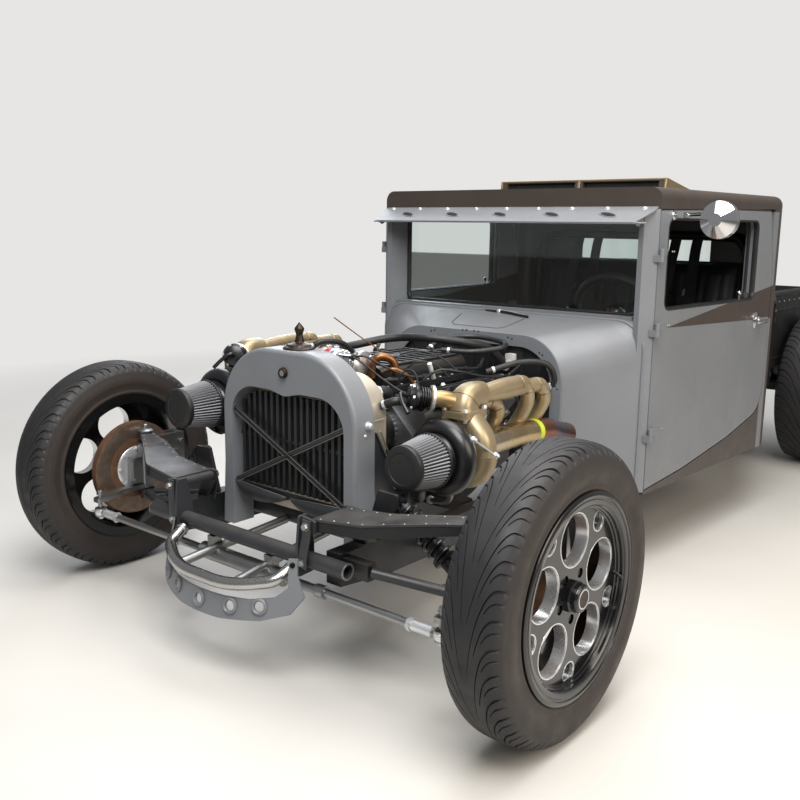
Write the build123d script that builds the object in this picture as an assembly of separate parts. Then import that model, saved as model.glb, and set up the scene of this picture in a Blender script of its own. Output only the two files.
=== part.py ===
"""Street rod pickup: closed chopped cab, open twin-turbo V8, short bed, as separate solids."""

import os
from math import cos, pi, radians, sin

from build123d import *

# Frame: millimetres, +X to the car's left, +Y to the rear, +Z up, wheels standing on Z = 0.
# Every Y below is counted from the front axle; save() moves the whole model so that its
# origin lies under the middle of its footprint.

# Gap left between touching pieces
SEAT_GAP = 0.3

# Wheels and tyres
WHEELBASE = 3240.0
FRONT_TYRE_R = 359.0
FRONT_TYRE_W = 168.0
FRONT_TREAD_W = 130.0
FRONT_BEAD_R = 228.6
FRONT_RIM_W = 140.0
FRONT_WHEEL_X = 877.0
REAR_TYRE_R = 385.0
REAR_TYRE_W = 400.0
REAR_TREAD_W = 350.0
REAR_BEAD_R = 190.5
REAR_RIM_W = 356.0
REAR_TYRE_GAP = 12.0
BED_HALF = 440.0
REAR_WHEEL_X = BED_HALF + REAR_TYRE_GAP + REAR_TYRE_W / 2
RIM_WALL = 10.0
RIM_FLANGE_H = 21.0
RIM_FLANGE_T = 6.0
FACE_T = 32.0
FACE_INSET = 24.0
FACE_HOLE_R = 62.0
FACE_HOLE_PCR = 134.0
POCKET_R = 24.0
POCKET_PCR = 190.0
POCKET_DEPTH = 12.0
SPOKES = 5
LUG_PCR = 57.0
LUG_R = 12.0
CAP_R = 34.0
CAP_L = 30.0
DISC_R = 160.0
DISC_T = 22.0
DISC_X = 780.0
HAT_R = 76.0
FRONT_FACE_X = FRONT_RIM_W / 2 + RIM_FLANGE_T - FACE_INSET
REAR_FACE_X = 90.0
FRONT_CENTRE = (FRONT_WHEEL_X, 0, FRONT_TYRE_R)
REAR_CENTRE = (REAR_WHEEL_X, WHEELBASE, REAR_TYRE_R)
HUB_FACE = FRONT_WHEEL_X + FRONT_FACE_X - FACE_T
DRUM_R = 140.0
DRUM_W = 149.0
STUB_R = 30.0
STUB_GAP = 4.0

# Steering geometry
KINGPIN_X = 738.0
KINGPIN_Y = 20.0
KINGPIN_R = 10.0
PIN_CLEAR = 0.05
SPINDLE_R = 20.0
UPPER_JOINT_Z = 470.0
LOWER_JOINT_Z = 270.0
ARM_TIP_X = 700.0
ARM_TIP_Y = -190.0
TIE_ROD_Z = 258.0
TIE_ROD_R = 11.0
RACK_BAR_R = 12.0
RACK_HALF = 170.0
RACK_JOINT_X = 305.0

# Chassis
RAIL_X = 330.0
RAIL_W = 50.0
RAIL_H = 90.0
RAIL_Z = 300.0
KICK_Z = 470.0
CAB_BACK = 2290.0
BED_GAP = 6.0
BED_OVERHANG = 260.0
KICK_START = CAB_BACK + 40
KICK_L = 320.0
KICK_END = KICK_START + KICK_L
RAIL_END = WHEELBASE + BED_OVERHANG - 10
CROSS_TUBE_HALF = 402.0
CROSS_TUBE_R = 22.0
CROSS_TUBE_BORE = 17.0
CROSS_TUBE_Y = -188.0
CROSS_TUBE_Z = 335.0
BRACKET_X = 253.0
BRACKET_T = 8.0
UPPER_PIVOT_X = 282.0
UPPER_PIVOT_Z = 434.0
UPPER_PIVOT_FRONT = -199.0
UPPER_PIVOT_REAR = -66.0
UPPER_PIVOT_R = 15.0
BUMPER_R = 17.0
CHIN_T = 4.0
CHIN_BOW_R = 430.6
CHIN_BOW_Z = 330.0
CHIN_BOW_Y = 114.5
CHIN_FLARE = 0.2
ARM_EAR_X = 441.0
ARM_LEG_R = 14.0
FRONT_LEG_FOOT = (ARM_EAR_X, CROSS_TUBE_Y + 45, 330.0)
COIL_TOP = (402.0, 10.0, 476.0)
COIL_FOOT_X = 590.0
COIL_FOOT_Y = 16.0
COIL_EYE_R = 17.0
COIL_EYE_HALF = 12.0
COIL_PIN_L = 16.0
FOOT_BAR_R = 10.0
AXLE_TUBE_R = 40.0
DIFF_R = 130.0
SPRING_R = 28.0
SPRING_DROP = 8.0

# Radiator shell and grille
SHELL_Y = -22.0
SHELL_DEPTH = 80.0
SHELL_HALF = 273.0
SHELL_FOOT_HALF = 286.0
SHELL_TOP = 840.0
SHELL_FOOT = 280.0
SHELL_SHOULDER_R = 200.0
SHELL_LEG_Z = 480.0
BADGE_BOSS_R = 15.0
BADGE_Z = 777.0
OPENING_HALF = 231.0
OPENING_TOP = 722.0
OPENING_R = 98.0
OPENING_DIP = 14.0
GRILLE_Z = 418.0
SLATS = 18
SLAT_W = 11.0
SLAT_D = 16.0
BRACE_R = 5.0
BRACE_LOW = 418.0
BRACE_HIGH = 645.0
RADIATOR_HALF = 262.0
RADIATOR_T = 60.0
RADIATOR_TOP = 780.0
RADIATOR_CORNER_R = 110.0

# Engine
CRANK_Z = 400.0
ENGINE_FRONT = 200.0
ENGINE_REAR = 740.0
DECK_REACH = 230.0
HEAD_T = 105.0
COVER_T = 72.0
DECK_HALF = 74.0
INTAKE_TOP = 772.0
GEARBOX_END = 1560.0
SHAFT_Z = 342.0
SHAFT_R = 34.0
MOUNT_Y = 430.0
GEARBOX_TUBE_Y = 1540.0
GEARBOX_TUBE_Z = 274.0
GEARBOX_TUBE_R = 18.0
PORTS = 4
PRIMARY_R = 22.0

# Turbochargers: place of each compressor's centre
TURBO_X = 414.0
TURBO_PLACES = {"left": (180.0, 565.0), "right": (90.0, 625.0)}
TURBINE_BACK = 100.0
INLET_REACH = 44.0
TURBINE_R = 74.0
TURBINE_TUBE = 36.0
BELLHOUSING_R = 160.0
VOLUTE_R = 76.0
VOLUTE_TUBE = 34.0
FILTER_BASE_R = 75.0
FILTER_TIP_R = 60.0
FILTER_L = 120.0
DOWNPIPE_R = 38.0

# Cab
WALL = 50.0
DOOR_FRONT = 1116.0
POST_Y = 1110.0
POST_REAR = 1178.0
POST_NOSE = 36.0
POST_STEP = 24.0
WINDSHIELD_HALF = 511.0
POST_W = 79.0
CAB_FRONT_HALF = WINDSHIELD_HALF + POST_W
CAB_TAPER = 55.0
CAB_REAR_HALF = CAB_FRONT_HALF + CAB_TAPER
CAB_REAR_REF = 2110.0
CAB_CORNER_R = 150.0
CAB_BOTTOM = 282.0
FLOOR_Z = RAIL_Z + RAIL_H / 2 + 0.3
FLOOR_T = 18.0
COWL_FRONT = 895.0
COWL_T = 25.0
TUNNEL_T = 6.0
TUNNEL_HALF = 175.0
TUNNEL_TOP = 560.0
SHAFT_TUNNEL_T = 6.0
SHAFT_TUNNEL_HALF = 60.0
SHAFT_TUNNEL_TOP = 424.0
DOOR_BOTTOM_FRONT = 300.0
REAR_WINDOW_HALF = 330.0
COLUMN_LOW = (300.0, 1000.0, 660.0)
COLUMN_TOP = (300.0, 1390.0, 846.0)
WHEEL_R = 165.0
COWL_SECTIONS = [
    # distance behind the axle, half width, top height, shoulder radius
    (COWL_FRONT, 365.0, 816.0, 150.0),
    (POST_Y - 48, CAB_FRONT_HALF - 50, 872.0, 120.0),
    (POST_Y, CAB_FRONT_HALF, 888.0, 90.0),
]
ROOF_BOTTOM_FRONT = 1254.0
ROOF_BOTTOM_REAR = 1276.0
ROOF_SIDE_TOP = 1326.0
ROOF_WALL = 30.0
DOOR_GAP = 5.0
WINDOW_Y = (1175.0, 1940.0)
WINDOW_Z = (916.0, 1226.0)
WINDOW_R = 34.0
GLASS_T = 6.0
WINDSHIELD_Y = 1160.0
WINDSHIELD_Z = (893.0, 1228.0)
VISOR_LIP = (1004.0, 1210.0)
VISOR_BACK = (1112.0, 1262.0)
VISOR_HALF = WINDSHIELD_HALF + 40
VISOR_T = 5.0
SCOOP_HALF = 375.0
SCOOP_FRONT = 1620.0
SCOOP_REAR = 1870.0
SCOOP_TOP = 1382.0
HINGE_OUT = 13.0
HINGE_HEIGHTS = (493.0, 856.0, 1104.0)
HINGE_R = 8.0
HINGE_PIN_R = 3.5

# Bed
BED_FRONT = CAB_BACK + BED_GAP
BED_KNEE = WHEELBASE - 420
BED_TAIL = WHEELBASE + BED_OVERHANG
BED_FLARE = 175.0
BED_FRONT_HALF = BED_HALF + BED_FLARE
BED_T = 30.0
BOLSTER_YS = (KICK_END + 50, BED_TAIL - 400, BED_TAIL - 100)
BOLSTER_W = 40.0
LAMP_X = 160.0
BED_FLOOR_Z = 575.0
BED_TOP = 895.0
BED_SKIRT_Z = BED_FLOOR_Z - 60
BED_RAIL_R = 18.0
GATE_T = 28.0
GATE_PIVOT_Y = BED_TAIL + 19.0
GATE_PIVOT_Z = BED_FLOOR_Z - 28.0

Y_SHIFT = -(WHEELBASE + REAR_TYRE_R - FRONT_TYRE_R) / 2


def outline(points, radii=0.0):
    """Closed face in the XY plane through the points, with the corner radii given."""
    return make_face(FilletPolyline(*points, radius=radii, close=True).edges())


def prism(axis, points, low, high, radii=0.0):
    """Rounded polygon swept straight along one axis, from low to high."""
    face = outline(points, radii)
    if axis == "z":
        return extrude(Plane.XY.offset(low) * face, high - low)
    if axis == "x":
        return extrude(Plane.YZ.offset(low) * face, high - low)
    return extrude(Plane.XZ.offset(-high) * face, high - low)


def block(x, y, z):
    """Box between the two values of each pair."""
    size = (x[1] - x[0], y[1] - y[0], z[1] - z[0])
    return Pos((x[0] + x[1]) / 2, (y[0] + y[1]) / 2, (z[0] + z[1]) / 2) * Box(*size)


def rod(start, end, radius, bore=0.0):
    """Round bar or tube from start to end."""
    way = Vector(*end) - Vector(*start)
    place = Plane(origin=start, z_dir=way)
    bottom = (Align.CENTER, Align.CENTER, Align.MIN)
    bar = place * Cylinder(radius, way.length, align=bottom)
    if bore:
        bar = bar - place * Cylinder(bore, way.length, align=bottom)
    return bar


def cone(start, end, start_r, end_r):
    """Tapered round bar from start to end."""
    way = Vector(*end) - Vector(*start)
    place = Plane(origin=start, z_dir=way)
    return place * Cone(start_r, end_r, way.length, align=(Align.CENTER, Align.CENTER, Align.MIN))


def pipe(points, bend, radius):
    """Round tube along straight runs joined by bends."""
    path = FilletPolyline(*points, radius=bend)
    return sweep(Plane(origin=path @ 0, z_dir=path % 0) * Circle(radius), path=path)


def ring(profile, place, axis=Axis.X):
    """Body turned about the X axis from (x, radius) points, then moved to its place."""
    return Pos(*place) * revolve(outline(*profile), axis, 360)


def mirrored(shape):
    """The same piece on the car's other side."""
    return mirror(shape, about=Plane.YZ)


def both(shape):
    """A left piece and its mirror image."""
    return shape, mirrored(shape)


def save(name, *shapes):
    """Write one node's solids, moved to the model's origin."""
    solids = [solid for shape in shapes for solid in shape.solids()]
    whole = solids[0] if len(solids) == 1 else Compound(solids)
    export_step(Pos(0, Y_SHIFT, 0) * whole, f"parts/{name}.step")


def save_pair(name, shape):
    """Write a left piece and its mirror image."""
    save(f"{name}_left", shape)
    save(f"{name}_right", mirrored(shape))


def half_width(y):
    """Outer half width of the cab at a distance behind the front axle."""
    share = (y - POST_Y) / (CAB_REAR_REF - POST_Y)
    return CAB_FRONT_HALF + (CAB_REAR_HALF - CAB_FRONT_HALF) * share


def roof_bottom(y):
    """Height of the line where the roof sits on the cab's walls."""
    share = (y - POST_Y) / (CAB_BACK - POST_Y)
    return ROOF_BOTTOM_FRONT + (ROOF_BOTTOM_REAR - ROOF_BOTTOM_FRONT) * share


# Wheels


def tyre(radius, width, tread, bead, rim_w, place):
    """Tyre as one turned ring with round sidewalls."""
    seat = rim_w / 2 - SEAT_GAP
    lip = bead + RIM_FLANGE_H
    side = bead + 0.48 * (radius - bead)
    half = width / 2
    right = [(seat, bead + SEAT_GAP), (seat, lip), (half, side), (tread / 2, radius - 14), (tread / 2 - 24, radius)]
    points = right + [(-x, r) for x, r in reversed(right)]
    rounding = [0, 6, 40, 10, 0]
    return ring((points, rounding + rounding[::-1]), place)


def rim(bead, rim_w, place, face_x):
    """Wheel: barrel with flanges and a face drilled in proportion to its bead, outer side towards +X."""
    half = rim_w / 2
    out = half + RIM_FLANGE_T
    lip = bead + RIM_FLANGE_H
    barrel = [(-out, bead - RIM_WALL), (out, bead - RIM_WALL), (out, lip), (half, lip), (half, bead)]
    barrel += [(-half, bead), (-half, lip), (-out, lip)]
    wheel = ring((barrel, 0), (0, 0, 0))
    disc = Plane.YZ.offset(face_x - FACE_T) * Circle(bead - RIM_WALL / 2)
    wheel = wheel + extrude(disc, FACE_T)
    share = bead / FRONT_BEAD_R
    hole_pcr, pocket_pcr = share * FACE_HOLE_PCR, share * POCKET_PCR
    for spoke in range(SPOKES):
        turn = radians(90 + spoke * 360 / SPOKES)
        hole = Plane.YZ.offset(face_x - FACE_T) * Pos(hole_pcr * cos(turn), hole_pcr * sin(turn))
        wheel = wheel - extrude(hole * Circle(share * FACE_HOLE_R), FACE_T)
        between = turn + pi / SPOKES
        pocket = Plane.YZ.offset(face_x - POCKET_DEPTH) * Pos(pocket_pcr * cos(between), pocket_pcr * sin(between))
        wheel = wheel - extrude(pocket * Circle(share * POCKET_R), POCKET_DEPTH)
        lug = Plane.YZ.offset(face_x - FACE_T) * Pos(LUG_PCR * cos(between), LUG_PCR * sin(between))
        wheel = wheel - extrude(lug * Circle(LUG_R), FACE_T)
    cap = ring(([(face_x, 0), (face_x + CAP_L, 0), (face_x + CAP_L, CAP_R), (face_x, CAP_R)], [0, 0, 8, 0]), (0, 0, 0))
    return Pos(*place) * (wheel + cap)


def brake_disc():
    """Disc and its hat, which carries the wheel and turns on the spindle."""
    low, high = DISC_X - DISC_T / 2, DISC_X + DISC_T / 2
    bore = SPINDLE_R + PIN_CLEAR
    points = [(low, bore), (low, DISC_R), (high, DISC_R), (high, HAT_R), (HUB_FACE, HAT_R), (HUB_FACE, bore)]
    return ring((points, 0), (0, 0, FRONT_TYRE_R))


def rear_drum():
    """Brake drum behind the left rear wheel's face, bored for the axle's stub."""
    high = REAR_WHEEL_X + REAR_FACE_X - FACE_T
    low = high - DRUM_W
    bore = STUB_R + PIN_CLEAR
    points = [(low, bore), (low, DRUM_R - 12), (low + 14, DRUM_R), (high - 20, DRUM_R), (high, DRUM_R - 24), (high, bore)]
    return ring((points, 0), (0, WHEELBASE, REAR_TYRE_R))


def knuckle():
    """Upright with kingpin bores, spindle and forward steering arm."""
    low = LOWER_JOINT_Z + 22
    high = UPPER_JOINT_Z - 20
    x, y = KINGPIN_X, KINGPIN_Y
    post = prism("z", [(x - 17, y - 24), (x + 18, y - 24), (x + 18, y + 24), (x - 17, y + 24)], low, high, 8)
    post = post + block((x - 10, x + 18), (-40, y + 30), (FRONT_TYRE_R - 45, FRONT_TYRE_R + 45))
    spindle = rod((x + 17, 0, FRONT_TYRE_R), (HUB_FACE - 8, 0, FRONT_TYRE_R), SPINDLE_R)
    arm_z = low
    arm = prism("z", [(x - 15, y), (x + 15, y), (x + 12, -100), (ARM_TIP_X + 16, ARM_TIP_Y - 16),
                      (ARM_TIP_X - 16, ARM_TIP_Y - 16), (ARM_TIP_X - 16, ARM_TIP_Y + 20), (x - 16, -90)],
                arm_z, arm_z + 14, 6)
    stud = rod((ARM_TIP_X, ARM_TIP_Y, TIE_ROD_Z + 16), (ARM_TIP_X, ARM_TIP_Y, arm_z + 26), 7)
    whole = post + spindle + arm + stud
    whole = whole - rod((x, y, low), (x, y, low + 34), KINGPIN_R + PIN_CLEAR)
    return whole - rod((x, y, high - 34), (x, y, high), KINGPIN_R + PIN_CLEAR)


def caliper():
    """Brake caliper behind the spindle, straddling the disc."""
    body = block((KINGPIN_X + 8, DISC_X + 28), (88, 186), (FRONT_TYRE_R - 10, FRONT_TYRE_R + 100))
    slot = DISC_T / 2 + 5
    body = body - block((DISC_X - slot, DISC_X + slot), (80, DISC_R + 6), (FRONT_TYRE_R - 20, FRONT_TYRE_R + 110))
    bridge = block((KINGPIN_X - 6, KINGPIN_X + 8), (KINGPIN_Y + 30, 150), (FRONT_TYRE_R + 5, FRONT_TYRE_R + 45))
    return body + bridge


# Front suspension


def upper_arm():
    """Boxed arm from its pivot tube to the upper ball joint, with the kingpin's top stud."""
    joint_z = UPPER_JOINT_Z
    middle = (UPPER_PIVOT_FRONT + UPPER_PIVOT_REAR) / 2
    sections = [(UPPER_PIVOT_X + 4, middle, UPPER_PIVOT_Z, 133, 30), (440, -126, 446, 120, 34),
                (600, -42, 461, 84, 30), (KINGPIN_X - 8, KINGPIN_Y, joint_z, 44, 22)]
    faces = [Plane.YZ.offset(x) * Pos(y, z) * Rectangle(width, height) for x, y, z, width, height in sections]
    arm = loft(faces, ruled=True)
    pivot = rod((UPPER_PIVOT_X, UPPER_PIVOT_FRONT, UPPER_PIVOT_Z), (UPPER_PIVOT_X, UPPER_PIVOT_REAR, UPPER_PIVOT_Z),
                UPPER_PIVOT_R)
    cup = rod((KINGPIN_X, KINGPIN_Y, joint_z - 12), (KINGPIN_X, KINGPIN_Y, joint_z + 20), 24)
    stud = rod((KINGPIN_X, KINGPIN_Y, joint_z - 50), (KINGPIN_X, KINGPIN_Y, joint_z), KINGPIN_R)
    return arm + pivot + cup + stud


def on_run(start, end, share):
    """Point at a share of the way from start to end."""
    return Vector(*start) + (Vector(*end) - Vector(*start)) * share


def foot_bar_ends():
    """Points on the lower arm's two legs between which the coil-over's bar runs."""
    joint = (KINGPIN_X, KINGPIN_Y, LOWER_JOINT_Z)
    rear_foot = (RAIL_X + RAIL_W / 2 + SEAT_GAP, 190, RAIL_Z)
    ends = []
    for foot in (FRONT_LEG_FOOT, rear_foot):
        ends.append(on_run(foot, joint, (COIL_FOOT_X - foot[0]) / (KINGPIN_X - foot[0])))
    return ends


def coil_foot():
    """Centre of the coil-over's lower eye, just above its bar."""
    front, rear = foot_bar_ends()
    middle = on_run(front, rear, (COIL_FOOT_Y - front.Y) / (rear.Y - front.Y))
    return Vector(COIL_FOOT_X, COIL_FOOT_Y, middle.Z + FOOT_BAR_R + 2 * SEAT_GAP + COIL_EYE_R)


def lower_arm():
    """Two-legged lower arm, its ball joint, the coil-over's bar and the kingpin's bottom stud."""
    joint = (KINGPIN_X, KINGPIN_Y, LOWER_JOINT_Z)
    front = rod(FRONT_LEG_FOOT, joint, ARM_LEG_R)
    rear = rod((RAIL_X + RAIL_W / 2 + SEAT_GAP, 190, RAIL_Z), joint, ARM_LEG_R)
    bar = rod(*foot_bar_ends(), FOOT_BAR_R)
    cup = rod((KINGPIN_X, KINGPIN_Y, LOWER_JOINT_Z - 16), (KINGPIN_X, KINGPIN_Y, LOWER_JOINT_Z + 16), 25)
    stud = rod(joint, (KINGPIN_X, KINGPIN_Y, LOWER_JOINT_Z + 52), KINGPIN_R)
    inner = block((0, RAIL_X + RAIL_W / 2 + SEAT_GAP), (100, 260), (200, 400))
    outer = block((0, ARM_EAR_X), (-200, -60), (200, 420))
    return front + rear + bar + cup + stud - inner - outer


def coil_over():
    """Inclined damper with its spring as one sleeve, an eye at each end."""
    top, foot = Vector(*COIL_TOP), coil_foot()
    way = (top - foot).normalized()
    body = rod(foot, top, 15)
    spring = rod(foot + way * 50, top - way * 34, 33)
    front, rear = foot_bar_ends()
    along = (rear - front).normalized() * COIL_EYE_HALF
    eye = rod(foot - along, foot + along, COIL_EYE_R)
    pin = rod(top - Vector(0, COIL_PIN_L, 0), top + Vector(0, COIL_PIN_L, 0), COIL_EYE_R)
    return body + spring + eye + pin


def suspension_ears():
    """Ears on each rail that carry the coil-over's top and the upper arm's rear pivot."""
    rail_top = RAIL_Z + RAIL_H / 2 + 17
    x, y, z = COIL_TOP
    tower = prism("y", [(308, rail_top), (352, rail_top), (x + 14, z - 16), (x + 12, z + 22), (350, z + 24)], y - 28,
                  y - COIL_PIN_L - SEAT_GAP, 4)
    ear = prism("y", [(308, rail_top), (350, rail_top), (302, 452), (268, 452), (266, 420)],
                UPPER_PIVOT_REAR + SEAT_GAP, UPPER_PIVOT_REAR + 10, 4)
    return both(tower), both(ear)


def front_bracket():
    """Plate that hangs the front tube, an arm's front pivot, the bumper and the chin."""
    y = CROSS_TUBE_Y
    plate = prism("x", [(y - 34, 292), (y + 26, 296), (y + 26, 370), (y + 6, 456), (y - 26, 456), (y - 34, 380)],
                  BRACKET_X - BRACKET_T / 2, BRACKET_X + BRACKET_T / 2, 8)
    ear = prism("y", [(BRACKET_X, 410), (UPPER_PIVOT_X + 22, 418), (UPPER_PIVOT_X + 22, 450), (BRACKET_X, 456)],
                UPPER_PIVOT_FRONT - 10, UPPER_PIVOT_FRONT - SEAT_GAP, 6)
    return plate + ear


def bumper_tube():
    """Bent nerf tube between the front brackets."""
    inner = BRACKET_X - BRACKET_T / 2 - BUMPER_R - SEAT_GAP
    half = [(inner, CROSS_TUBE_Y - CROSS_TUBE_R - 1, 316), (inner - 12, -270, 286), (110, -332, 264)]
    points = half + [(-x, y, z) for x, y, z in reversed(half)]
    return pipe(points, [50, 250, 250, 50], BUMPER_R)


def chin_bow(z):
    """Radius of the chin's outer face at a height, on the leaning cone that bows it."""
    return CHIN_BOW_R + (CHIN_BOW_Z - z) * CHIN_FLARE


def chin_panel():
    """Crescent sheet below the bumper tube, bowed round a leaning cone, with five round holes."""
    outer = [(240, 344), (260, 344), (264, 300), (286, 246), (262, 202), (197, 181), (80, 169)]
    inner = [(80, 229), (160, 232), (222, 244), (250, 270), (246, 300)]
    points = outer + [(-x, z) for x, z in reversed(outer)]
    points += [(-x, z) for x, z in reversed(inner)] + inner
    low, high = 150.0, 360.0
    foot, head = (0, CHIN_BOW_Y, low), (0, CHIN_BOW_Y, high)
    wall = cone(foot, head, chin_bow(low), chin_bow(high))
    wall = wall - cone(foot, head, chin_bow(low) - CHIN_T, chin_bow(high) - CHIN_T)
    sheet = prism("y", points, -400, CROSS_TUBE_Y) & wall
    for x in (-190, -110, 0, 110, 190):
        z = 203 + 0.0004 * x * x
        sheet = sheet - rod((x, -400, z), (x, CROSS_TUBE_Y, z), 15)
    return sheet


# Radiator shell, grille and radiator


def shell_opening(half, top, radius, dip, foot):
    """Points and radii of the arch under the shell, with a dip at its middle."""
    points = [(-half, foot), (-half, top), (-60, top), (0, top - dip), (60, top), (half, top), (half, foot)]
    return points, [0, radius, 40, 60, 40, radius, 0]


def radiator_shell():
    """Arched shell with two legs, its rim rounded in front."""
    half = [(-SHELL_FOOT_HALF, SHELL_FOOT), (-SHELL_HALF, SHELL_LEG_Z), (-SHELL_HALF, SHELL_TOP)]
    points = half + [(-x, z) for x, z in reversed(half)]
    radii = [0, 300, SHELL_SHOULDER_R, SHELL_SHOULDER_R, 300, 0]
    body = prism("y", points, SHELL_Y, SHELL_Y + SHELL_DEPTH, radii)
    front = body.faces().sort_by(Axis.Y)[0]
    body = fillet(front.edges().filter_by(lambda edge: edge.center().Z > SHELL_FOOT + 5), 12)
    points, radii = shell_opening(OPENING_HALF, OPENING_TOP, OPENING_R, OPENING_DIP, SHELL_FOOT - 10)
    opening = prism("y", points, SHELL_Y - 5, SHELL_Y + SHELL_DEPTH + 5, radii)
    r = BADGE_BOSS_R
    boss = ring(([(0, 0), (0, r), (8, r), (12, r - 5), (12, 0)], [0, 0, 2, 2, 0]), (0, 0, 0), Axis.X)
    boss = Pos(0, SHELL_Y + 3, BADGE_Z) * Rot(0, 0, -90) * boss
    return (body - opening) + boss


def grille():
    """Vertical slats behind the opening, tied by two cross bars."""
    pitch = 2 * (OPENING_HALF - 8) / SLATS
    y0 = SHELL_Y + 30
    whole = None
    for index in range(SLATS):
        x = -OPENING_HALF + 8 + pitch * (index + 0.5)
        shoulder = max(0.0, abs(x) - (OPENING_HALF - OPENING_R))
        drop = OPENING_R - (OPENING_R ** 2 - shoulder ** 2) ** 0.5
        top = OPENING_TOP - 18 - drop
        slat = block((x - SLAT_W / 2, x + SLAT_W / 2), (y0, y0 + SLAT_D), (GRILLE_Z, top))
        whole = slat if whole is None else whole + slat
    for z in (GRILLE_Z, 560.0):
        whole = whole + block((-OPENING_HALF + SEAT_GAP, OPENING_HALF - SEAT_GAP), (y0 + 6, y0 + SLAT_D - 2), (z, z + 10))
    return whole


def grille_brace():
    """Two thin bars crossing in front of the grille."""
    y = SHELL_Y + 14
    low, high, reach = BRACE_LOW, BRACE_HIGH, OPENING_HALF - SEAT_GAP
    rise = high + BRACE_R - (OPENING_TOP - OPENING_R)
    top_reach = OPENING_HALF - OPENING_R + (OPENING_R ** 2 - rise ** 2) ** 0.5 - 1
    bars = None
    for side in (-1, 1):
        bar = rod((-side * reach, y, low), (side * top_reach, y, high), BRACE_R)
        bars = bar if bars is None else bars + bar
    return bars & block((-reach, reach), (y - 20, y + 20), (300, 800))


def valance():
    """Sheet below the grille with two rounded lobes."""
    reach = OPENING_HALF - SEAT_GAP
    top = GRILLE_Z - SEAT_GAP
    half = [(0, top), (reach, top), (reach, 392), (150, 378), (60, 384), (0, 398)]
    points = half + [(-x, z) for x, z in reversed(half[1:-1])]
    radii = [0, 0, 12, 40, 30, 0, 30, 40, 12, 0]
    return prism("y", points, SHELL_Y + 20, SHELL_Y + 24, radii)


def radiator():
    """Core with tanks at both sides and a filler neck."""
    y0 = SHELL_Y + SHELL_DEPTH + SEAT_GAP
    core = prism("y", [(-RADIATOR_HALF, 345.3), (RADIATOR_HALF, 345.3), (RADIATOR_HALF, RADIATOR_TOP),
                       (-RADIATOR_HALF, RADIATOR_TOP)], y0, y0 + RADIATOR_T,
                 [10, 10, RADIATOR_CORNER_R, RADIATOR_CORNER_R])
    return core


def radiator_cap():
    """Cap on top of the shell with a plain stepped finial."""
    z = SHELL_TOP + SEAT_GAP
    profile = [(z, 0), (z, 30), (z + 14, 30), (z + 20, 14), (z + 40, 9), (z + 58, 15), (z + 77, 0)]
    turned = ring((profile, [0, 3, 3, 4, 8, 8, 0]), (0, 0, 0))
    return Pos(0, SHELL_Y + 62, 0) * Rot(0, -90, 0) * turned


def shell_stays():
    """Triangular side plates between the shell's back and the radiator's side."""
    x = RADIATOR_HALF + SEAT_GAP
    start = SHELL_Y + SHELL_DEPTH + SEAT_GAP
    stay = prism("x", [(start, 640), (start, 366), (165, 366), (170, 470)], x, x + 4, [0, 0, 6, 6])
    brace = rod((x + 6, start + 9, 630), (x + 6, 160, 475), 4)
    return stay + brace


# Engine and drive line


def bank_points(low, high, half_low, half_high):
    """Section of one cylinder bank between two distances from the crank, leaning 45 degrees."""
    lean = cos(radians(45))
    points = []
    for reach, half in ((low, half_low), (low, -half_low), (high, -half_high), (high, half_high)):
        points.append(((reach + half) * lean, CRANK_Z + (reach - half) * lean))
    return points


def engine_block():
    """Block with its pan, bellhousing flange and valley as one heavy piece."""
    deck = bank_points(0, DECK_REACH, DECK_HALF, DECK_HALF)
    banks = prism("y", deck, ENGINE_FRONT, ENGINE_REAR)
    centre = prism("y", [(-128, 330), (128, 330), (128, 470), (58, 569.7), (-58, 569.7), (-128, 470)],
                   ENGINE_FRONT - 20, ENGINE_REAR + 20)
    pan = prism("y", [(-105, 232), (105, 232), (122, 330), (-122, 330)], ENGINE_FRONT, ENGINE_REAR - 40)
    reach = RAIL_X - RAIL_W / 2 - SEAT_GAP
    mount = prism("y", [(110, 332), (110, 420), (160, 380), (reach, 352), (reach, 322), (170, 322)], MOUNT_Y, MOUNT_Y + 60)
    return banks + mirrored(banks) + centre + pan + mount + mirrored(mount)


def heads():
    """Both cylinder heads."""
    low = DECK_REACH + SEAT_GAP
    head = prism("y", bank_points(low, low + HEAD_T, DECK_HALF, DECK_HALF), ENGINE_FRONT + 15, ENGINE_REAR - 15)
    return head, mirrored(head)


def valve_covers():
    """Both valve covers, narrower at the top."""
    low = DECK_REACH + HEAD_T + 2 * SEAT_GAP
    cover = prism("y", bank_points(low, low + COVER_T, DECK_HALF - 14, DECK_HALF - 26), ENGINE_FRONT + 25,
                  ENGINE_REAR - 25, [4, 4, 16, 16])
    return cover, mirrored(cover)


def intake():
    """Intake plenum on its base, with the throttle body in front."""
    base = prism("y", [(-60, 570), (60, 570), (126, 637), (126, 660), (-126, 660), (-126, 637)], ENGINE_FRONT + 50,
                 ENGINE_REAR - 50)
    plenum = prism("y", [(-130, 655), (130, 655), (130, INTAKE_TOP), (-130, INTAKE_TOP)], ENGINE_FRONT + 60,
                   ENGINE_REAR - 60, [20, 20, 34, 34])
    throttle = rod((0, ENGINE_FRONT + 61, 718), (0, ENGINE_FRONT - 10, 718), 46)
    return base + plenum + throttle


def front_drive():
    """Pulleys and belt at the engine's nose."""
    y = ENGINE_FRONT - 20 - SEAT_GAP
    crank = rod((0, y, CRANK_Z), (0, y - 45, CRANK_Z), 82)
    pump = rod((0, y, 530), (0, y - 45, 530), 62)
    alternator = rod((165, y + 20, 600), (165, y - 45, 600), 62)
    idler = rod((-150, y, 600), (-150, y - 45, 600), 40)
    belt = prism("y", [(-150, 640), (165, 662), (227, 600), (60, 330), (-60, 330), (-190, 600)], y - 36, y - 12,
                 [38, 60, 60, 60, 60, 38])
    return crank + pump + alternator + idler + belt


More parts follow.
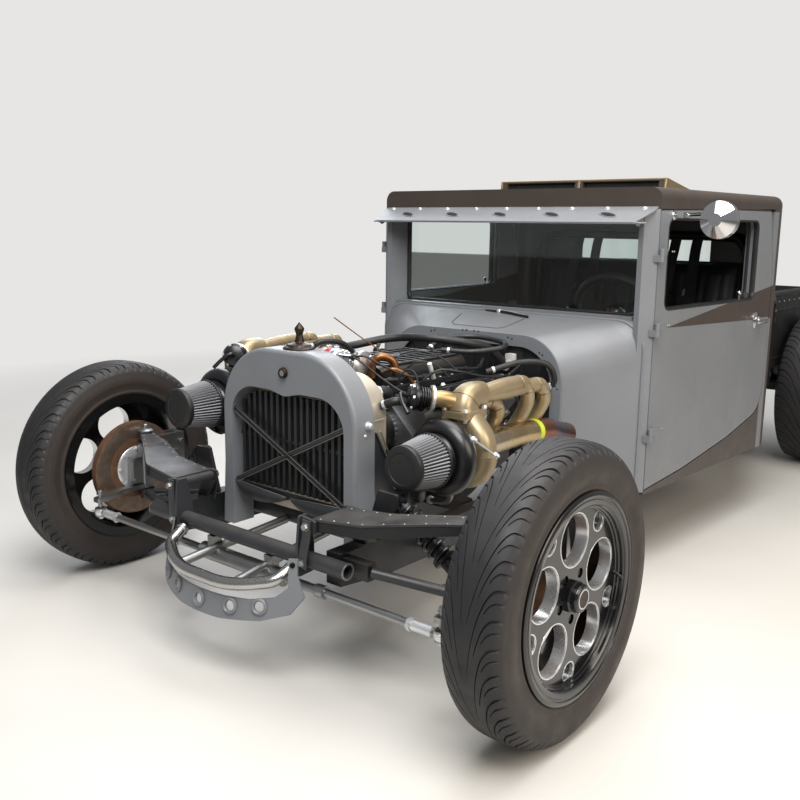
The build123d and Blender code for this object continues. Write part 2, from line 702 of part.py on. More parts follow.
def gearbox():
    """Bellhousing and gearbox with the pad that stands on its cross tube."""
    y0 = ENGINE_REAR + 20 + SEAT_GAP
    z = CRANK_Z - 15
    bell = cone((0, y0, z), (0, y0 + 160, z), BELLHOUSING_R, BELLHOUSING_R - 48)
    case = cone((0, y0 + 90, z), (0, GEARBOX_END + 40, SHAFT_Z), BELLHOUSING_R - 58, SHAFT_R + 12)
    pad_low = GEARBOX_TUBE_Z + GEARBOX_TUBE_R + SEAT_GAP
    pad = block((-40, 40), (GEARBOX_TUBE_Y - 40, GEARBOX_END), (pad_low, SHAFT_Z))
    return bell + (case - block((-99, 99), (GEARBOX_END, GEARBOX_END + 99), (200, 500))) + pad


def driveshaft():
    """Shaft from the gearbox to the axle's pinion."""
    shaft = rod((0, GEARBOX_END - 5, SHAFT_Z), (0, WHEELBASE - DIFF_R - 60, REAR_TYRE_R), SHAFT_R)
    return shaft - block((-99, 99), (GEARBOX_END - 99, GEARBOX_END + SEAT_GAP), (200, 500))


def turbo(side):
    """Compressor volute, bearing housing, turbine volute and their flanges."""
    y, z = TURBO_PLACES[side]
    x = TURBO_X
    volute = Pos(x, y, z) * Rot(90, 0, 0) * Torus(VOLUTE_R, VOLUTE_TUBE)
    plate = rod((x, y - 30, z), (x, y + 34, z), VOLUTE_R + 6)
    inlet = cone((x, y - 30, z), (x, y - INLET_REACH, z), 66, 60)
    turbine_y = y + TURBINE_BACK
    bearing = rod((x, y + 30, z), (x, turbine_y, z), 46)
    turbine = Pos(x, turbine_y, z) * Rot(90, 0, 0) * Torus(TURBINE_R, TURBINE_TUBE)
    wheel = rod((x, turbine_y - 26, z), (x, turbine_y + 46, z), TURBINE_R + 8)
    return volute + plate + inlet + bearing + turbine + wheel


def air_filter(side):
    """Cone filter with its rubber cap, clamped on the compressor's inlet."""
    y, z = TURBO_PLACES[side]
    base = y - INLET_REACH - SEAT_GAP
    element = cone((TURBO_X, base, z), (TURBO_X, base - FILTER_L, z), FILTER_BASE_R, FILTER_TIP_R)
    cap = rod((TURBO_X, base - FILTER_L, z), (TURBO_X, base - FILTER_L - 14, z), FILTER_TIP_R + 3)
    return element + cap


def exhaust_manifold(side):
    """Four primaries from the head into a collector on the turbine's flange."""
    y, z = TURBO_PLACES[side]
    turbine_y = y + TURBINE_BACK
    flange_z = z + TURBINE_R + TURBINE_TUBE + SEAT_GAP
    log_z = flange_z + 45
    lean = cos(radians(45))
    reach = DECK_REACH + 60
    port_x = (reach + DECK_HALF) * lean
    port_z = CRANK_Z + (reach - DECK_HALF) * lean
    whole = cone((TURBO_X, turbine_y, flange_z), (TURBO_X, turbine_y, flange_z + 40), 40, 34)
    whole = whole + rod((TURBO_X, turbine_y - 40, log_z), (TURBO_X, ENGINE_REAR - 60, log_z), 30)
    first, last = turbine_y + 90, ENGINE_REAR - 80
    for port in range(PORTS):
        port_y = first + port * (last - first) / (PORTS - 1)
        start = (port_x + SEAT_GAP, port_y, port_z - SEAT_GAP)
        out = (port_x + 60 * lean, port_y, port_z - 60 * lean)
        primary = pipe([start, out, (TURBO_X - 45, port_y, flange_z), (TURBO_X, port_y - 10, log_z)], 24, PRIMARY_R)
        whole = whole + primary
    return whole


def downpipe(side):
    """Pipe from the turbine's outlet to its open tip beside the firewall."""
    y, z = TURBO_PLACES[side]
    start = y + TURBINE_BACK + 46 + SEAT_GAP
    return pipe([(TURBO_X, start, z), (TURBO_X, 601, z), (TURBO_X, 868, 514)], 120, DOWNPIPE_R)


# Cab


def cowl_loft(inset):
    """Solid of the cowl's outer form, or of its inner form when inset by the wall."""
    faces = []
    for y, half, top, radius in COWL_SECTIONS:
        w, t, r = half - inset, top - inset, radius - inset / 2
        low = CAB_BOTTOM + 9 - (2 if inset else 0)
        faces.append(Plane.XZ.offset(-y) * outline([(-w, low), (-w, t), (w, t), (w, low)], [0, r, r, 0]))
    return loft(faces, ruled=True)


def hinge_axis_x():
    """Place of the door hinges' pins, just outside the skin."""
    return CAB_FRONT_HALF + HINGE_OUT


def hinge_leaf(z, to_rear):
    """One hinge half: barrel and leaf, on the door (upper) or on the post (lower)."""
    x, y = hinge_axis_x(), (POST_Y + DOOR_FRONT) / 2
    low, high = (z + SEAT_GAP, z + 22) if to_rear else (z - 22, z)
    barrel = rod((x, y, low), (x, y, high), HINGE_R)
    if to_rear:
        barrel = barrel + block((CAB_FRONT_HALF, x), (DOOR_FRONT + 3, DOOR_FRONT + 40), (low, high))
        barrel = barrel + block((x - 5, x), (y, DOOR_FRONT + 4), (low, high))
        return barrel - rod((x, y, low), (x, y, high), HINGE_PIN_R + PIN_CLEAR)
    leaf = block((CAB_FRONT_HALF - 12, x), (POST_Y - 12, POST_Y - 1), (low, high))
    tongue = block((x - 5, x), (POST_Y - 4, y), (low, high))
    return barrel + leaf + tongue + rod((x, y, z), (x, y, z + 20), HINGE_PIN_R)


def cowl():
    """Flared cowl shell with its hood flange and the body halves of the hinges."""
    shell = cowl_loft(0) - cowl_loft(COWL_T)
    flange = prism("y", [(-375, 300), (-375, 826), (375, 826), (375, 300)], COWL_FRONT - 8, COWL_FRONT, [0, 155, 155, 0])
    hole = prism("y", [(-335, 290), (-335, 786), (335, 786), (335, 290)], COWL_FRONT - 9, COWL_FRONT + 1,
                 [0, 130, 130, 0])
    over_rails = RAIL_X + RAIL_W / 2 + 2
    whole = shell + (flange - hole) - block((-over_rails, over_rails), (850, 1000), (200, FLOOR_Z + 1))
    leaf = hinge_leaf(HINGE_HEIGHTS[0], False)
    return whole + leaf + mirrored(leaf)


def firewall():
    """Flat panel behind the cowl's front edge, cut for the tunnel."""
    y = COWL_FRONT + 10
    half = 365 - COWL_T - SEAT_GAP + 8
    points = [(-half, FLOOR_Z + FLOOR_T + SEAT_GAP), (-half, 790), (half, 790), (half, FLOOR_Z + FLOOR_T + SEAT_GAP)]
    panel = prism("y", points, y, y + 6, [0, 140, 140, 0])
    tunnel = prism("y", tunnel_points(TUNNEL_T + SEAT_GAP), y - 2, y + 10, [0, 60, 60, 0])
    return panel - tunnel


def tunnel_points(grow=0.0):
    """Section of the gearbox tunnel's inside, or larger."""
    half, top = TUNNEL_HALF + grow, TUNNEL_TOP + grow
    low = FLOOR_Z - 5
    return [(-half, low), (-half, top), (half, top), (half, low)]


def shaft_tunnel_points(grow=0.0):
    """Section of the shaft tunnel's inside, or larger."""
    half, top = SHAFT_TUNNEL_HALF + grow, SHAFT_TUNNEL_TOP + grow
    return [(-half, FLOOR_Z - 5), (-half, top), (half, top), (half, FLOOR_Z - 5)]


def floor_pan():
    """Floor with the tunnels over gearbox and shaft, from the firewall to the cab's back."""
    inside = WALL + SEAT_GAP
    front, back = COWL_FRONT + 1, CAB_BACK - WALL - 1
    plan = [(365 - COWL_T - 3, front), (CAB_FRONT_HALF - COWL_T - 54, POST_Y - 48), (CAB_FRONT_HALF - inside, POST_Y + 1),
            (half_width(2130) - inside - 1, 2130), (half_width(2130) - inside - 90, back)]
    points = plan + [(-x, y) for x, y in reversed(plan)]
    pan = prism("z", points, FLOOR_Z, FLOOR_Z + FLOOR_T)
    step = GEARBOX_END + 80
    outer = prism("y", tunnel_points(TUNNEL_T), front, step, [0, 60, 60, 0])
    outer = outer + prism("y", shaft_tunnel_points(SHAFT_TUNNEL_T), step - 2, back, [0, 20, 20, 0])
    inner = prism("y", tunnel_points(), front - 2, step - TUNNEL_T, [0, 54, 54, 0])
    inner = inner + prism("y", shaft_tunnel_points(), step - 10, back + 2, [0, 14, 14, 0])
    above = block((-700, 700), (front, back), (FLOOR_Z, 700))
    return ((pan + outer) & above) - inner


def side_wall(low_y, high_y):
    """Slab of the left wall between two stations, over the cab's whole height."""
    plan = [(half_width(low_y) - WALL, low_y), (half_width(low_y), low_y), (half_width(high_y), high_y),
            (half_width(high_y) - WALL, high_y)]
    return prism("z", plan, CAB_BOTTOM, 1400)


def door_profile(grow=0.0):
    """Side view of the door, grown all round by a gap."""
    points = [
        (DOOR_FRONT - grow, DOOR_BOTTOM_FRONT - grow),
        (DOOR_FRONT - grow, 1249 + grow),
        (2050 + grow, 1268 + grow),
        (2112 + grow, 1000),
        (2114 + grow, 620),
        (2090 + grow, 450 - grow),
        (1780, 380 - grow),
        (1400, 325 - grow),
    ]
    return points, [0, 0, 20, 300, 300, 110, 300, 600]


def door():
    """Left door: the whole wall's thickness, window cut, hinge halves and handle."""
    points, radii = door_profile()
    slab = side_wall(DOOR_FRONT - 10, 2130) & prism("x", points, 400, 800, radii)
    low, high = WINDOW_Y
    sill, head = WINDOW_Z
    window = prism("x", [(low, sill), (low, head), (high, head), (high, sill)], 400, 800, WINDOW_R)
    leaf = slab - window
    for z in HINGE_HEIGHTS:
        leaf = leaf + hinge_leaf(z, True)
    x = half_width(1970)
    grip = block((x - 4, x + 26), (1962, 1978), (824, 840)) + block((x + 16, x + 28), (1935, 2040), (822, 842))
    return leaf + grip


def sill():
    """Left rocker below the door."""
    points, radii = door_profile(DOOR_GAP)
    low, high = POST_Y + 1, 2088.0
    slab = side_wall(low, high)
    strip = prism("x", [(low, CAB_BOTTOM), (high, CAB_BOTTOM), (high, 700), (low, 700)], 400, 800)
    return (slab & strip) - prism("x", points, 300, 900, radii)


def cab_back():
    """Back wall with rounded corners, its rear window cut and the door's opening cut."""
    corner_half = half_width(2140)
    plan = [(-half_width(2090), 2090), (-corner_half, 2140), (-corner_half + 8, CAB_BACK), (corner_half - 8, CAB_BACK),
            (corner_half, 2140), (half_width(2090), 2090)]
    inner = [(-half_width(2088) + WALL, 2088), (-corner_half + WALL, 2140), (-corner_half + 8 + WALL, CAB_BACK - WALL),
             (corner_half - 8 - WALL, CAB_BACK - WALL), (corner_half - WALL, 2140), (half_width(2088) - WALL, 2088)]
    rounding = [0, 0, CAB_CORNER_R, CAB_CORNER_R, 0, 0]
    small = [0, 0, CAB_CORNER_R - WALL, CAB_CORNER_R - WALL, 0, 0]
    wall = prism("z", plan, CAB_BOTTOM, 1300, rounding) - prism("z", inner, CAB_BOTTOM - 5, 1305, small)
    points, radii = door_profile(DOOR_GAP)
    opening = prism("x", points, 300, 900, radii)
    wall = wall - opening - mirrored(opening)
    window = prism("y", [(-REAR_WINDOW_HALF, 960), (-REAR_WINDOW_HALF, 1180), (REAR_WINDOW_HALF, 1180),
                         (REAR_WINDOW_HALF, 960)], CAB_BACK - WALL - 5, CAB_BACK + 5, 40)
    inside = half_width(2088) - WALL
    under = block((-inside, inside), (2080, CAB_BACK + 5), (200, FLOOR_Z))
    shaft = prism("y", shaft_tunnel_points(SHAFT_TUNNEL_T + SEAT_GAP), CAB_BACK - WALL - 5, CAB_BACK + 5)
    return wall - window - under - shaft - roof_cutter(-SEAT_GAP)


def rear_window():
    """Glass in the cab's back."""
    g = SEAT_GAP
    half = REAR_WINDOW_HALF - g
    return prism("y", [(-half, 960 + g), (-half, 1180 - g), (half, 1180 - g), (half, 960 + g)], CAB_BACK - 28,
                 CAB_BACK - 28 + GLASS_T, 40 - g)


def roof_cutter(lift=0.0):
    """Everything above the line on which the roof sits."""
    y0, y1 = 900.0, 2400.0
    points = [(y0, roof_bottom(y0) + lift), (y1, roof_bottom(y1) + lift), (y1, 1500), (y0, 1500)]
    return prism("x", points, -900, 900)


def roof():
    """Low roof with rounded edges, hollow below, with twin forward mouths on top."""
    corner_half = half_width(2140)
    front = VISOR_BACK[0] + SEAT_GAP
    plan = [(-half_width(front), front), (-corner_half, 2140), (-corner_half + 8, CAB_BACK),
            (corner_half - 8, CAB_BACK), (corner_half, 2140), (half_width(front), front)]
    radii = [0, 0, CAB_CORNER_R, CAB_CORNER_R, 0, 0]
    lid = prism("z", plan, 1240, ROOF_SIDE_TOP, radii)
    top = lid.faces().sort_by(Axis.Z)[-1]
    lid = fillet(top.edges().filter_by(lambda edge: edge.center().Y > front + 5), 38)
    inner = [(-half_width(front) + WALL, front + 70), (-corner_half + WALL, 2140), (-corner_half + 8 + WALL, CAB_BACK - WALL),
             (corner_half - 8 - WALL, CAB_BACK - WALL), (corner_half - WALL, 2140), (half_width(front) - WALL, front + 70)]
    hollow = prism("z", inner, 1200, ROOF_SIDE_TOP - ROOF_WALL,
                   [0, 0, CAB_CORNER_R - WALL, CAB_CORNER_R - WALL, 0, 0])
    return (lid & roof_cutter()) - hollow


def roof_scoop():
    """Twin forward air mouths with a centre divider."""
    base = ROOF_SIDE_TOP + SEAT_GAP
    side = [(SCOOP_FRONT, base), (SCOOP_FRONT + 10, SCOOP_TOP), (SCOOP_REAR, ROOF_SIDE_TOP + 16), (SCOOP_REAR + 60, base)]
    body = prism("x", side, -SCOOP_HALF, SCOOP_HALF)
    mouth_half = (SCOOP_HALF - 3 * 12) / 2
    for x in (-mouth_half - 12, mouth_half + 12):
        low, high = x - mouth_half + 6, x + mouth_half - 6
        body = body - prism("x", [(SCOOP_FRONT - 5, base + 6), (SCOOP_FRONT - 5, SCOOP_TOP - 8),
                                  (SCOOP_FRONT + 140, SCOOP_TOP - 30), (SCOOP_FRONT + 140, base + 6)], low, high)
    return body


def windshield_frame():
    """Posts and header around the windshield, standing on the cowl."""
    step = WINDSHIELD_HALF + POST_STEP
    nose = POST_Y - POST_NOSE
    front_post = [(CAB_FRONT_HALF, POST_Y), (CAB_FRONT_HALF - 38, nose), (CAB_FRONT_HALF - 58, nose + 4),
                  (WINDSHIELD_HALF, WINDSHIELD_Y - 10), (WINDSHIELD_HALF, POST_REAR), (step, POST_REAR), (step, POST_Y)]
    post = prism("z", front_post, 700, 1300)
    inner_post = block((WINDSHIELD_HALF, step), (POST_Y + 1, POST_REAR), (FLOOR_Z + FLOOR_T + SEAT_GAP, 720))
    half = post + inner_post
    sill_z, head_z = WINDSHIELD_Z
    header = block((-WINDSHIELD_HALF - 5, WINDSHIELD_HALF + 5), (POST_Y + 8, POST_REAR), (head_z, head_z + 72))
    base = block((-WINDSHIELD_HALF - 5, WINDSHIELD_HALF + 5), (POST_Y - 10, POST_REAR), (sill_z - 43, sill_z))
    whole = half + mirrored(half) + header + base
    for z in HINGE_HEIGHTS[1:]:
        leaf = hinge_leaf(z, False)
        whole = whole + leaf + mirrored(leaf)
    return whole - cowl_loft(0) - roof_cutter(-SEAT_GAP) - visor_cutter()


def visor_cutter():
    """Everything above the visor's underside, which the posts stop short of."""
    lip, back = VISOR_LIP, VISOR_BACK
    slope = (back[1] - lip[1]) / (back[0] - lip[0])
    low, high = lip[0] - 100, back[0] + SEAT_GAP
    under = back[1] - VISOR_T - SEAT_GAP
    points = [(low, under - slope * (back[0] - low)), (high, under), (high, 1500), (low, 1500)]
    return prism("x", points, -900, 900)


def windshield():
    """Flat glass between the posts."""
    g = SEAT_GAP
    half = WINDSHIELD_HALF - g
    return block((-half, half), (WINDSHIELD_Y, WINDSHIELD_Y + GLASS_T), (WINDSHIELD_Z[0] + g, WINDSHIELD_Z[1] - g))


def visor():
    """Sun visor sheet over the windshield with its side plates."""
    lip, back = VISOR_LIP, VISOR_BACK
    side = [(lip[0], lip[1]), (lip[0], lip[1] - 6), (lip[0] + 4, lip[1] - 6), (lip[0] + 5, lip[1] + 1),
            (back[0], back[1] - VISOR_T), (back[0], back[1])]
    sheet = prism("x", side, -VISOR_HALF - 30, VISOR_HALF + 30)
    plan = [(-VISOR_HALF, lip[0] - 1), (VISOR_HALF, lip[0] - 1), (half_width(back[0]), back[0]),
            (-half_width(back[0]), back[0])]
    sheet = sheet & prism("z", plan, 1150, 1350)
    slope = (back[1] - lip[1]) / (back[0] - lip[0])
    stop = POST_Y - POST_NOSE - 2
    stop_z = lip[1] + slope * (stop - lip[0]) - 2
    end = [(lip[0] + 2, lip[1] - 2), (stop, stop_z), (stop, stop_z - 28), (lip[0] + 30, lip[1] - 14)]
    cheek = prism("x", end, VISOR_HALF - 5, VISOR_HALF - 1)
    return sheet + cheek + mirrored(cheek)


def dashboard():
    """Dash panel with a round instrument binnacle."""
    half = WINDSHIELD_HALF - 4
    front = POST_REAR + SEAT_GAP
    return prism("x", [(front, 895), (1290, 880), (1310, 780), (1290, 760), (front, 770)], -half, half, [0, 10, 10, 10, 0])


def column_way():
    """Unit direction of the steering column, towards the driver."""
    return (Vector(*COLUMN_TOP) - Vector(*COLUMN_LOW)).normalized()


def steering_column():
    """Column tube with a bore for the wheel's shaft, and its bracket to the dash."""
    low = Vector(*COLUMN_LOW)
    top = Vector(*COLUMN_TOP)
    tube = rod(low, top, 24) - rod(top - column_way() * 60, top, 10 + PIN_CLEAR)
    return tube


def steering_wheel():
    """Wheel rim, three flat spokes, hub and shaft."""
    flat = Torus(WHEEL_R, 14) + Pos(0, 0, -15) * Cylinder(32, 40) + Pos(0, 0, -50) * Cylinder(10, 90)
    reach = WHEEL_R - 4
    for turn in (0, 180, 270):
        flat = flat + Rot(0, 0, turn) * Pos(reach / 2, 0, 0) * Box(reach, 26, 5)
    way = column_way()
    return Plane(origin=Vector(*COLUMN_TOP) + way * 45, x_dir=(1, 0, 0), z_dir=way) * flat


def seat():
    """Bench seat and back."""
    half = 480.0
    base = prism("x", [(1660, FLOOR_Z + FLOOR_T + SEAT_GAP), (1640, 500), (2076, 470), (2106, FLOOR_Z + FLOOR_T + SEAT_GAP)],
                 -half, half, [0, 30, 20, 0])
    over_tunnel = prism("y", shaft_tunnel_points(SHAFT_TUNNEL_T + SEAT_GAP), 1600, 2300)
    low, rear = FLOOR_Z + FLOOR_T + SEAT_GAP, CAB_BACK - WALL - 2
    back = prism("x", [(2118, low), (2080, 560), (2190, 1060), (rear, 1060), (rear, low)], -half, half, [0, 20, 20, 20, 0])
    return base - over_tunnel, back - over_tunnel


def mirror_left():
    """Round door mirror on its arm."""
    head = rod((800, 1084, 1219), (800, 1062, 1219), 58)
    shell = cone((800, 1062, 1219), (800, 1036, 1219), 58, 20)
    arm = pipe([(half_width(1308) + 5, 1293, 1238), (680, 1240, 1240), (800, 1080, 1222)], 60, 6)
    base = block((half_width(1308) + SEAT_GAP, half_width(1308) + 8), (1278, 1308), (1229, 1247))
    return head + shell + arm + base


# Bed


def bed_inner(y):
    """Inner half width of the bed at a distance behind the front axle."""
    share = min(1.0, (y - BED_FRONT) / (BED_KNEE - BED_FRONT))
    return BED_FRONT_HALF - BED_T + (BED_HALF - BED_FRONT_HALF) * share


def bed_floor():
    """Flat bed floor with the bolsters that stand on the rails' kick-up."""
    g = SEAT_GAP
    start = BED_FRONT + BED_T + g
    plan = [(bed_inner(start) - 2 * g, start), (bed_inner(BED_KNEE) - 2 * g, BED_KNEE), (BED_HALF - BED_T - 2 * g, BED_TAIL - 1)]
    points = plan + [(-x, y) for x, y in reversed(plan)]
    floor = prism("z", points, BED_FLOOR_Z - 20, BED_FLOOR_Z) + gate_brackets()
    reach = RAIL_X + RAIL_W / 2
    for y in BOLSTER_YS:
        floor = floor + block((-reach, reach), (y, y + BOLSTER_W), (KICK_Z + RAIL_H / 2 + SEAT_GAP, BED_FLOOR_Z - 19))
    return floor


def bed_side():
    """Left bed side: narrows from the cab to run straight past the tyre, rolled top rail."""
    plan = [(BED_FRONT_HALF, BED_FRONT), (BED_HALF, BED_KNEE), (BED_HALF, BED_TAIL), (BED_HALF - BED_T, BED_TAIL),
            (BED_HALF - BED_T, BED_KNEE), (BED_FRONT_HALF - BED_T, BED_FRONT)]
    wall = prism("z", plan, BED_SKIRT_Z, BED_TOP - BED_RAIL_R)
    mid = BED_T / 2
    path = [(BED_FRONT_HALF - mid, BED_FRONT, BED_TOP - BED_RAIL_R), (BED_HALF - mid, BED_KNEE, BED_TOP - BED_RAIL_R),
            (BED_HALF - mid, BED_TAIL, BED_TOP - BED_RAIL_R)]
    return wall + pipe(path, 200, BED_RAIL_R)


def bed_front():
    """Bed's front panel behind the cab."""
    back = BED_FRONT + BED_T
    front_half, back_half = bed_inner(BED_FRONT) - 2 * SEAT_GAP, bed_inner(back) - 2 * SEAT_GAP
    plan = [(-front_half, BED_FRONT), (front_half, BED_FRONT), (back_half, back), (-back_half, back)]
    return prism("z", plan, BED_SKIRT_Z, BED_TOP - 30)


def gate_hinge(low, high, radius):
    """Round bar on the tailgate's pivot line, on both sides."""
    bar = rod((low, GATE_PIVOT_Y, GATE_PIVOT_Z), (high, GATE_PIVOT_Y, GATE_PIVOT_Z), radius)
    return bar + mirrored(bar)


def gate_brackets():
    """Hinge brackets and pins under the bed floor's end."""
    arm = block((240.3, 280), (BED_TAIL - 40, GATE_PIVOT_Y), (GATE_PIVOT_Z - 7, GATE_PIVOT_Z + 8))
    return arm + mirrored(arm) + gate_hinge(240.3, 280, 8) + gate_hinge(205, 280, HINGE_PIN_R)


def tailgate():
    """Drop gate with its hinge barrels along the lower edge."""
    half = BED_HALF - 1
    y0 = BED_TAIL + DOOR_GAP
    low = GATE_PIVOT_Z + 15
    gate = prism("y", [(-half, low), (-half, BED_TOP - 8), (half, BED_TOP - 8), (half, low)], y0, y0 + GATE_T, 8)
    tongue = block((200, 240), (GATE_PIVOT_Y - 5, GATE_PIVOT_Y + 5), (GATE_PIVOT_Z, low + 4))
    gate = gate + tongue + mirrored(tongue) + gate_hinge(200, 240, 8)
    return gate - gate_hinge(200, 240, HINGE_PIN_R + PIN_CLEAR)


def tail_lamps():
    """Round lamps that hang from plates under the bed floor's end."""
    x, y, z = LAMP_X, BED_TAIL - 8, BED_FLOOR_Z - 70
    lamp = rod((x, y, z), (x, y - 34, z), 36)
    lamp = lamp + block((x - 16, x + 16), (y - 26, y - 20), (z, BED_FLOOR_Z - 20 - SEAT_GAP))
    return both(lamp)


# Frame


def frame_rails():
    """Two side rails with a kick-up over the rear axle."""
    low, high = RAIL_Z - RAIL_H / 2, RAIL_Z + RAIL_H / 2
    nose = CROSS_TUBE_Y + CROSS_TUBE_R + SEAT_GAP
    kick = KICK_Z - RAIL_Z
    side = [(nose, low + 20), (nose, high + 17), (40, high + 17), (110, high), (KICK_START, high), (KICK_END, high + kick),
            (RAIL_END, high + kick), (RAIL_END, low + kick), (KICK_END + 30, low + kick), (KICK_START + 30, low), (20, low)]
    rail = prism("x", side, RAIL_X - RAIL_W / 2, RAIL_X + RAIL_W / 2)
    return rail, mirrored(rail)


def cross_members():
    """Tubes and plates between the rails."""
    inner = RAIL_X - RAIL_W / 2 - SEAT_GAP
    members = []
    gearbox_tube = (GEARBOX_TUBE_Y, GEARBOX_TUBE_Z, GEARBOX_TUBE_R)
    for y, z, radius in ((92, 317, 28), gearbox_tube, (CAB_BACK - 22, 296, 24), (WHEELBASE - 280, KICK_Z, 26),
                         (RAIL_END - 90, KICK_Z, 26)):
        members.append(rod((-inner, y, z), (inner, y, z), radius))
    return members


def arm_ears():
    """Blocks on the rails' outer faces for the lower arms' front legs."""
    x0 = RAIL_X + RAIL_W / 2
    ear = block((x0, ARM_EAR_X - SEAT_GAP), (CROSS_TUBE_Y + 30, CROSS_TUBE_Y + 62), (308, 352))
    return ear, mirrored(ear)


def front_cross_member():
    """Open-ended tube across the nose with the two hanger plates welded on."""
    reach = CROSS_TUBE_HALF
    ends = (-reach, CROSS_TUBE_Y, CROSS_TUBE_Z), (reach, CROSS_TUBE_Y, CROSS_TUBE_Z)
    plate = front_bracket()
    return rod(*ends, CROSS_TUBE_R) + plate + mirrored(plate) - rod(*ends, CROSS_TUBE_BORE)


def rear_axle():
    """Axle tubes with the differential case, backing flanges and wheel stubs."""
    face = REAR_WHEEL_X + REAR_FACE_X - FACE_T
    flange = face - DRUM_W - DOOR_GAP
    tip = face - STUB_GAP
    y, z = WHEELBASE, REAR_TYRE_R
    half = [(0, 0), (flange - 10, AXLE_TUBE_R), (flange, DRUM_R - 50), (tip, STUB_R)]
    axle = Pos(0, y, z) * Sphere(DIFF_R)
    for (start, _), (end, radius) in zip(half, half[1:]):
        axle = axle + rod((start, y, z), (end, y, z), radius) + rod((-start, y, z), (-end, y, z), radius)
    nose = cone((0, y - 80, z), (0, y - DIFF_R - 60 + SEAT_GAP, z), 80, 45)
    return axle + nose


def rear_springs():
    """Upright coil-overs between the axle tubes and the rails' kick-up, one on each side."""
    x = RAIL_X + RAIL_W / 2 + SPRING_R + DOOR_GAP
    low = REAR_TYRE_R + AXLE_TUBE_R + SEAT_GAP
    high = BED_SKIRT_Z - SPRING_DROP
    y = WHEELBASE
    unit = rod((x, y, low), (x, y, high), SPRING_R - 12) + rod((x, y, low + 20), (x, y, high - 24), SPRING_R)
    plate = block((RAIL_X + RAIL_W / 2 + SEAT_GAP, x + 10), (y - 20, y + 20), (high, high + SPRING_DROP - SEAT_GAP))
    return unit + plate


def steering_rack():
    """Rack housing hung under the front tube, bored for its bar."""
    housing = rod((-RACK_HALF, CROSS_TUBE_Y, TIE_ROD_Z), (RACK_HALF, CROSS_TUBE_Y, TIE_ROD_Z), 24)
    saddle_top = CROSS_TUBE_Z - CROSS_TUBE_R - SEAT_GAP
    for x in (-120, 120):
        housing = housing + block((x - 15, x + 15), (CROSS_TUBE_Y - 14, CROSS_TUBE_Y + 14), (TIE_ROD_Z, saddle_top))
    return housing - rod((-RACK_HALF, CROSS_TUBE_Y, TIE_ROD_Z), (RACK_HALF, CROSS_TUBE_Y, TIE_ROD_Z),
                         RACK_BAR_R + PIN_CLEAR)


def rack_bar():
    """Sliding rack bar with its inner joints and both tie rods."""
    y, z = CROSS_TUBE_Y, TIE_ROD_Z
    bar = rod((-RACK_JOINT_X, y, z), (RACK_JOINT_X, y, z), RACK_BAR_R)
    joint = rod((RACK_JOINT_X - 12, y, z), (RACK_JOINT_X + 18, y, z), 18)
    tie = rod((RACK_JOINT_X, y, z), (ARM_TIP_X, ARM_TIP_Y, z), TIE_ROD_R)
    eye = rod((ARM_TIP_X, ARM_TIP_Y, z - 14), (ARM_TIP_X, ARM_TIP_Y, z + 14), 18)
    side = joint + tie + eye
    return bar + side + mirrored(side)


def build():
    """Make and write every node."""
    rails = [rail + ear + tower + pivot for rail, ear, tower, pivot in zip(frame_rails(), arm_ears(), *suspension_ears())]
    save("frame_rails", *rails)
    save("cross_members", *cross_members())
    save("front_cross_member", front_cross_member())
    save("front_arms", *both(upper_arm()), *both(lower_arm()))
    save("coil_overs", *both(coil_over()))
    save("bumper_tube", bumper_tube())
    save("chin_panel", chin_panel())
    save("steering_rack", steering_rack())
    save("tie_rods", rack_bar())
    save_pair("knuckle", knuckle() + caliper())
    save_pair("brake_disc", brake_disc())
    save_pair("front_tyre", tyre(FRONT_TYRE_R, FRONT_TYRE_W, FRONT_TREAD_W, FRONT_BEAD_R, FRONT_RIM_W, FRONT_CENTRE))
    save_pair("front_rim", rim(FRONT_BEAD_R, FRONT_RIM_W, FRONT_CENTRE, FRONT_FACE_X))
    save_pair("rear_tyre", tyre(REAR_TYRE_R, REAR_TYRE_W, REAR_TREAD_W, REAR_BEAD_R, REAR_RIM_W, REAR_CENTRE))
    save_pair("rear_rim", rim(REAR_BEAD_R, REAR_RIM_W, REAR_CENTRE, REAR_FACE_X) + rear_drum())
    save("rear_axle", rear_axle(), driveshaft())
    save("rear_springs", *both(rear_springs()))
    save("radiator_shell", radiator_shell())
    save("grille", grille(), grille_brace(), valance())
    save("radiator", radiator())
    save("radiator_cap", radiator_cap())
    save("shell_stays", *both(shell_stays()))
    save("engine_block", engine_block())
    save("cylinder_heads", *heads(), *valve_covers())
    save("intake", intake())
    save("front_drive", front_drive())
    save("gearbox", gearbox())
    save("turbochargers", turbo("left"), mirrored(turbo("right")))
    save("air_filters", air_filter("left"), mirrored(air_filter("right")))
    save("exhaust_manifolds", exhaust_manifold("left"), mirrored(exhaust_manifold("right")))
    save("downpipes", downpipe("left"), mirrored(downpipe("right")))
    save("cowl", cowl())
    save("floor_pan", floor_pan())
    save("firewall", firewall())
    save_pair("door", door())
    save("sills", *both(sill()))
    save("cab_back", cab_back())
    save("roof", roof(), roof_scoop())
    save("windshield_frame", windshield_frame())
    save("glass", windshield(), rear_window())
    save("visor", visor())
    save("dashboard", dashboard() + steering_column())
    save("steering_wheel", steering_wheel())
    save("seat", *seat())
    save("mirror", mirror_left())
    save("bed_floor", bed_floor(), bed_front())
    save("bed_sides", *both(bed_side()))
    save("tailgate", tailgate())
    save("tail_lamps", *tail_lamps())


os.makedirs("parts", exist_ok=True)
build()
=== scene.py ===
"""Dress the street rod pickup: its finishes, its small parts and the photograph's view.

Places named in car millimetres are counted from the middle of the front axle on the ground, with +X to
the car's left, +Y to its rear and +Z up. CarFrame turns them into the row's metres.
"""

import logging
from dataclasses import dataclass
from enum import Enum
from math import cos, pi, radians, sin
from typing import Callable, Iterable, Optional, Sequence

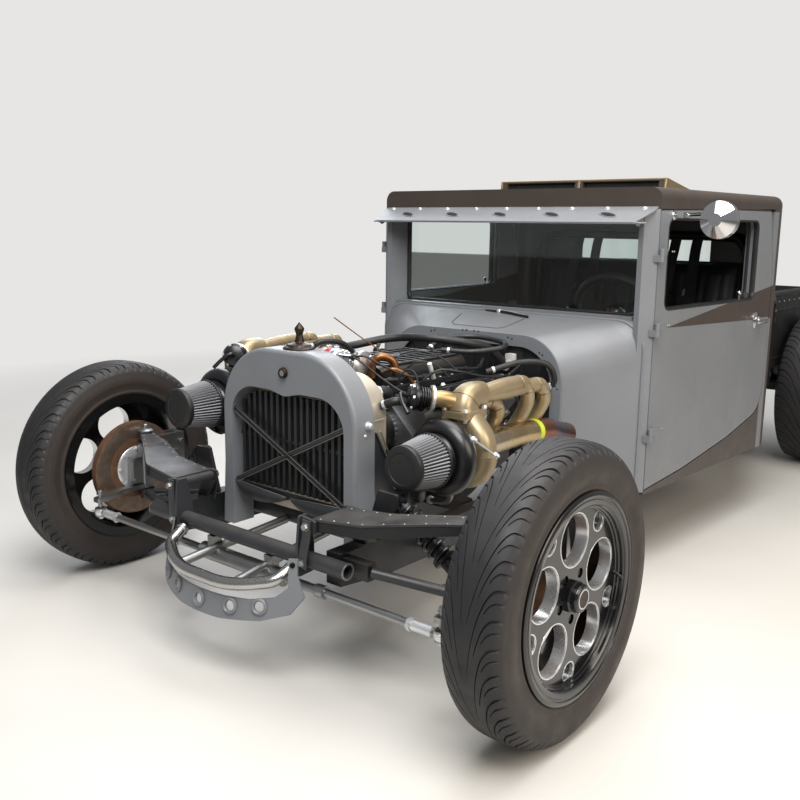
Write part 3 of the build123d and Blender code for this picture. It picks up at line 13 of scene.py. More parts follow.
import bmesh
import bpy
import numpy as np
from mathutils import Matrix, Vector

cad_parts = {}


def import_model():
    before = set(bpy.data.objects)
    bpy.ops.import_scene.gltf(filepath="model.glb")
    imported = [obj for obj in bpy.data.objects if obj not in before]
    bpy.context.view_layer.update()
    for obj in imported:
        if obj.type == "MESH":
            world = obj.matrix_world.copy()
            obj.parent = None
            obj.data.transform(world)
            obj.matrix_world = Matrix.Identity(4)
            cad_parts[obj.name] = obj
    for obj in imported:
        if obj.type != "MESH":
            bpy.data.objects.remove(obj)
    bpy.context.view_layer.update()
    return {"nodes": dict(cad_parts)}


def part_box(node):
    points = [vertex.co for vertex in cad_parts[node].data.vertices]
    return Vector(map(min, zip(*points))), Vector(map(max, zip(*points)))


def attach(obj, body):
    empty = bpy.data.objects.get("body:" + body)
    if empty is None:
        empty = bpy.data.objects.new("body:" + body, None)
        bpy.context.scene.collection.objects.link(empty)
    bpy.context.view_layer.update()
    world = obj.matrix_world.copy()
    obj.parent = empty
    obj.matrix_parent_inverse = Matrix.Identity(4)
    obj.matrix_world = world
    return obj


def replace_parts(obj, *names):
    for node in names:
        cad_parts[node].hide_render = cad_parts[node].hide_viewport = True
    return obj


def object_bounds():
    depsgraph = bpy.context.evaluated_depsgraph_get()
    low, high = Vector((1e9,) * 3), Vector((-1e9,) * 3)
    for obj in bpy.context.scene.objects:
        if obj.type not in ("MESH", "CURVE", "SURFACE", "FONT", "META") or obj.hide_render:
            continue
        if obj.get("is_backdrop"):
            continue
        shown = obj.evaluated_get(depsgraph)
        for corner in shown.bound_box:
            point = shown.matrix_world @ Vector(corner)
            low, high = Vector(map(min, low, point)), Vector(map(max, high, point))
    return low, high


LOG = logging.getLogger("street_rod")
MM = 0.001
IMAGE_SIZE = 800
SIDES = ("left", "right")

Points = Sequence[Sequence[float]]
Way = Sequence[float]
Material = bpy.types.Material
Piece = bpy.types.Object
Socket = bpy.types.NodeSocket
Tree = bpy.types.NodeTree

# The car's directions: OUT points away from its middle on the left side
OUT, IN = (1.0, 0.0, 0.0), (-1.0, 0.0, 0.0)
BACK, AHEAD = (0.0, 1.0, 0.0), (0.0, -1.0, 0.0)
UP, DOWN = (0.0, 0.0, 1.0), (0.0, 0.0, -1.0)

# Joined vertices lie within 2 thousandths of a millimetre, and shorter edges than a ten-thousandth go
SEAM_GAP = 2e-6
LEAST_EDGE = 1e-7


# Helpers on numbers and meshes


def linear(hex_colour: str) -> tuple[float, float, float, float]:
    """Turn an sRGB hex colour into linear RGBA.

    Args:
        hex_colour: Six hex digits with a leading hash.

    Returns:
        Red, green, blue and alpha, each from 0 to 1.
    """
    channels = [int(hex_colour[i : i + 2], 16) / 255 for i in (1, 3, 5)]
    low = [c / 12.92 if c <= 0.04045 else ((c + 0.055) / 1.055) ** 2.4 for c in channels]
    return (low[0], low[1], low[2], 1.0)


@dataclass(frozen=True)
class CarFrame:
    """The row's frame, reached from places counted from the front axle."""

    axle_y: float

    @classmethod
    def from_tyres(cls) -> "CarFrame":
        """Find the front axle from the front tyre's box."""
        low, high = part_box("front_tyre_left")
        return cls((low.y + high.y) / 2)

    def at(self, points: Points) -> np.ndarray:
        """Car millimetres as row metres.

        Args:
            points: One point or an array whose last axis holds x, y and z.

        Returns:
            The same places in metres, in the row's frame.
        """
        return np.asarray(points, float) * MM + np.array([0.0, self.axle_y, 0.0])


class Surface:
    """Vertices and faces gathered as arrays, made one mesh object at the end."""

    def __init__(self) -> None:
        """Start with nothing in it."""
        self.points: list[np.ndarray] = []
        self.quads: list[np.ndarray] = []
        self.count = 0

    def add(self, points: np.ndarray, quads: np.ndarray) -> "Surface":
        """Take in one patch.

        Args:
            points: Array of n places.
            quads: Array of m faces of four indices into those places.

        Returns:
            This surface.
        """
        self.points.append(np.asarray(points, float).reshape(-1, 3))
        self.quads.append(np.asarray(quads, int).reshape(-1, 4) + self.count)
        self.count += len(self.points[-1])
        return self

    def sheet(self, points: np.ndarray, wrap_rows: bool = False, wrap_columns: bool = False) -> "Surface":
        """Take in a grid of places, held as an array of rows of columns."""
        return self.add(points, grid(*points.shape[:2], wrap_rows, wrap_columns))

    def close(self, rim: np.ndarray, centre: Optional[np.ndarray] = None) -> "Surface":
        """Close a ring of places with a fan, to its middle where no centre is given."""
        middle = np.broadcast_to(rim.mean(0) if centre is None else centre, rim.shape)
        return self.add(np.concatenate([rim, middle]), grid(2, len(rim), False, True))

    def take(self, other: "Surface", matrix: Optional[np.ndarray] = None) -> "Surface":
        """Take in another surface, moved by a 4 by 4 matrix where one is given."""
        points = np.concatenate(other.points)
        flip = False
        if matrix is not None:
            points = points @ matrix[:3, :3].T + matrix[:3, 3]
            flip = np.linalg.det(matrix[:3, :3]) < 0
        quads = np.concatenate(other.quads)
        return self.add(points, quads[:, ::-1] if flip else quads)

    def place(self, other: "Surface", origin: Way, z_axis: Way, x_hint: Way = OUT) -> "Surface":
        """Take in another surface with its origin and Z axis at a place and direction."""
        return self.take(other, frame_matrix(origin, z_axis, x_hint))

    def mirrored(self) -> "Surface":
        """The same surface on the car's other side, faces still outwards."""
        return Surface().take(self, np.diag([-1.0, 1.0, 1.0, 1.0]))

    def both(self) -> "Surface":
        """This surface and its mirror image."""
        return Surface().take(self).take(self.mirrored())

    def make(self, name: str, finish: Material, body: str = "root", smooth: float = 35.0) -> Piece:
        """Make the mesh object, closed where its seams meet, and ride it on a body.

        Args:
            name: The piece's name.
            finish: Its material.
            body: The body that it moves with.
            smooth: Edges that turn by less than this many degrees are shaded round.

        Returns:
            The new object.
        """
        mesh = bpy.data.meshes.new(name)
        points = np.concatenate(self.points)
        quads = np.concatenate(self.quads)
        mesh.from_pydata(points.tolist(), [], quads.tolist())
        mesh.validate(verbose=False)
        close_seams(mesh)
        piece = bpy.data.objects.new(name, mesh)
        bpy.context.scene.collection.objects.link(piece)
        mesh.materials.append(finish)
        mesh.polygons.foreach_set("use_smooth", np.ones(len(mesh.polygons), bool))
        mesh.update()
        mesh.set_sharp_from_angle(angle=radians(smooth))
        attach(piece, body)
        return piece


def joined(parts: Iterable[Surface]) -> Surface:
    """All parts as one surface, in their order."""
    whole = Surface()
    for part in parts:
        whole.take(part)
    return whole


def close_seams(mesh: bpy.types.Mesh) -> None:
    """Join doubled vertices, drop faces with no area and turn all faces outwards."""
    work = bmesh.new()
    work.from_mesh(mesh)
    bmesh.ops.remove_doubles(work, verts=work.verts, dist=SEAM_GAP)
    bmesh.ops.dissolve_degenerate(work, edges=work.edges, dist=LEAST_EDGE)
    bmesh.ops.recalc_face_normals(work, faces=work.faces)
    work.to_mesh(mesh)
    work.free()


def grid(rows: int, columns: int, wrap_rows: bool = False, wrap_columns: bool = False) -> np.ndarray:
    """Faces of a grid of vertices held row by row.

    Args:
        rows: Number of rows of vertices.
        columns: Number of vertices in a row.
        wrap_rows: Whether the last row joins the first.
        wrap_columns: Whether the last column joins the first.

    Returns:
        Array of quads, as indices.
    """
    i = np.arange(rows if wrap_rows else rows - 1)[:, None]
    j = np.arange(columns if wrap_columns else columns - 1)[None, :]
    ni, nj = (i + 1) % rows, (j + 1) % columns
    quads = np.stack(np.broadcast_arrays(i * columns + j, ni * columns + j, ni * columns + nj,
        i * columns + nj), -1)
    return quads.reshape(-1, 4)


def unit(vectors: np.ndarray) -> np.ndarray:
    """Vectors scaled to length one along the last axis."""
    return vectors / np.maximum(np.linalg.norm(vectors, axis=-1, keepdims=True), 1e-12)


def frame_matrix(origin: Way, z_axis: Way, x_hint: Way = OUT) -> np.ndarray:
    """Matrix that puts the local origin and Z axis at a place and direction.

    Args:
        origin: Where the local origin goes.
        z_axis: Where the local Z axis points.
        x_hint: A direction near which the local X axis lies.

    Returns:
        A 4 by 4 matrix.
    """
    z = unit(np.asarray(z_axis, float))
    hint = np.asarray(x_hint, float)
    if abs(float(np.dot(unit(hint), z))) > 0.95:
        hint = np.array([0.0, 1.0, 0.0])
    y = unit(np.cross(z, hint))
    x = np.cross(y, z)
    matrix = np.eye(4)
    matrix[:3, 0], matrix[:3, 1], matrix[:3, 2], matrix[:3, 3] = x, y, z, origin
    return matrix


def curve_through(points: Points, count: int) -> np.ndarray:
    """Smooth path through points, each span a Catmull and Rom cubic in its parameter.

    Args:
        points: Control points.
        count: Number of points on the path.

    Returns:
        Array of count places.
    """
    p = np.asarray(points, float)
    ring = np.concatenate([2 * p[:1] - p[1:2], p, 2 * p[-1:] - p[-2:-1]])
    spans = len(p) - 1
    t = np.linspace(0, spans, count)
    k = np.minimum(t.astype(int), spans - 1)
    u = (t - k)[:, None]
    a, b, c, d = ring[k], ring[k + 1], ring[k + 2], ring[k + 3]
    return 0.5 * (2 * b + (c - a) * u + (2 * a - 5 * b + 4 * c - d) * u**2 + (3 * b - a - 3 * c + d) * u**3)


def sweep(path: Points, profile: np.ndarray, scale: Optional[Sequence[float]] = None,
        up: Optional[Way] = None, closed: bool = False, caps: bool = True) -> Surface:
    """Carry a closed profile along a path.

    Each path point gets a side vector, across the path and a fixed up direction, and a second one across
    both. A profile point lies at its first value along the side and its second along the other.

    Args:
        path: Array of n places.
        profile: Array of m (side, up) pairs, counter-clockwise.
        scale: Size of the profile at each path point.
        up: Direction that is never along the path; by default the axis that the path leaves most.
        closed: Whether the path is a loop.
        caps: Whether both ends are closed.

    Returns:
        The swept surface.
    """
    path = np.asarray(path, float)
    n, m = len(path), len(profile)
    if closed:
        tangent = unit(np.roll(path, -1, 0) - np.roll(path, 1, 0))
    else:
        tangent = unit(np.gradient(path, axis=0))
    if up is None:
        up = np.eye(3)[np.argmin(np.abs(tangent).max(0))]
    side = unit(np.cross(tangent, up))
    other = np.cross(side, tangent)
    size = np.ones(n) if scale is None else np.asarray(scale, float)
    points = (path[:, None] + size[:, None, None]
        * (side[:, None] * profile[None, :, :1] + other[:, None] * profile[None, :, 1:2]))
    surface = Surface().add(points, grid(n, m, closed, True)[:, ::-1])
    if caps and not closed:
        for index in (0, n - 1):
            surface.close(points[index], path[index])
    return surface


def circle(radius: float, sides: int) -> np.ndarray:
    """Round profile, counter-clockwise."""
    turn = np.linspace(0, 2 * pi, sides, endpoint=False)
    return np.stack([radius * np.cos(turn), radius * np.sin(turn)], -1)


def rounded_rectangle(width: float, height: float, radius: float, steps: int = 3) -> np.ndarray:
    """Rectangle with round corners about the origin, counter-clockwise."""
    corners = [(1, 1, 0), (-1, 1, 90), (-1, -1, 180), (1, -1, 270)]
    points = []
    for sx, sy, start in corners:
        turn = np.radians(np.linspace(start, start + 90, steps + 1))
        centre = np.array([sx * (width / 2 - radius), sy * (height / 2 - radius)])
        points.append(centre + radius * np.stack([np.cos(turn), np.sin(turn)], -1))
    return np.concatenate(points)


def tube(points: Points, radius: float, sides: int = 12, count: int = 0) -> Surface:
    """Round tube on a smooth path through the points, in their own unit.

    Args:
        points: Control points.
        radius: The tube's radius.
        sides: Number of facets round it.
        count: Number of rings; by default six for each span.

    Returns:
        The tube's surface.
    """
    path = curve_through(points, count or 6 * (len(points) - 1) + 1)
    return sweep(path, circle(radius, sides))


def lathe(profile: Points, steps: int = 48,
        wave: Optional[Callable[[np.ndarray, np.ndarray], np.ndarray]] = None) -> Surface:
    """Turn a profile about the local Z axis.

    Each profile point (radius, height) runs round a circle, so a surface point is (r cos a, r sin a, z).

    Args:
        profile: (radius, height) pairs from the foot up the outside.
        steps: Number of facets round it.
        wave: Gives the change of radius from the angle and the profile index, both as grids.

    Returns:
        The turned surface.
    """
    p = np.asarray(profile, float)
    a = np.linspace(0, 2 * pi, steps, endpoint=False)
    r = np.broadcast_to(p[:, :1], (len(p), steps)).copy()
    if wave is not None:
        r = r + wave(np.broadcast_to(a, r.shape), np.broadcast_to(np.arange(len(p))[:, None], r.shape))
    z = np.broadcast_to(p[:, 1:2], r.shape)
    points = np.stack([r * np.cos(a), r * np.sin(a), z], -1)
    return Surface().add(points, grid(len(p), steps, False, True)[:, ::-1])


def aimed(surface: Surface, origin: Way, z_axis: Way, x_hint: Way = OUT) -> Surface:
    """A surface moved so that its origin and Z axis lie at a place and direction."""
    return Surface().place(surface, origin, z_axis, x_hint)


def turned(profile: Points, steps: int, origin: Way, z_axis: Way, x_hint: Way = OUT) -> Surface:
    """A profile turned about an axis that starts at a place and runs in a direction."""
    return aimed(lathe(profile, steps), origin, z_axis, x_hint)


def hex_bolt(across: float, height: float, washer: bool = True) -> Surface:
    """Hexagon head with a chamfered top on its washer, in local units."""
    r = across / 2 / cos(pi / 6)
    head = lathe([(0, 0), (r, 0), (r, 0.8 * height), (0.86 * r, height), (0, height)], 6)
    if not washer:
        return head
    ring = lathe([(0, -0.05 * across), (0.68 * across, -0.05 * across), (0.68 * across, 0.12 * across),
        (0, 0.12 * across)], 14)
    return Surface().take(head).take(ring)


def dome(radius: float, height: float, steps: int = 12) -> Surface:
    """Round rivet or button head: an ellipse turned about Z."""
    t = np.linspace(0, pi / 2, 5)
    profile = np.stack([radius * np.cos(t), height * np.sin(t)], -1)
    return lathe(np.concatenate([[(0.0, -0.2 * height), (radius, -0.2 * height)], profile]), steps)


# Finishes


def add_node(tree: Tree, kind: str, settings: Optional[dict] = None, *inputs) -> bpy.types.Node:
    """Add a shader node with its settings and links.

    Args:
        tree: The material's node tree.
        kind: The node's type name.
        settings: Values by property name, and values or sockets by an input's name or number.
        inputs: Values or sockets of the node's first inputs, in order.

    Returns:
        The new node.
    """
    node = tree.nodes.new(kind)
    for key, value in {**(settings or {}), **dict(enumerate(inputs))}.items():
        if isinstance(value, Socket):
            tree.links.new(value, node.inputs[key])
        elif isinstance(key, int) or key in node.inputs:
            node.inputs[key].default_value = value
        else:
            setattr(node, key, value)
    return node


def per_mm(size: float) -> float:
    """Scale of a pattern whose features are about the given millimetres across."""
    return 1 / (size * MM)


def empty_material(name: str) -> tuple[Material, Tree]:
    """New material and its node tree, with no nodes yet."""
    material = bpy.data.materials.new(name)
    material.use_nodes = True
    material.node_tree.nodes.clear()
    return material, material.node_tree


@dataclass(frozen=True)
class Finish:
    """A plain finish: one colour that drifts a little over one with a fine grain.

    Grain too fine to show in a render is drawn as coarse as it has to be to show.

    Sizes are in millimetres on the real surface. The drift is broad noise between the two colours, the
    grain is fine noise that moves roughness and bump.
    """

    name: str
    colour: str
    second: str
    metallic: float = 0.0
    roughness: float = 0.5
    roughness_drift: float = 0.08
    drift_mm: float = 180.0
    drift_share: float = 0.6
    grain_mm: float = 3.0
    bump_mm: float = 0.02
    coat: float = 0.0
    coat_roughness: float = 0.1
    sheen: float = 0.0
    dust: float = 0.0
    dust_colour: str = "#8d8170"

    def build(self) -> Material:
        """Make the material, its nodes in order from place to surface."""
        material, tree = empty_material(self.name)
        place = add_node(tree, "ShaderNodeTexCoord").outputs["Object"]
        colour = self.colour_nodes(tree, place)
        rough, bump = self.grain_nodes(tree, place)
        if self.dust:
            colour, rough = self.dust_nodes(tree, place, colour, rough)
        settings = {"Base Color": colour, "Roughness": rough, "Metallic": self.metallic,
            "Coat Weight": self.coat, "Coat Roughness": self.coat_roughness, "Sheen Weight": self.sheen}
        if self.sheen:
            settings["Sheen Roughness"] = 0.6
        if bump is not None:
            settings["Normal"] = bump
        shader = add_node(tree, "ShaderNodeBsdfPrincipled", settings).outputs["BSDF"]
        add_node(tree, "ShaderNodeOutputMaterial", None, shader)
        return material

    def colour_nodes(self, tree: Tree, place: Socket) -> Socket:
        """Broad drift between the two colours."""
        settings = {"Scale": per_mm(self.drift_mm), "Detail": 3.0}
        noise = add_node(tree, "ShaderNodeTexNoise", settings, place).outputs["Fac"]
        share = add_node(tree, "ShaderNodeMapRange", None, noise, 0.35, 0.65, 0.0,
            self.drift_share).outputs[0]
        settings = {"data_type": "RGBA", "Factor": share, 6: linear(self.colour), 7: linear(self.second)}
        return add_node(tree, "ShaderNodeMix", settings).outputs[2]

    def grain_nodes(self, tree: Tree, place: Socket) -> tuple[Socket, Optional[Socket]]:
        """Roughness that drifts with a middle-sized noise, and the fine grain's bump."""
        settings = {"Scale": per_mm(self.drift_mm * 0.3), "Detail": 4.0}
        noise = add_node(tree, "ShaderNodeTexNoise", settings, place).outputs["Fac"]
        if not self.bump_mm:
            return self.drifting(tree, noise), None
        settings = {"Strength": 1.0, "Distance": self.bump_mm * MM, "Height": self.relief(tree, place)}
        return self.drifting(tree, noise), add_node(tree, "ShaderNodeBump", settings).outputs["Normal"]

    def drifting(self, tree: Tree, noise: Socket) -> Socket:
        """Roughness that follows a noise on both sides of its middle value."""
        low, high = self.roughness - self.roughness_drift, self.roughness + self.roughness_drift
        return add_node(tree, "ShaderNodeMapRange", None, noise, 0.3, 0.7, low, high).outputs["Result"]

    def relief(self, tree: Tree, place: Socket) -> Socket:
        """Height of the fine grain."""
        settings = {"Scale": per_mm(self.grain_mm), "Detail": 2.0}
        return add_node(tree, "ShaderNodeTexNoise", settings, place).outputs["Fac"]

    def dust_nodes(self, tree: Tree, place: Socket, colour: Socket, rough: Socket) -> tuple[Socket, Socket]:
        """Dust that has settled on faces that look upwards, in a patchy film."""
        normal = add_node(tree, "ShaderNodeNewGeometry").outputs["Normal"]
        up = add_node(tree, "ShaderNodeSeparateXYZ", None, normal).outputs["Z"]
        facing = add_node(tree, "ShaderNodeMapRange", None, up, 0.1, 1.0, 0.0, self.dust).outputs["Result"]
        film = add_node(tree, "ShaderNodeTexNoise", {"Scale": per_mm(60.0), "Detail": 5.0},
            place).outputs["Fac"]
        patches = add_node(tree, "ShaderNodeMapRange", None, film, 0.3, 0.75, 0.3, 1.0).outputs["Result"]
        share = add_node(tree, "ShaderNodeMath", {"operation": "MULTIPLY"}, facing, patches).outputs[0]
        dull = add_node(tree, "ShaderNodeMath", {"operation": "ADD", "use_clamp": True}, rough,
            share).outputs[0]
        settings = {"data_type": "RGBA", "Factor": share, 6: colour, 7: linear(self.dust_colour)}
        return add_node(tree, "ShaderNodeMix", settings).outputs[2], dull


@dataclass(frozen=True)
class BeltPaint(Finish):
    """Cab paint with the dark colour in a wedge along the belt, on the roof and on the rear corner.

    The wedge's upper and lower edges are straight lines in height over distance to the rear, from its tip
    to the cab's back. Each edge is 1.5 mm soft.
    """

    dark: str = "#3a302a"
    tip: tuple[float, float] = (1201.0, 857.0)
    end_y: float = 2134.0
    end_low: float = 830.0
    end_high: float = 966.0
    roof_z: float = 1262.0
    half_soft: float = 0.75
    axle_y: float = 0.0

    def past(self, tree: Tree, value: Socket, edge: float = 0.0, first: float = 0.0,
            second: float = 1.0) -> Socket:
        """First below an edge and second above it, blended over the soft width."""
        low, high = edge - self.half_soft * MM, edge + self.half_soft * MM
        return add_node(tree, "ShaderNodeMapRange", None, value, low, high, first, second).outputs["Result"]

    def over_line(self, tree: Tree, y: Socket, z: Socket, end_z: float) -> Socket:
        """Height above the straight line from the wedge's tip to a height at the cab's back."""
        tip_y, end_y = self.tip[0] * MM + self.axle_y, self.end_y * MM + self.axle_y
        slope = (end_z - self.tip[1]) * MM / (end_y - tip_y)
        start = self.tip[1] * MM - slope * tip_y
        line = add_node(tree, "ShaderNodeMath", {"operation": "MULTIPLY_ADD"}, y, slope, start).outputs[0]
        return add_node(tree, "ShaderNodeMath", {"operation": "SUBTRACT"}, z, line).outputs[0]

    def colour_nodes(self, tree: Tree, place: Socket) -> Socket:
        """Body colour outside the dark areas."""
        base = super().colour_nodes(tree, place)
        split = add_node(tree, "ShaderNodeSeparateXYZ", None, place)
        y, z = split.outputs["Y"], split.outputs["Z"]
        dark = self.past(tree, self.over_line(tree, y, z, self.end_low))
        below = self.past(tree, self.over_line(tree, y, z, self.end_high), first=1.0, second=0.0)
        behind_tip = self.past(tree, y, self.tip[0] * MM + self.axle_y)
        roof = self.past(tree, z, self.roof_z * MM)
        corner = self.past(tree, y, self.end_y * MM + self.axle_y)
        for operation, other in (("MULTIPLY", below), ("MULTIPLY", behind_tip), ("MAXIMUM", roof),
                ("MAXIMUM", corner)):
            dark = add_node(tree, "ShaderNodeMath", {"operation": operation}, dark, other).outputs[0]
        settings = {"data_type": "RGBA", "Factor": dark, 6: base, 7: linear(self.dark)}
        return add_node(tree, "ShaderNodeMix", settings).outputs[2]


@dataclass(frozen=True)
class BrushedMetal(Finish):
    """Metal with fine scratches that run along one axis.

    Real scratches are far finer than a millimetre; these are as coarse as they need to be to show.
    """

    along: tuple[float, float, float] = (0.02, 1.0, 1.0)
    scratch_mm: float = 1.2

    def grain_nodes(self, tree: Tree, place: Socket) -> tuple[Socket, Optional[Socket]]:
        """Roughness and bump from one noise stretched along the scratches."""
        lined = add_node(tree, "ShaderNodeMapping", {"Scale": self.along}, place).outputs["Vector"]
        settings = {"Scale": per_mm(self.scratch_mm), "Detail": 2.0}
        scratches = add_node(tree, "ShaderNodeTexNoise", settings, lined).outputs["Fac"]
        settings = {"Strength": 1.0, "Distance": self.bump_mm * MM, "Height": scratches}
        return self.drifting(tree, scratches), add_node(tree, "ShaderNodeBump", settings).outputs["Normal"]


@dataclass(frozen=True)
class CastMetal(Finish):
    """Sand-cast metal: rounded pits of a few millimetres under a finer grain."""

    pit_mm: float = 2.2

    def relief(self, tree: Tree, place: Socket) -> Socket:
        """Height of cells about one pit across."""
        settings = {"feature": "SMOOTH_F1", "Scale": per_mm(self.pit_mm), "Vector": place}
        return add_node(tree, "ShaderNodeTexVoronoi", settings).outputs["Distance"]


@dataclass(frozen=True)
class HeatTint(Finish):
    """Stainless steel that heat has coloured straw, bronze and blue in bands along the car."""

    straw: str = "#c3ab82"
    bronze: str = "#a5673b"
    blue: str = "#5d5f72"
    axle_y: float = 0.0
    start_mm: float = 290.0
    reach_mm: float = 580.0

    def colour_nodes(self, tree: Tree, place: Socket) -> Socket:
        """Colour ramp over distance to the rear, its bands bent by noise."""
        y = add_node(tree, "ShaderNodeSeparateXYZ", None, place).outputs["Y"]
        noise = add_node(tree, "ShaderNodeTexNoise", {"Scale": per_mm(70.0), "Detail": 2.0},
            place).outputs["Fac"]
        bend = add_node(tree, "ShaderNodeMapRange", None, noise, 0.2, 0.8, -0.05, 0.05).outputs["Result"]
        start = self.axle_y + self.start_mm * MM
        end = start + self.reach_mm * MM
        along = add_node(tree, "ShaderNodeMapRange", None, y, start, end, 0.0, 1.0).outputs["Result"]
        share = add_node(tree, "ShaderNodeMath", {"operation": "ADD"}, along, bend).outputs[0]
        ramp = add_node(tree, "ShaderNodeValToRGB", None, share)
        stops = ramp.color_ramp.elements
        stops[0].color, stops[1].color = linear(self.colour), linear(self.second)
        for at, colour in ((0.4, self.straw), (0.6, self.straw), (0.68, self.bronze), (0.84, self.blue)):
            stops.new(at).color = linear(colour)
        return ramp.outputs["Color"]


@dataclass(frozen=True)
class TyreRubber(Finish):
    """Carbon-black rubber whose sidewall has bloomed brownish, while the crown is worn grey."""

    wall_colour: str = "#2b2420"
    centre: tuple[float, float] = (0.0, 0.0)
    wall_r: float = 300.0
    crown_r: float = 345.0

    def colour_nodes(self, tree: Tree, place: Socket) -> Socket:
        """Colour by the distance from the axle, from the wall's brown to the crown's grey."""
        base = super().colour_nodes(tree, place)
        settings = {"Location": (0, -self.centre[0], -self.centre[1]), "Scale": (0, 1, 1)}
        moved = add_node(tree, "ShaderNodeMapping", settings, place).outputs["Vector"]
        radius = add_node(tree, "ShaderNodeVectorMath", {"operation": "LENGTH"}, moved).outputs["Value"]
        low, high = self.wall_r * MM, self.crown_r * MM
        share = add_node(tree, "ShaderNodeMapRange", None, radius, low, high, 1.0, 0.0).outputs["Result"]
        settings = {"data_type": "RGBA", "Factor": share, 6: base, 7: linear(self.wall_colour)}
        return add_node(tree, "ShaderNodeMix", settings).outputs[2]


@dataclass(frozen=True)
class Leather(Finish):
    """Leather with rounded grain cells and darker creases."""

    def relief(self, tree: Tree, place: Socket) -> Socket:
        """Height that falls towards the edges of cells about one grain across."""
        settings = {"feature": "DISTANCE_TO_EDGE", "Scale": per_mm(self.grain_mm), "Vector": place}
        cells = add_node(tree, "ShaderNodeTexVoronoi", settings).outputs["Distance"]
        return add_node(tree, "ShaderNodeMapRange", None, cells, 0.0, 0.25, 0.0, 1.0).outputs["Result"]


@dataclass(frozen=True)
class Planks(Finish):
    """Stained boards whose grain runs along the car."""

    def colour_nodes(self, tree: Tree, place: Socket) -> Socket:
        """Grain from noise stretched thirty times along Y."""
        lined = add_node(tree, "ShaderNodeMapping", {"Scale": (1.0, 0.033, 1.0)}, place).outputs["Vector"]
        settings = {"Scale": per_mm(self.grain_mm), "Detail": 5.0}
        grain = add_node(tree, "ShaderNodeTexNoise", settings, lined).outputs["Fac"]
        share = add_node(tree, "ShaderNodeMapRange", None, grain, 0.3, 0.7, 0.0, 1.0).outputs["Result"]
        settings = {"data_type": "RGBA", "Factor": share, 6: linear(self.colour), 7: linear(self.second)}
        return add_node(tree, "ShaderNodeMix", settings).outputs[2]


@dataclass(frozen=True)
class Glass:
    """Clear sheet glass with a faint grey-green body."""

    name: str
    tint: str
    roughness: float = 0.02

    def build(self) -> Material:
        """Glass whose shadow is let through, so that the cab is lit inside."""
        material, tree = empty_material(self.name)
        settings = {"Base Color": linear(self.tint), "Roughness": self.roughness,
            "Transmission Weight": 1.0, "IOR": 1.45}
        glass = add_node(tree, "ShaderNodeBsdfPrincipled", settings).outputs[0]
        clear = add_node(tree, "ShaderNodeBsdfTransparent", {"Color": linear(self.tint)}).outputs[0]
        light = add_node(tree, "ShaderNodeLightPath").outputs["Is Shadow Ray"]
        mixed = add_node(tree, "ShaderNodeMixShader", None, light, glass, clear).outputs[0]
        add_node(tree, "ShaderNodeOutputMaterial", None, mixed)
        return material


# Shared ways of making pieces


@dataclass
class Assembly:
    """A group of pieces that share the frame and the paints."""

    frame: CarFrame
    paints: dict[str, Material]

    def put(self, name: str, surface: Surface, finish: str, body: str = "root",
            smooth: float = 35.0) -> Piece:
        """Make one piece from a surface in car millimetres.

        Args:
            name: The piece's name.
            surface: Its shape.
            finish: Key of its material.
            body: The body that it rides on.
            smooth: Angle below which its edges are shaded round.

        Returns:
            The new object.
        """
        LOG.info("made %s", name)
        matrix = np.diag([MM, MM, MM, 1.0])
        matrix[1, 3] = self.frame.axle_y
        return Surface().take(surface, matrix).make(name, self.paints[finish], body, smooth)

    def put_on(self, side: str, name: str, surface: Surface, finish: str, body: str = "root",
            smooth: float = 35.0) -> Piece:
        """Put a piece shaped for the left on one side; braces in its name and body stand for the side."""
        shape = surface if side == "left" else surface.mirrored()
        return self.put(name.format(side), shape, finish, body.format(side), smooth)

    def put_springs(self, names: tuple[str, str], shapes: tuple[Surface, Surface], node: str) -> None:
        """Put the dampers and the coils of both sides, which stand for a CAD node."""
        for name, shape, finish in zip(names, shapes, ("black_metal", "satin_black")):
            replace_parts(self.put(name, shape.both(), finish), node)


def bar(points: Points, width: float, height: float, up: Way = UP, corner: float = 1.0,
        count: int = 0) -> Surface:
    """Flat bar along a path, its width across the up direction."""
    path = np.asarray(points, float) if not count else curve_through(points, count)
    return sweep(path, rounded_rectangle(width, height, corner, 2), up=np.asarray(up, float))


def bolts(places: Points, way: Way, across: float = 10.0, height: float = 6.0) -> Surface:
    """Hexagon bolts at several places, all facing one way."""
    return joined(aimed(hex_bolt(across, height), place, way) for place in places)


def rivets(places: Points, way: Way, radius: float = 3.0, height: float = 1.8) -> Surface:
    """Dome heads at several places, all facing one way."""
    return joined(aimed(dome(radius, height, 10), place, way) for place in places)


def spring(low: Sequence[float], high: Sequence[float], radius: float, wire: float, turns: float) -> Surface:
    """Helical spring between two places.

    The wire's middle at turn t lies at radius times (cos t, sin t) across the axis and t of a turn along it;
    the first and last turns close up on themselves.
    """
    a, b = np.asarray(low, float), np.asarray(high, float)
    basis = frame_matrix(a, b - a)[:3, :3]
    share = np.linspace(0, 1, int(turns * 18) + 1)
    turn = share * turns * 2 * pi
    rise = np.clip((share - 0.06) / 0.88, 0, 1) * np.linalg.norm(b - a)
    local = np.stack([radius * np.cos(turn), radius * np.sin(turn), rise], -1)
    return sweep(local @ basis.T + a, circle(wire, 8))


# Tyres, wheels and brakes


@dataclass
class WheelSize:
    """Sizes of one tyre and wheel, in millimetres, as the CAD nodes have them."""

    axle: tuple[float, float, float]
    radius: float
    width: float
    tread: float
    bead: float
    rim_width: float
    face_x: float
    lead: float = 0.72

    @property
    def face_at(self) -> float:
        """Place of the wheel face across the car."""
        return self.axle[0] + self.face_x


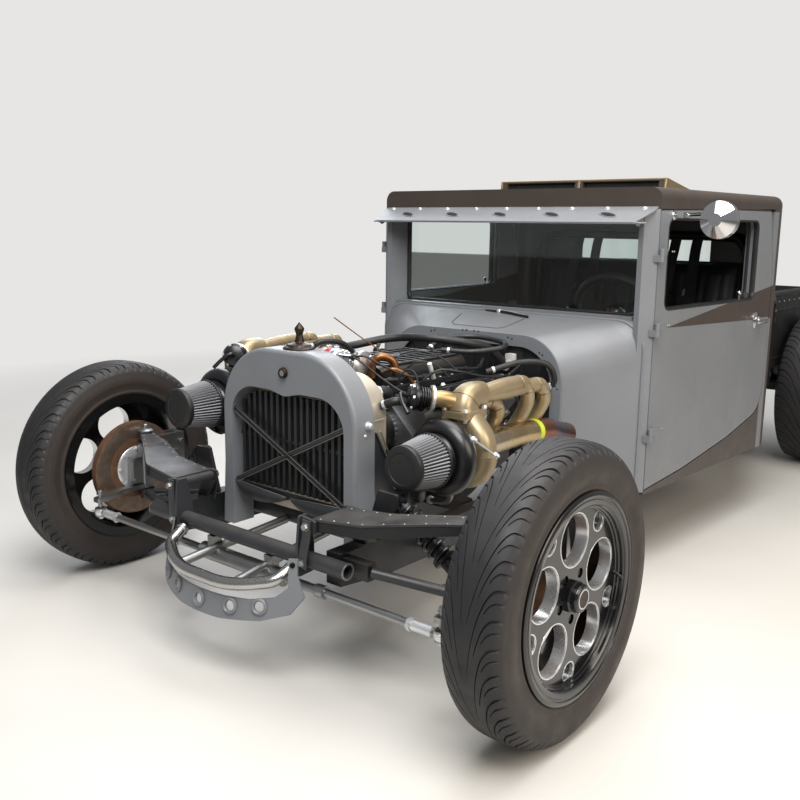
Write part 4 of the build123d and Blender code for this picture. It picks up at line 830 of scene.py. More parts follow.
FRONT_WHEEL = WheelSize((877.0, 0.0, 359.0), 359.0, 168.0, 130.0, 228.6, 140.0, 52.0)
REAR_WHEEL = WheelSize((652.0, 3240.0, 385.0), 385.0, 400.0, 350.0, 190.5, 356.0, 90.0, lead=0.95)


@dataclass
class Tyre:
    """A left tyre: a carcass turned about the axle whose crown carries curved grooves."""

    size: WheelSize
    pitches: int = 18
    bend: float = 2.2
    groove_mm: float = 5.0
    crown_drop: float = 13.0
    crown_rows: int = 41
    middle_land: float = 0.12
    short_land: float = 0.42
    thin_land: float = 0.66
    wall_inset: float = 3.7

    def section(self) -> tuple[np.ndarray, np.ndarray]:
        """Half section from the crown's middle round the shoulder to the bead.

        Returns:
            Places (across, radius) in millimetres, and each place's share of the half tread, which goes on
            past 1 below the shoulder.
        """
        s = self.size
        half, side = s.tread / 2, s.width / 2 - self.wall_inset
        share = np.linspace(0, 1, self.crown_rows // 2 + 1)
        crown = np.stack([share * half, s.radius - self.crown_drop * share**3.6], -1)
        low, flange = s.radius - self.crown_drop, s.bead + 21.0
        seat = s.rim_width / 2 - 0.3
        depth = low - flange
        wall = curve_through([(half, low), (half + 0.55 * (side - half), low - 0.12 * depth),
            (side - 0.6, low - 0.36 * depth), (side, low - 0.55 * depth),
            (side - 0.06 * depth, flange + 0.2 * depth), (seat + 4.5, flange + 5.0),
            (seat + 0.2, flange + 0.5)], 26)[1:]
        ridge = np.zeros(len(wall))
        for at, high in ((4, 0.9), (5, 0.9), (12, 0.8), (18, 1.3), (19, 1.3), (22, 0.8)):
            ridge[at] = high
        wall[:, 0] += ridge
        foot = np.array([(seat, s.bead + 0.3)])
        places = np.concatenate([crown, wall, foot])
        past = 1 + np.linspace(0.03, 1.0, len(wall) + 1)
        return places, np.concatenate([share, past])

    def surface(self) -> Surface:
        """The tyre's surface in car millimetres.

        A place at share s of the half tread is turned by lead * (1 - |s|) ** bend ahead, so the grid's
        columns run along the grooves. In each pitch three kinds of columns are lowered along the section's
        normal: one where |s| is above middle_land, a shorter one above short_land and thin ones above
        thin_land.
        """
        half, share = self.section()
        places = np.concatenate([half[:0:-1] * [-1, 1], half])
        share = np.concatenate([share[:0:-1], share])
        along = unit(np.gradient(places, axis=0))
        normal = np.stack([along[:, 1] * -1, along[:, 0]], -1)
        long_cut = [(0.0, 0), (0.012, 1), (0.062, 1), (0.076, 0), (0.15, 0), (0.22, 0), (0.232, 3),
            (0.256, 3), (0.268, 0), (0.34, 0), (0.42, 0)]
        short_cut = [(0.5, 0), (0.512, 2), (0.554, 2), (0.566, 0), (0.65, 0), (0.72, 0), (0.732, 3),
            (0.756, 3), (0.768, 0), (0.84, 0), (0.92, 0)]
        pitch = np.array(long_cut + short_cut)
        columns = np.arange(self.pitches)[:, None] + pitch[None, :, 0]
        kind = np.tile(pitch[:, 1], self.pitches)
        turn = columns.ravel() * 2 * pi / self.pitches
        lead = self.size.lead * np.clip(1 - share, 0, 1) ** self.bend
        over = share < 1.16
        deep = (kind == 1)[None, :] * (over & (share > self.middle_land))[:, None]
        deep = deep + (kind == 2)[None, :] * (over & (share > self.short_land))[:, None]
        deep = deep + 0.7 * (kind == 3)[None, :] * (over & (share > self.thin_land))[:, None]
        depth = self.groove_mm * deep * np.clip((1.22 - share) / 0.22, 0.3, 1)[:, None]
        across = places[:, :1] - normal[:, :1] * depth
        radius = places[:, 1:] - normal[:, 1:] * depth
        angle = turn[None, :] + lead[:, None]
        local = np.stack([radius * np.cos(angle), radius * np.sin(angle), across], -1)
        return aimed(Surface().sheet(local, True, True), self.size.axle, OUT, AHEAD)


@dataclass
class WheelTrim:
    """Bright machined walls of a left wheel's holes and pockets, its lug nuts, cap and stepped lip."""

    size: WheelSize
    face_thickness: float = 32.0
    hole_r: float = 62.0
    hole_pcr: float = 134.0
    pocket_r: float = 24.0
    pocket_pcr: float = 190.0
    lug_pcr: float = 57.0
    nut_across: float = 17.0
    nut_sunk: float = 16.0
    cap_face: float = 29.0
    spokes: int = 5

    @property
    def share(self) -> float:
        """Size of the wheel's drilling against the front wheel's."""
        return self.size.bead / FRONT_WHEEL.bead

    def around(self, surface: Surface, pcr: float, start: float = 0.5, count: int = 0) -> Surface:
        """Copies of a face-local surface about the axle, the first by start of a spoke past the top."""
        count = count or self.spokes
        whole = Surface()
        for spoke in range(count):
            turn = pi / 2 + (spoke + start) * 2 * pi / count
            _, y, z = self.size.axle
            whole.place(surface, (self.size.face_at, pcr * cos(turn) + y, z + pcr * sin(turn)), OUT, BACK)
        return whole

    def lined(self, radius: float, depth: float) -> Surface:
        """Lining of a hole: a turned wall with a chamfer and a thin bright lip on the face."""
        r, t = radius - 0.3, depth - 0.4
        profile = [(r + 3.4, 0.05), (r, -0.02), (r, -t), (r - 0.7, -t), (r - 0.7, -2.2), (r + 1.1, 0.35),
            (r + 3.2, 0.4), (r + 3.4, 0.05)]
        return lathe(profile, 56)

    def bright(self) -> Surface:
        """Linings of the five holes and the five pockets."""
        k = self.share
        holes = self.around(self.lined(k * self.hole_r, self.face_thickness), k * self.hole_pcr, 0.0)
        return holes.take(self.around(self.lined(k * self.pocket_r, 12.0), k * self.pocket_pcr))

    def nuts(self) -> Surface:
        """Lug nuts sunk in their holes."""
        nut = hex_bolt(self.nut_across, 12.0, False)
        return self.around(aimed(nut, (0, 0, -self.nut_sunk), UP), self.lug_pcr)

    def cap(self) -> Surface:
        """Eight-sided centre cap round the CAD cap, with a turned ring in its end."""
        ring = lathe([(33.5, -0.2), (40, -0.2), (40, 9), (36.5, 13), (33.5, 13), (33.5, -0.2)], 8)
        return self.around(ring, 0.0, count=1)

    def badge(self) -> Surface:
        """Plain dished disc on the cap's end."""
        f = self.cap_face
        disc = lathe([(0, f + 1.1), (17, f + 1.15), (21, f + 1.3), (21, f), (0, f)], 40)
        return self.around(disc, 0.0, count=1)

    def badge_ring(self) -> Surface:
        """Thin bright ring round the cap's disc."""
        f = self.cap_face
        ring = lathe([(21, f), (21, f + 1.4), (22, f + 1.6), (23.6, f + 1.3), (23.6, f), (21, f)], 40)
        return self.around(ring, 0.0, count=1)

    def steps(self) -> Surface:
        """Stepped rings between the face and the outer flange, inside the barrel."""
        r = self.size.bead - 10.2
        reach = self.size.rim_width / 2 + 6.0 - self.size.face_x
        profile = [(r, -1.0), (r - 11, -1.0), (r - 11, 2.5), (r - 8, 4.5), (r - 8, 0.4 * reach),
            (r - 4.5, 0.5 * reach), (r - 4.5, 0.82 * reach), (r - 1.0, reach - 0.6), (r, reach - 0.6),
            (r, -1.0)]
        rings = lathe(profile, 96)
        b, h = self.size.bead, reach
        lip = [(b + 20.8, h), (b + 20.4, h + 1.2), (b + 17, h + 3.4), (b + 11, h + 4.4), (b + 8.5, h + 3.4),
            (b + 7.5, h + 1.4), (b + 3, h + 0.9), (b + 1.5, h + 2.2), (b - 6, h + 1.6), (b - 9, h + 0.3),
            (b - 9.4, h - 0.4), (b + 20.8, h - 0.4), (b + 20.8, h)]
        return self.around(rings.take(lathe(lip[::-1], 96)), 0.0, count=1)

    def valve(self) -> Surface:
        """Valve stem that leans out of the barrel near the face."""
        stem = tube([(0, 0, -2), (0, -4, 8), (0, -8, 16)], 3.6, 10)
        stem.take(turned([(0, 0), (4.6, 0), (4.6, 9), (3.4, 11), (0, 11)], 12, (0, -8, 15), (0, -0.4, 0.9)))
        return self.around(stem, self.size.bead - 22, 0.75, 1)


@dataclass
class FrontBrake:
    """Swept faces, hat ring and bolts of a left front disc."""

    centre: tuple[float, float, float] = (780.0, 0.0, 359.0)
    half: float = 11.0
    radius: float = 160.0
    hat_r: float = 76.0

    def swept(self) -> Surface:
        """Bands that the pads polish on both faces of the disc."""
        whole = Surface()
        for side in (-1, 1):
            h = side * (self.half + 0.15)
            low = side * (self.half - 0.2)
            profile = [(102, low), (103, h), (self.radius - 4, h), (self.radius - 3, low), (102, low)]
            whole.take(turned(profile, 72, self.centre, OUT, BACK))
        return whole

    def ring(self) -> Surface:
        """Bright flange inside the disc with its bolts, seen from the car's middle."""
        low = -self.half
        profile = [(30, low + 0.2), (30, low - 7), (38, low - 9), (60, low - 5), (self.hat_r - 4, low - 3),
            (self.hat_r, low + 0.2), (30, low + 0.2)]
        whole = turned(profile, 56, self.centre, OUT, BACK)
        for bolt in range(8):
            turn = bolt * pi / 4
            at = (self.centre[0] + low - 3.5, 67 * cos(turn), self.centre[2] + 67 * sin(turn))
            whole.place(hex_bolt(10, 6), at, IN, BACK)
        return whole


@dataclass
class RunningGear(Assembly):
    """All four wheels' tyres and trim, and the front brakes' bright parts."""

    def build(self) -> None:
        """Make every piece on both sides."""
        for place, size in (("front", FRONT_WHEEL), ("rear", REAR_WHEEL)):
            for side in SIDES:
                self.wheel(place, side, size)

    def wheel(self, place: str, side: str, size: WheelSize) -> None:
        """One wheel's pieces, mirrored for the right side."""
        trim = WheelTrim(size)
        pieces = [
            ("tyre", Tyre(size).surface(), f"{place}_rubber", 40.0),
            ("holes", trim.bright(), "lining", 35.0),
            ("nuts", trim.nuts(), "black_nut", 30.0),
            ("cap", trim.cap(), "wheel_black", 30.0),
            ("badge", trim.badge(), "bronze_black", 30.0),
            ("badge_ring", trim.badge_ring(), "machined", 30.0),
            ("lip", trim.steps(), "wheel_black", 30.0),
            ("valve", trim.valve(), "rubber", 40.0),
        ]
        if place == "front":
            brake = FrontBrake()
            pieces += [("swept", brake.swept(), "swept_iron", 30.0), ("hat", brake.ring(), "machined", 30.0)]
        for name, surface, finish, smooth in pieces:
            piece = self.put_on(side, f"{place}_{{}}_{name}", surface, finish, f"wheel_{place}_{{}}", smooth)
            if name == "tyre":
                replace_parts(piece, f"{place}_tyre_{side}")


# Turbochargers and exhaust


class Side(Enum):
    """Which side of the car a part stands on, with its turbocharger's distance to the rear and height."""

    LEFT = (180.0, 565.0)
    RIGHT = (90.0, 625.0)


# Distance of both turbochargers' shafts from the car's middle
SHAFT_X = 414.0


def flange_plate(x: float, y: float, low: float, high: float) -> Surface:
    """Plate with round corners that joins the turbine's neck or the collector, between two heights."""
    return sweep([(x, y, low), (x, y, high)], rounded_rectangle(92, 112, 18, 5), up=BACK)


@dataclass
class SideParts(Assembly):
    """What a turbocharger and its exhaust share: the shaft, the turbine's place and its flange."""

    side: Side
    x: float = SHAFT_X
    turbine_back: float = 100.0
    flange: float = 110.3

    @property
    def y(self) -> float:
        """Distance of the compressor to the rear."""
        return self.side.value[0]

    @property
    def z(self) -> float:
        """Height of the shaft."""
        return self.side.value[1]

    @property
    def turbine_y(self) -> float:
        """Distance of the turbine's middle to the rear."""
        return self.y + self.turbine_back

    @property
    def flange_z(self) -> float:
        """Height of the flange on the turbine's neck."""
        return self.z + self.flange

    def piece(self, name: str, surface: Surface, finish: str, node: str = "", smooth: float = 35.0) -> None:
        """One piece on its side of the car, standing for a CAD node where one is named."""
        made = self.put_on(self.side.name.lower(), name, surface, finish, smooth=smooth)
        if node:
            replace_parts(made, node)


@dataclass
class Turbo(SideParts):
    """One turbocharger with its filter, built for the left and mirrored for the right."""

    ring_r: float = 76.0
    tube_r: float = 34.0
    bolt_ring: float = 75.0
    filter_seat: float = 44.3
    turbine_ring: float = 74.0
    turbine_tube: float = 36.0
    tube_end: float = 25.0
    filter_base: float = 75.0
    filter_tip: float = 60.0
    filter_l: float = 120.0
    pleats: int = 46

    def build(self) -> None:
        """Make all pieces, each standing for the turbochargers' or the filters' node."""
        for node, name, surface, finish in (
            ("turbochargers", "compressor", self.compressor(), "satin_black"),
            ("turbochargers", "centre_section", self.centre_section(), "cast_iron"),
            ("turbochargers", "turbine", self.turbine(), "gold_steel"),
            ("turbochargers", "clamps", self.clamps(), "machined"),
            ("turbochargers", "actuator", self.actuator(), "machined"),
            ("air_filters", "pleats", self.pleated(), "filter_cloth"),
            # The core is painted shade that darkens the pleats' valleys
            ("air_filters", "filter_core", self.filter_core(), "rubber"),
            ("air_filters", "filter_rubber", self.filter_rubber(), "rubber"),
        ):
            self.piece(f"turbo_{{}}_{name}", surface, finish, node, 32.0)

    def on_shaft(self, surface: Surface, along: float = 0.0, forward: bool = True) -> Surface:
        """A surface whose Z axis runs along the shaft, towards the front unless told otherwise."""
        way = AHEAD if forward else BACK
        return aimed(surface, (self.x, self.y + along, self.z), way, OUT)

    def scroll(self, ring_r: float, large: float, small: float, start: float = 0.0) -> Surface:
        """Snail-shaped casing about local Z.

        The tube's radius falls evenly from large to small in one turn while its outer edge's distance
        from the axis falls by the same amount, so the outside draws a spiral.
        """
        turn = start + np.linspace(0, 2 * pi, 73)
        share = (turn - start) / (2 * pi)
        tube_r = large + (small - large) * share
        outer = ring_r + large - 0.55 * (large - tube_r)
        a = np.linspace(0, 2 * pi, 25)[:-1]
        radius = (outer - tube_r)[:, None] + tube_r[:, None] * np.cos(a)
        height = tube_r[:, None] * np.sin(a)
        points = np.stack([radius * np.cos(turn)[:, None], radius * np.sin(turn)[:, None], height], -1)
        return Surface().sheet(points, False, True).close(points[0]).close(points[-1])

    def compressor(self) -> Surface:
        """Volute with its front cover, inlet lip, bolts' bosses and outlet towards the engine's foot."""
        whole = self.on_shaft(self.scroll(self.ring_r, self.tube_r, self.tube_end, -pi / 2))
        cover = [(0, -28), (72, -28), (81, -24), (81, 22), (74, 27), (66, 31), (61.5, 36), (60, 42.5),
            (55, 43), (52, 38), (40, 33), (24, 28), (0, 28)]
        whole.take(self.on_shaft(lathe(cover, 64)))
        outlet = tube([(self.x + 3, self.y, self.z - 76), (self.x - 52, self.y + 2, self.z - 79),
            (self.x - 92, self.y + 12, self.z - 96), (self.x - 112, self.y + 30, self.z - 140)], 28, 20, 24)
        whole.take(outlet)
        for at in self.cover_places(28):
            whole.take(turned([(0, -10), (8, -10), (8, 4), (0, 4)], 12, at, BACK))
        return whole

    def cover_places(self, along: float) -> Points:
        """Places of the compressor cover's eight bolts at a distance behind its middle."""
        turns = [bolt * pi / 4 + 0.3 for bolt in range(8)]
        return [(self.x + self.bolt_ring * cos(t), self.y + along, self.z + self.bolt_ring * sin(t))
            for t in turns]

    def centre_section(self) -> Surface:
        """Bearing housing: two discs, a waist and the oil pads."""
        profile = [(0, 28), (70, 28), (70, 34), (54, 37), (44, 42), (42, 55), (48, 61), (60, 65), (64, 71),
            (0, 71)]
        whole = self.on_shaft(lathe(profile, 48), forward=False)
        for up in (1, -1):
            pad = lathe([(0, 0), (15, 0), (15, 18), (0, 18)], 6)
            whole.place(pad, (self.x, self.y + 50, self.z + up * 38), (0, 0, up))
        return whole

    def turbine(self) -> Surface:
        """Scroll of the turbine, its end bell and the neck that rises to the collector's flange."""
        back = self.turbine_back
        whole = self.on_shaft(self.scroll(self.turbine_ring, self.turbine_tube, self.tube_end), back, False)
        bell = [(0, -26), (70, -26), (80, -16), (80, 14), (66, 28), (52, 34), (46, 38), (46, 40), (54, 42),
            (54, 47), (0, 47)]
        whole.take(self.on_shaft(lathe(bell, 56), back, False))
        y = self.turbine_y
        neck_path = np.array([(self.x + 73, y, self.z - 6), (self.x + 66, y, self.z + 40),
            (self.x + 34, y, self.z + 78), (self.x + 4, y, self.z + 101)], float)
        path = curve_through(neck_path, 16)
        neck = sweep(path, rounded_rectangle(60, 68, 26, 6), np.linspace(1.0, 1.14, 16), BACK)
        whole.take(neck)
        return whole.take(flange_plate(self.x, y, self.flange_z - 10.0, self.flange_z))

    def clamps(self) -> Surface:
        """V-band rings on both joints, the compressor cover's bolts and the filter's hose clamp."""
        band = [(0, -6), (4.5, -4.5), (5.5, 0), (4.5, 4.5), (0, 6), (-1.5, 0), (0, -6)]
        whole = Surface()
        for along, radius in ((68, 64), (31, 71), (self.turbine_back + 49, 52)):
            ring = [(radius + r, h) for r, h in band]
            whole.take(self.on_shaft(lathe(ring, 64), along, False))
            at = (self.x + (radius + 9) * cos(0.9), self.y + along, self.z + (radius + 9) * sin(0.9))
            whole.place(hex_bolt(9, 26), at, (sin(0.9), 0, -cos(0.9)))
        for at in self.cover_places(32):
            whole.place(hex_bolt(9, 6), at, BACK)
        for dx, dy in ((-36, -46), (36, -46), (-36, 46), (36, 46)):
            for rise, way in ((11, UP), (-11, DOWN)):
                whole.place(hex_bolt(12, 8), (self.x + dx, self.turbine_y + dy, self.flange_z + rise), way)
        near, far = self.filter_seat + 5, self.filter_seat + 17
        clamp = [(63, near), (64.5, near), (64.5, far), (63, far), (63, near)]
        whole.take(self.on_shaft(lathe(clamp, 64)))
        screw = lathe([(0, 0), (5.5, 0), (5.5, 4), (3, 4), (3, 22), (0, 22)], 10)
        return whole.place(screw, (self.x + 44, self.y - self.filter_seat - 11, self.z + 48), (0.7, 0, -0.7))

    def actuator(self) -> Surface:
        """Linkage rod beside the scroll with an eye at each end."""
        a, b = (self.x + 84, self.y + 24, self.z + 58), (self.x + 104, self.y + 106, self.z + 2)
        whole = tube([a, ((a[0] + b[0]) / 2 + 2, (a[1] + b[1]) / 2, (a[2] + b[2]) / 2), b], 3.2, 10)
        for at in (a, b):
            whole.take(turned([(0, -7), (8, -7), (10, -3), (10, 3), (8, 7), (0, 7)], 16, at, OUT))
            whole.place(hex_bolt(9, 5), (at[0] + 8, at[1], at[2]), OUT)
        return whole

    def pleated(self) -> Surface:
        """Pleated cone: its radius swings by 3.4 mm as a rounded zigzag round the axis."""
        base = self.filter_seat
        rows = np.linspace(0, 1, 9)
        profile = [(self.filter_base - 3 + (self.filter_tip - self.filter_base) * t,
            base + 12 + (self.filter_l - 14) * t) for t in rows]

        def fold(angle: np.ndarray, _: np.ndarray) -> np.ndarray:
            """Change of radius at an angle, the same at every height."""
            zigzag = np.abs((angle * self.pleats / (2 * pi)) % 1 - 0.5) * 4 - 1
            return 3.4 * np.sign(zigzag) * np.abs(zigzag) ** 0.7

        return self.on_shaft(lathe(profile, self.pleats * 6, fold))

    def filter_core(self) -> Surface:
        """Black cone just below the pleats' middle that shows through their valleys as painted shade."""
        near, far = self.filter_seat + 11, self.filter_seat + self.filter_l - 1
        r, t = self.filter_base - 3.5, self.filter_tip - 3.5
        return self.on_shaft(lathe([(0, near), (r, near), (t, far), (0, far)], 72))

    def filter_rubber(self) -> Surface:
        """Moulded base ring and end cap of the filter."""
        b, t, l = self.filter_base, self.filter_tip, self.filter_seat
        base = [(50, l), (62, l), (63, l + 6), (62.5, l + 7), (b + 1, l + 9), (b + 2.5, l + 13),
            (b + 1, l + 17), (b - 6, l + 18), (50, l + 18), (50, l)]
        end = l + self.filter_l
        cap = [(0, end - 8), (t - 1, end - 8), (t + 2.5, end - 6), (t + 3, end + 4), (t + 1, end + 9),
            (t - 6, end + 13), (t - 16, end + 13.6), (t - 18, end + 12), (0, end + 12)]
        return self.on_shaft(lathe(base, 72)).take(self.on_shaft(lathe(cap, 72)))


@dataclass
class Exhaust(SideParts):
    """Primaries, collector, wastegate and downpipe of one side."""

    port: tuple[float, float] = (258.0, 553.0)
    port_last: float = 660.0
    primary_r: float = 22.0
    pipe_r: float = 38.0
    bore_r: float = 36.0
    valve_way: tuple[float, float, float] = (-0.62, -0.76, 0.14)

    def build(self) -> None:
        """Make the pieces, each standing for the manifolds' or the downpipes' node."""
        for name, surface, finish in (
            ("primaries", self.primaries(), "gold_steel"),
            ("welds", self.welds(), "weld"),
            ("head_flange", self.head_flange(), "machined"),
            ("wastegate", self.wastegate(), "wastegate_steel"),
            ("wastegate_can", self.can(), "satin_black"),
            ("wastegate_bolts", self.can_bolts(), "machined"),
        ):
            self.piece(f"exhaust_{{}}_{name}", surface, finish, "exhaust_manifolds")
        self.piece("exhaust_{}_downpipe", self.downpipe(), "tinted_steel", "downpipes")
        if self.side is Side.LEFT:
            self.piece("exhaust_{}_pipe_band", self.band(), "marker_band")

    @property
    def valve_at(self) -> np.ndarray:
        """Middle of the wastegate's flange."""
        return np.array([self.x - 58, self.turbine_y - 78, self.flange_z + 42])

    def routes(self) -> list[np.ndarray]:
        """Smooth paths of the four primaries.

        Each leaves its port outwards and down, turns up beside the head and runs forward into the
        collector; the further to the rear it starts, the higher and wider it loops.
        """
        first = self.turbine_y + 90
        top = self.flange_z + 46
        paths = []
        for number in range(4):
            y = first + number * (self.port_last - first) / 3
            outer, level = number // 2, number % 2
            x_run = self.x + 22 - 36 * (1 - outer)
            z_run = top + (10 if outer else -16) - 18 * level
            back = y + 8 + 10 * outer
            points = [(self.port[0], y, self.port[1]), (self.port[0] + 44, y, self.port[1] - 26),
                (self.x - 60 + 20 * outer, back, self.port[1] + 16),
                (x_run - 8, back + 6, 0.5 * (z_run + self.port[1] + 36)), (x_run, back - 22, z_run - 10),
                (x_run, back - 66, z_run + 2),
                (x_run - 6, 0.6 * (self.turbine_y + 70) + 0.4 * (back - 66), z_run),
                (self.x + 12 * outer - 4, self.turbine_y + 40, top - 4)]
            paths.append(curve_through(points, 64))
        return paths

    def primaries(self) -> Surface:
        """The four tubes and the collector box on its flange."""
        whole = joined(sweep(path, circle(self.primary_r, 20)) for path in self.routes())
        y, z = self.turbine_y, self.flange_z
        whole.take(flange_plate(self.x, y, z + 0.5, z + 10))
        path = curve_through([(self.x, y - 4, z + 8), (self.x, y - 2, z + 22), (self.x, y + 8, z + 38),
            (self.x + 2, y + 32, z + 46), (self.x + 4, y + 70, z + 46)], 20)
        whole.take(sweep(path, rounded_rectangle(88, 78, 30, 6), np.linspace(1.0, 0.8, 20), OUT))
        seam = sweep(path[8:10] + (path[9] - path[8]) * 0.2, rounded_rectangle(89, 79, 31, 6),
            (0.945, 0.935), OUT)
        return whole.take(seam)

    def welds(self) -> Surface:
        """Bead of overlapping dimes at each joint in the primaries: a thin ring with 26 bulges."""
        whole = Surface()
        for path in self.routes():
            for at in (3, 19, 33, 44):
                way = path[at + 1] - path[at - 1]
                ring = [(self.primary_r - 0.5, -3.2), (self.primary_r + 1.0, -1.8),
                    (self.primary_r + 1.4, 0), (self.primary_r + 1.0, 1.8), (self.primary_r - 0.5, 3.2),
                    (self.primary_r - 0.5, -3.2)]
                bead = lathe(ring, 52, lambda angle, row: 0.35 * np.abs(np.sin(13 * angle)))
                whole.place(bead, path[at], way)
        return whole

    def head_flange(self) -> Surface:
        """Flange plate along the head's ports with a bolt between each two."""
        lean = sin(pi / 4)
        y0, y1 = self.turbine_y + 48, self.port_last + 42
        path = np.array([(self.port[0] + 3, y0, self.port[1] - 3), (self.port[0] + 3, y1, self.port[1] - 3)])
        whole = sweep(path, rounded_rectangle(10, 66, 4, 3) @ np.array([[lean, -lean], [lean, lean]]), up=UP)
        for bolt in range(5):
            y = y0 + 8 + bolt * (y1 - y0 - 16) / 4
            at = (self.port[0] + 10 + 18 * lean, y, self.port[1] - 10 + 18 * lean)
            whole.place(hex_bolt(11, 8), at, (1, 0, -1))
        return whole

    def wastegate(self) -> Surface:
        """Short bent neck with its round flange in front of the collector."""
        y, z = self.turbine_y, self.flange_z
        neck = [(self.x - 14, y - 14, z + 28), (self.x - 34, y - 46, z + 40), (self.x - 56, y - 74, z + 42)]
        whole = tube(neck, 24, 22)
        flange = lathe([(0, -6), (33, -6), (35, -3), (35, 3), (33, 6), (0, 6)], 40)
        return whole.place(flange, self.valve_at, self.valve_way)

    def can(self) -> Surface:
        """Wastegate's spring can with cooling fins and hose nipple."""
        profile = [(0, 4), (26, 4), (26, 12)]
        for at in (15, 22, 29):
            profile += [(22, at), (31, at + 1), (31, at + 4), (22, at + 5)]
        profile += [(22, 38), (36, 41), (38, 46), (38, 52), (35, 56), (30, 66), (16, 71), (0, 72)]
        whole = turned(profile, 44, self.valve_at, self.valve_way)
        nose = self.valve_at + np.array(self.valve_way) * 70
        return whole.take(tube([nose, nose + [-8, -18, 8], nose + [10, -36, -8], nose + [40, -46, -36]], 6,
            12, 18))

    def can_bolts(self) -> Surface:
        """Clamp at the neck's flange and bolts round the can's seam."""
        whole = lathe([(35, -5), (38.5, -4), (38.5, 4), (35, 5), (35, -5)], 44)
        for bolt in range(6):
            turn = bolt * pi / 3
            whole.place(hex_bolt(8, 5), (33 * cos(turn), 33 * sin(turn), 56), UP)
        return aimed(whole, self.valve_at, self.valve_way)

    def downpipe_path(self) -> np.ndarray:
        """Straight run to the rear, then one smooth bend down to the open tip."""
        z = self.z
        start = self.turbine_y + 47
        points = [(self.x, start, z), (self.x, start + 60, z), (self.x, 560, z), (self.x, 640, z - 6),
            (self.x, 720, z - (z - 530) * 0.32), (self.x, 800, z - (z - 514) * 0.68), (self.x, 867, 514)]
        return curve_through(points, 64)

    def downpipe(self) -> Surface:
        """Pipe that is open at its tip, where its bore shows, with its front flange."""
        path, out, bore = self.downpipe_path(), self.pipe_r, self.bore_r
        inner = sweep(path[36:], circle(bore, 32), caps=False)
        whole = sweep(path, circle(out, 32), caps=False)
        whole.add(np.concatenate(inner.points), np.concatenate(inner.quads)[:, ::-1])
        way = unit(path[-1] - path[-2])
        whole.take(turned([(bore, 0), (out, 0)], 32, path[-1], way))
        whole.take(turned([(0, 0), (bore, 0)], 32, path[36], way))
        return whole.take(turned([(0, 0), (52, 0), (52, 4.5), (out, 6), (out, 0)], 48, path[0], BACK))

    def band(self) -> Surface:
        """Coloured heat-marking band round the left pipe before its bend."""
        path = self.downpipe_path()
        near = path[(path[:, 1] > 640) & (path[:, 1] < 668)]
        return sweep(near, circle(self.pipe_r + 0.7, 40))


def build_turbos(frame: CarFrame, paints: dict[str, Material]) -> None:
    """Both turbochargers with their exhaust sides."""
    for side in Side:
        Turbo(frame, paints, side).build()
        Exhaust(frame, paints, side).build()


# Front suspension, nose and radiator


